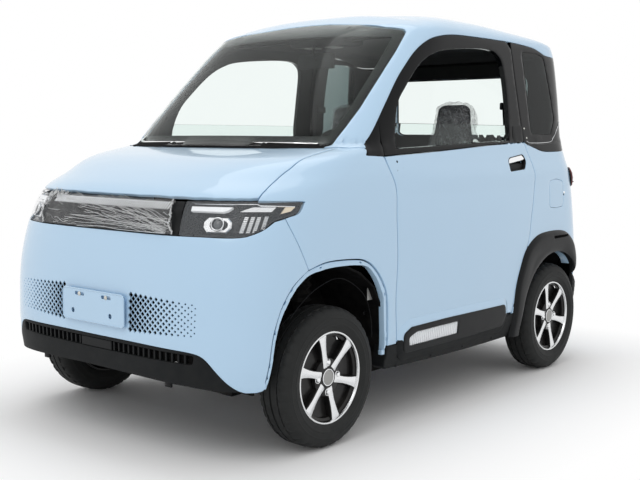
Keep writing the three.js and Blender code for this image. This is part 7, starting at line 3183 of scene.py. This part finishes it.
    def _frame(self) -> bpy.types.Object:
        """The runners, the side shields and the recliner of one seat.

        Returns:
            The frame as one piece.
        """
        c = self.centre
        parts = [block("runner", (c + s * 0.150 - 0.016, 0.080, 0.436), (c + s * 0.150 + 0.016, 0.460, 0.458),
                       0.004)
                 for s in (-1, 1)]
        for s in (-1, 1):
            parts.append(slab("shield",
                              [(0.120, 0.450), (0.150, 0.500), (0.360, 0.505), (0.470, 0.600), (0.520, 0.600),
                                         (0.510, 0.450)], 0.006, 0.004, c + s * 0.214))
            parts.append(cylinder("pivot", (c + s * 0.205, 0.470, 0.560), (c + s * 0.224, 0.470, 0.560),
                                  0.026, 28, 0.004))
        parts.append(cylinder("lift_bar", (c - 0.12, 0.052, 0.462), (c + 0.12, 0.052, 0.462), 0.007, 14))
        return joined("seat_frame", parts)

    def _bench(self) -> None:
        """The rear bench: a lower cushion and an upright back."""
        seat = slab("bench_cushion",
                    [(0.700, 0.560), (0.695, 0.640), (0.730, 0.672), (1.010, 0.655), (1.030, 0.560)], 0.432,
                    0.030)
        rest = slab("bench_back",
                    [(0.985, 0.650), (0.975, 0.720), (1.010, 1.040), (1.040, 1.062), (1.080, 1.050),
                                   (1.090, 0.660)], 0.432, 0.030)
        for obj in (seat, rest):
            filled = Cushion(voxel=0.014, reach=0.018).fill(obj)
            self._pressed(filled, [(lambda p: p[:, 0], 0.008),
                                   (lambda p: np.abs(p[:, 0]) - 0.30, 0.006)])
            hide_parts("rear_bench")
            dress(filled, ROOT, "seat_cover", PALETTE["seat_cloth"])


@dataclass
class Dashboard:
    """The dashboard with its screen, vents and column, the pedals, and the steering wheel."""

    half: float = 0.580
    wheel_centre: Point3 = (0.320, -0.205, 0.985)
    wheel_radius: float = 0.178
    tilt: float = 32.0            # degrees of the column above level

    def build(self) -> None:
        """Makes the dashboard, the column, the wheel and the pedals."""
        profile = mm([(-690, 1000), (-690, 1036), (-640, 1048), (-540, 1060), (-420, 1064), (-345, 1044),
                      (-320, 1020), (-306, 940), (-330, 850), (-336, 760), (-378, 646), (-414, 646),
                      (-418, 900)])
        board = slab("dashboard_body", profile, self.half, 0.012)
        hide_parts("dashboard")
        dress(board, ROOT, "cabin_trim", PALETTE["trim"])
        hood = slab("cluster_hood",
                    mm([(-470, 1055), (-450, 1086), (-350, 1098), (-318, 1090), (-330, 1070), (-345, 1040)]),
                    0.150, 0.010, 0.320)
        dress(hood, ROOT, "cabin_trim", PALETTE["satin_black"])
        cluster = slab("cluster_screen", mm([(-330, 1020), (-322, 1078), (-318, 1080), (-322, 1018)]), 0.125,
                       0.001, 0.320)
        screen = slab("centre_screen", mm([(-330, 985), (-312, 1092), (-298, 1090), (-316, 982)]), 0.115,
                      0.003, -0.010)
        glass_face = slab("screen_face", mm([(-314.5, 990), (-298.5, 1084), (-296.5, 1083.7), (-312.5, 990)]),
                          0.108, 0.0006, -0.010)
        dress(joined("display_housings", [cluster, screen]), ROOT, "cabin_trim", PALETTE["satin_black"])
        dress(glass_face, ROOT, "gloss_black", PALETTE["gloss_black"])
        self._vents()
        self._column()
        self._wheel()
        self._pedals()

    @staticmethod
    def _vents() -> None:
        """Four air vents with slats, a glovebox lid and a row of switches."""
        frames, slats = [], []
        for x in (-0.500, -0.185, 0.160, 0.512):
            frames.append(block("vent", (x - 0.048, -0.316, 0.952), (x + 0.048, -0.301, 1.006), 0.006, 3))
            slats += [block("slat", (x - 0.041, -0.303, 0.958 + 0.0105 * k),
                            (x + 0.041, -0.298, 0.9615 + 0.0105 * k), 0.001, 1)
                      for k in range(5)]
        lid = block("glovebox", (-0.520, -0.334, 0.800), (-0.170, -0.322, 0.925), 0.012, 3)
        keys = [block("key", (-0.040 + 0.026 * k, -0.320, 0.915), (-0.020 + 0.026 * k, -0.306, 0.931),
                      0.002) for k in range(4)]
        dial = turned("gear_dial", [(0, 0.030), (0.022, 0.028), (0.027, 0.022), (0.028, 0.0), (0, 0.0)],
                      (0.030, -0.330, 0.850), (0, 1, 0.1), 40)
        dress(joined("dash_fittings", [*frames, lid, *keys]), ROOT, "cabin_trim", PALETTE["satin_black"])
        dress(joined("dash_slats", slats), ROOT, "cabin_trim", PALETTE["trim"])
        dress(dial, ROOT, "cabin_trim", PALETTE["brushed"])

    def _column(self) -> None:
        """The steering column's shroud and its two stalks."""
        x, y, z = self.wheel_centre
        along = Vector((0, math.cos(math.radians(self.tilt)), math.sin(math.radians(self.tilt))))
        near, far = Vector((x, y, z)) - along * 0.052, Vector((x, y, z)) - along * 0.185
        shroud = cylinder("column_shroud", tuple(far), tuple(near), 0.042, 32, 0.008)
        stalks = [tube("stalk", [tuple(near - along * 0.02 + Vector((s * 0.030, 0, 0))),
                                 tuple(near - along * 0.015 + Vector((s * 0.090, 0, 0.010))),
                                 tuple(near - along * 0.005 + Vector((s * 0.135, 0, 0.014)))], 0.0065,
                       12) for s in (-1, 1)]
        dress(joined("steering_column", [shroud, *stalks]), ROOT, "cabin_trim", PALETTE["satin_black"])

    def _wheel(self) -> None:
        """The steering wheel: padded rim, three spokes and the middle pad, with bright spoke inlays."""
        turn = Vector((0, math.cos(math.radians(self.tilt)),
                       math.sin(math.radians(self.tilt)))).to_track_quat("Z", "Y")
        place = Matrix.Translation(self.wheel_centre) @ turn.to_matrix().to_4x4()
        radius, grip = self.wheel_radius, 0.0138
        ring = [(radius - grip + grip * math.cos(t), grip * 1.12 * math.sin(t)) for t in
                (math.radians(20 * k) for k in range(19))]
        rim = turned("rim", ring, (0, 0, 0), (0, 0, 1), 96)
        pad = turned("pad",
                     [(0, 0.004), (0.030, 0.003), (0.050, -0.002), (0.060, -0.012), (0.060, -0.034),
                      (0.040, -0.050),
                             (0, -0.050)], (0, 0, 0), (0, 0, 1), 48)
        spokes, inlays = [], []
        for degrees in (0, 180, 270):
            t = math.radians(degrees)
            spin = Matrix.Rotation(t, 4, "Z")
            spoke = block("spoke", (0.045, -0.020, -0.018), (radius - 0.012, 0.020, -0.004), 0.006, 3)
            spoke.data.transform(spin)
            spokes.append(spoke)
            inlay = block("inlay", (0.066, -0.010, -0.006), (radius - 0.032, 0.010, -0.0015), 0.002)
            inlay.data.transform(spin)
            inlays.append(inlay)
        wheel = joined("steering_wheel_rim", [rim, pad, *spokes])
        wheel.data.transform(place)
        bright = joined("steering_wheel_inlays", inlays)
        bright.data.transform(place)
        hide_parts("steering_wheel")
        dress(wheel, "steering_wheel", "cabin_trim", PALETTE["rubber"])
        dress(bright, "steering_wheel", "alloy", PALETTE["brushed"])

    @staticmethod
    def _pedals() -> None:
        """The brake and drive pedals on their arms."""
        parts = []
        for x, wide in ((0.300, 0.036), (0.420, 0.024)):
            parts.append(tube("arm", [(x, -0.425, 0.560), (x, -0.400, 0.450), (x, -0.372, 0.380)], 0.007, 12))
            parts.append(block("pad", (x - wide, -0.376, 0.335), (x + wide, -0.364, 0.400), 0.004))
            parts += [block("rib", (x - wide + 0.006, -0.366, 0.345 + 0.012 * k),
                            (x + wide - 0.006, -0.361, 0.349 + 0.012 * k), 0.001, 1) for k in range(5)]
        dress(joined("pedals", parts), ROOT, "black_plastic", PALETTE["rubber"])


@dataclass
class CabinLining:
    """The windscreen's dark border, the roof console, mats, door pulls and belts."""

    border: float = 0.034

    def build(self) -> None:
        """Makes every piece of the lining."""
        self._border()
        self._cowl()
        self._seals()
        self._console()
        self._mats()
        self._door_pulls()
        self._belts()

    def _border(self) -> None:
        """The black print round the windscreen, wider at its foot and head."""
        whole = cleaned(halves(mm(Lines.SCREEN)))
        outer = offset(whole, 0.003)
        inner = np.array(offset(whole, self.border))
        top, foot = inner[:, 1].max(), inner[:, 1].min()
        inner[:, 1] -= np.clip((inner[:, 1] - (top - 0.05)) / 0.05, 0, 1) * 0.030
        inner[:, 1] += np.clip(((foot + 0.05) - inner[:, 1]) / 0.05, 0, 1) * 0.012
        band = Panel("screen_border", View.FRONT, [tuple(p) for p in outer], wall=0.0012, edge=0.0003,
                     cell=0.03, holes=[[tuple(p) for p in inner]], hole_edge=0.0003, height=-0.0056).build()
        dress(band, ROOT, "gloss_black", PALETTE["frit"], PALETTE["frit"])

    @staticmethod
    def _cowl() -> None:
        """The black strip below the windscreen, under the bonnet's rear edge."""
        strip = Panel("cowl", View.FRONT, halves([(0, 1.046), (0.560, 1.048), (0.556, 1.086), (0, 1.082)]),
                      wall=0.004, height=-0.0085, edge=0.0005, cell=0.03).build()
        dress(strip, ROOT, "black_plastic", PALETTE["liner"], PALETTE["liner"])
        foot = halves(mm(Lines.SCREEN))
        line = sorted({(round(x, 4), round(z, 4)) for x, z in foot if z < 1.0735 and abs(x) < 0.52})
        if len(line) > 3:
            bead = wire_on("screen_foot_seal", View.FRONT, line, 0.0042, 0.0005)
            dress(bead, ROOT, "black_plastic", PALETTE["rubber"])

    @staticmethod
    def _seals() -> None:
        """The rubber seals round the tailgate's opening and inside its window."""
        half, low, high = Lines.TAILGATE_HALF, Lines.TAILGATE_LOW, Lines.TAILGATE_HIGH
        opening = mm(rounded([(-half, low), (half, low), (half, high), (-half, high)], 60.0, 8))
        seal = wire_on("gate_seal", View.REAR, spaced(opening, 0.03), 0.011, -0.030, 8, True)
        dress(seal, ROOT, "black_plastic", PALETTE["rubber"])
        light = mm(rounded([(-415, 1120), (415, 1120), (415, 1420), (-415, 1420)], 50.0, 8))
        inner = wire_on("rear_window_seal", View.REAR, spaced(light, 0.02), 0.0052, -0.0105, 8, True)
        dress(inner, "tailgate", "black_plastic", PALETTE["rubber"])

    @staticmethod
    def _console() -> None:
        """The roof console, the two sun visors and the inside mirror."""
        console = slab("roof_console", [(-0.070, 1.536), (-0.055, 1.500), (0.090, 1.505), (0.130, 1.560)],
                       0.150, 0.012)
        lamps = [block("map_lamp", (x - 0.030, -0.030, 1.497), (x + 0.030, 0.030, 1.504),
                       0.003) for x in (-0.06, 0.06)]
        visors = [slab("visor", [(-0.085, 1.520), (-0.080, 1.512), (0.085, 1.545), (0.080, 1.555)], 0.150,
                       0.004, x)
                  for x in (-0.330, 0.330)]
        mirror = slab("mirror", [(-0.060, 1.405), (-0.052, 1.470), (-0.038, 1.474), (-0.045, 1.402)], 0.105,
                      0.008)
        stem = tube("mirror_stem", [(0, -0.050, 1.440), (0, -0.075, 1.480), (0, -0.050, 1.512)], 0.006, 12)
        dress(joined("roof_fittings", [console, *visors, mirror, stem]), ROOT, "cabin_trim", PALETTE["trim"])
        dress(joined("map_lamps", lamps), ROOT, "cabin_trim", PALETTE["cap_grey"])

    @staticmethod
    def _mats() -> None:
        """Ribbed mats on the floor in front of each seat."""
        parts = []
        for x in (-0.300, 0.300):
            parts.append(block("mat", (x - 0.180, -0.400, 0.2355), (x + 0.180, 0.040, 0.2435), 0.003))
            parts += [block("rib", (x - 0.150, -0.360 + 0.040 * k, 0.2425),
                            (x + 0.150, -0.350 + 0.040 * k, 0.2465), 0.001, 1)
                      for k in range(10)]
        dress(joined("floor_mats", parts), ROOT, "cabin_trim", PALETTE["rubber"])

    @staticmethod
    def _door_pulls() -> None:
        """An armrest with a pull and a release lever on the inside of each door."""
        face = 0.575
        rest = block("armrest", (face - 0.040, -0.060, 0.720), (face + 0.010, 0.330, 0.765), 0.014, 4)
        pull = tube("pull",
                    through([(face + 0.002, -0.040, 0.765), (face - 0.028, -0.010, 0.800),
                             (face - 0.030, 0.110, 0.812),
                                     (face + 0.002, 0.150, 0.790)], 6), 0.009, 12)
        pair(joined("door_armrest", [rest, pull]), "door_armrest", "cabin_trim", "satin_black", body="door")
        lever = block("lever", (face - 0.012, -0.150, 0.850), (face + 0.006, -0.070, 0.876), 0.005, 3)
        pair(lever, "door_lever", "cabin_trim", "brushed", body="door")

    @staticmethod
    def _belts() -> None:
        """A belt down each middle pillar, with its guide and buckle end."""
        line = [(0.556, 0.640, 1.250), (0.572, 0.640, 1.050), (0.580, 0.642, 0.850), (0.578, 0.640, 0.640)]
        strap_rings = []
        for x, y, z in through(line, 8):
            strap_rings.append([(x - 0.0008, y - 0.023, z), (x - 0.0008, y + 0.023, z),
                                (x + 0.0008, y + 0.023, z), (x + 0.0008, y - 0.023, z)])
        strap = lofted("belt", strap_rings)
        pair(strap, "seat_belt", "cabin_trim", "rubber")
        guide = block("guide", (0.545, 0.608, 1.235), (0.560, 0.672, 1.268), 0.006, 3)
        reel = block("reel", (0.560, 0.612, 0.600), (0.600, 0.668, 0.660), 0.008, 3)
        pair(joined("belt_guide", [guide, reel]), "belt_guide", "cabin_trim", "satin_black")


ASSEMBLIES = (Shell, BlackGlasshouse, Front, Headlamp, ArchFlange, DoorHandle, DoorPlate, Sill, RearFlare,
              ChargeLid, TailLamp, SideTrim, Wheel, Underbody, TailDetails, CabinLining, Dashboard, Seats)


# ------------------------------------------------------------------------------ the studio
@dataclass
class Studio:
    """The pale floor, the soft light and the camera."""

    camera_place: Point3 = (2.8892, -3.4481, 1.0988)
    camera_yaw: float = 40.104       # degrees left of straight back
    camera_dip: float = 5.811
    camera_roll: float = 0.3175
    view_width: float = 35.644       # degrees
    floor_size: float = 40.0
    floor_tone: float = 0.95
    floor_near: float = 0.04         # how far from the vehicle the floor starts to fade to white
    floor_far: float = 0.75
    sky_light: float = 0.80
    sky_shown: float = 1.0

    def build(self) -> None:
        """Makes the floor, the world, the lamps and the camera."""
        self._camera()
        self._floor()
        self._world()
        self._lamp("key", (1.2, -4.2, 5.2), (0.0, -0.3, 0.6), 4.0, 54.0)
        self._lamp("top", (-0.6, 0.4, 5.6), (0.0, 0.0, 0.8), 4.5, 46.0)
        bpy.context.scene.view_settings.view_transform = "Standard"

    def _camera(self) -> None:
        """Sets the camera at its standpoint."""
        yaw, dip, roll = (math.radians(a) for a in (self.camera_yaw, self.camera_dip, self.camera_roll))
        forward = Vector((-math.sin(yaw) * math.cos(dip), math.cos(yaw) * math.cos(dip), -math.sin(dip)))
        right = Vector((math.cos(yaw), math.sin(yaw), 0.0))
        up = right.cross(forward)
        tilted_right = right * math.cos(roll) + up * math.sin(roll)
        tilted_up = up * math.cos(roll) - right * math.sin(roll)
        turn = Matrix((tilted_right, tilted_up, -forward)).transposed().to_4x4()
        data = bpy.data.cameras.new("camera")
        data.sensor_width = 36.0
        data.lens = 18.0 / math.tan(math.radians(self.view_width) / 2)
        camera = bpy.data.objects.new("camera", data)
        bpy.context.scene.collection.objects.link(camera)
        camera.matrix_world = Matrix.Translation(self.camera_place) @ turn
        bpy.context.scene.camera = camera

    def _floor(self) -> None:
        """A wide plain floor that keeps the vehicle's shadow."""
        deselect()
        bpy.ops.mesh.primitive_plane_add(size=self.floor_size)
        floor = bpy.context.active_object
        floor.name = "floor"
        material = bpy.data.materials.new("floor")
        material.use_nodes = True
        shader = material.node_tree.nodes["Principled BSDF"]
        shader.inputs["Base Color"].default_value = (self.floor_tone,) * 3 + (1.0,)
        shader.inputs["Roughness"].default_value = 0.7
        shader.inputs["Specular IOR Level"].default_value = 0.1
        self._fade(material.node_tree, shader)
        floor.data.materials.append(material)

    def _fade(self, tree: bpy.types.NodeTree, shader: bpy.types.Node) -> None:
        """Lets the floor turn white away from the vehicle, where it is seen or mirrored.

        Args:
            tree: The floor's node tree.
            shader: The floor's own shader.
        """
        place = tree.nodes.new("ShaderNodeTexCoord")
        split = tree.nodes.new("ShaderNodeSeparateXYZ")
        tree.links.new(place.outputs["Object"], split.inputs[0])
        beyond = []
        for axis, half in (("X", 0.70), ("Y", 1.28)):
            reach = maths(tree, "SUBTRACT", maths(tree, "ABSOLUTE", split.outputs[axis]), half)
            beyond.append(maths(tree, "POWER", maths(tree, "MAXIMUM", reach, 0.0), 2.0))
        away = maths(tree, "POWER", maths(tree, "ADD", *beyond), 0.5)
        share = maths(tree, "DIVIDE", maths(tree, "SUBTRACT", away, self.floor_near),
                      self.floor_far - self.floor_near, clamp=True)
        rays = tree.nodes.new("ShaderNodeLightPath")
        seen = maths(tree, "MAXIMUM", rays.outputs["Is Camera Ray"],
                     maths(tree, "MAXIMUM", rays.outputs["Is Glossy Ray"],
                           rays.outputs["Is Transmission Ray"]))
        white = tree.nodes.new("ShaderNodeEmission")
        white.inputs["Color"].default_value = (1.0, 1.0, 1.0, 1.0)
        blend = tree.nodes.new("ShaderNodeMixShader")
        tree.links.new(maths(tree, "MULTIPLY", share, seen), blend.inputs["Fac"])
        tree.links.new(shader.outputs["BSDF"], blend.inputs[1])
        tree.links.new(white.outputs["Emission"], blend.inputs[2])
        tree.links.new(blend.outputs["Shader"], tree.nodes["Material Output"].inputs["Surface"])

    def _world(self) -> None:
        """White where the sky is seen or mirrored, and softer as a light."""
        world = bpy.data.worlds.new("studio")
        world.use_nodes = True
        bpy.context.scene.world = world
        tree = world.node_tree
        rays = tree.nodes.new("ShaderNodeLightPath")
        seen = maths(tree, "MAXIMUM", rays.outputs["Is Camera Ray"],
                     maths(tree, "MAXIMUM", rays.outputs["Is Glossy Ray"],
                           rays.outputs["Is Transmission Ray"]))
        strength = maths(tree, "ADD", maths(tree, "MULTIPLY", seen, self.sky_shown - self.sky_light),
                         self.sky_light)
        background = tree.nodes["Background"]
        background.inputs["Color"].default_value = (1.0, 1.0, 1.0, 1.0)
        tree.links.new(strength, background.inputs["Strength"])

    @staticmethod
    def _lamp(name: str, place: Point3, aim: Point3, size: float, power: float) -> None:
        """A large soft lamp that looks at a point.

        Args:
            name: The lamp's name.
            place: Where it stands.
            aim: The point that it faces.
            size: Its disc's diameter.
            power: Its power in watts.
        """
        data = bpy.data.lights.new(name, "AREA")
        data.shape = "DISK"
        data.size = size
        data.energy = power
        lamp = bpy.data.objects.new(name, data)
        bpy.context.scene.collection.objects.link(lamp)
        lamp.location = place
        lamp.rotation_mode = "QUATERNION"
        lamp.rotation_quaternion = (Vector(aim) - Vector(place)).to_track_quat("-Z", "Y")


# ------------------------------------------------------------------------------ the whole vehicle
def main() -> None:
    """Builds the vehicle's sub-assemblies in order, then the studio."""
    logging.basicConfig(level=logging.INFO, format="%(message)s")
    Studio().build()
    for assembly in ASSEMBLIES:
        log.info("-- %s", assembly.__name__)
        assembly().build()
    deselect()


if __name__ == "__main__":
    main()
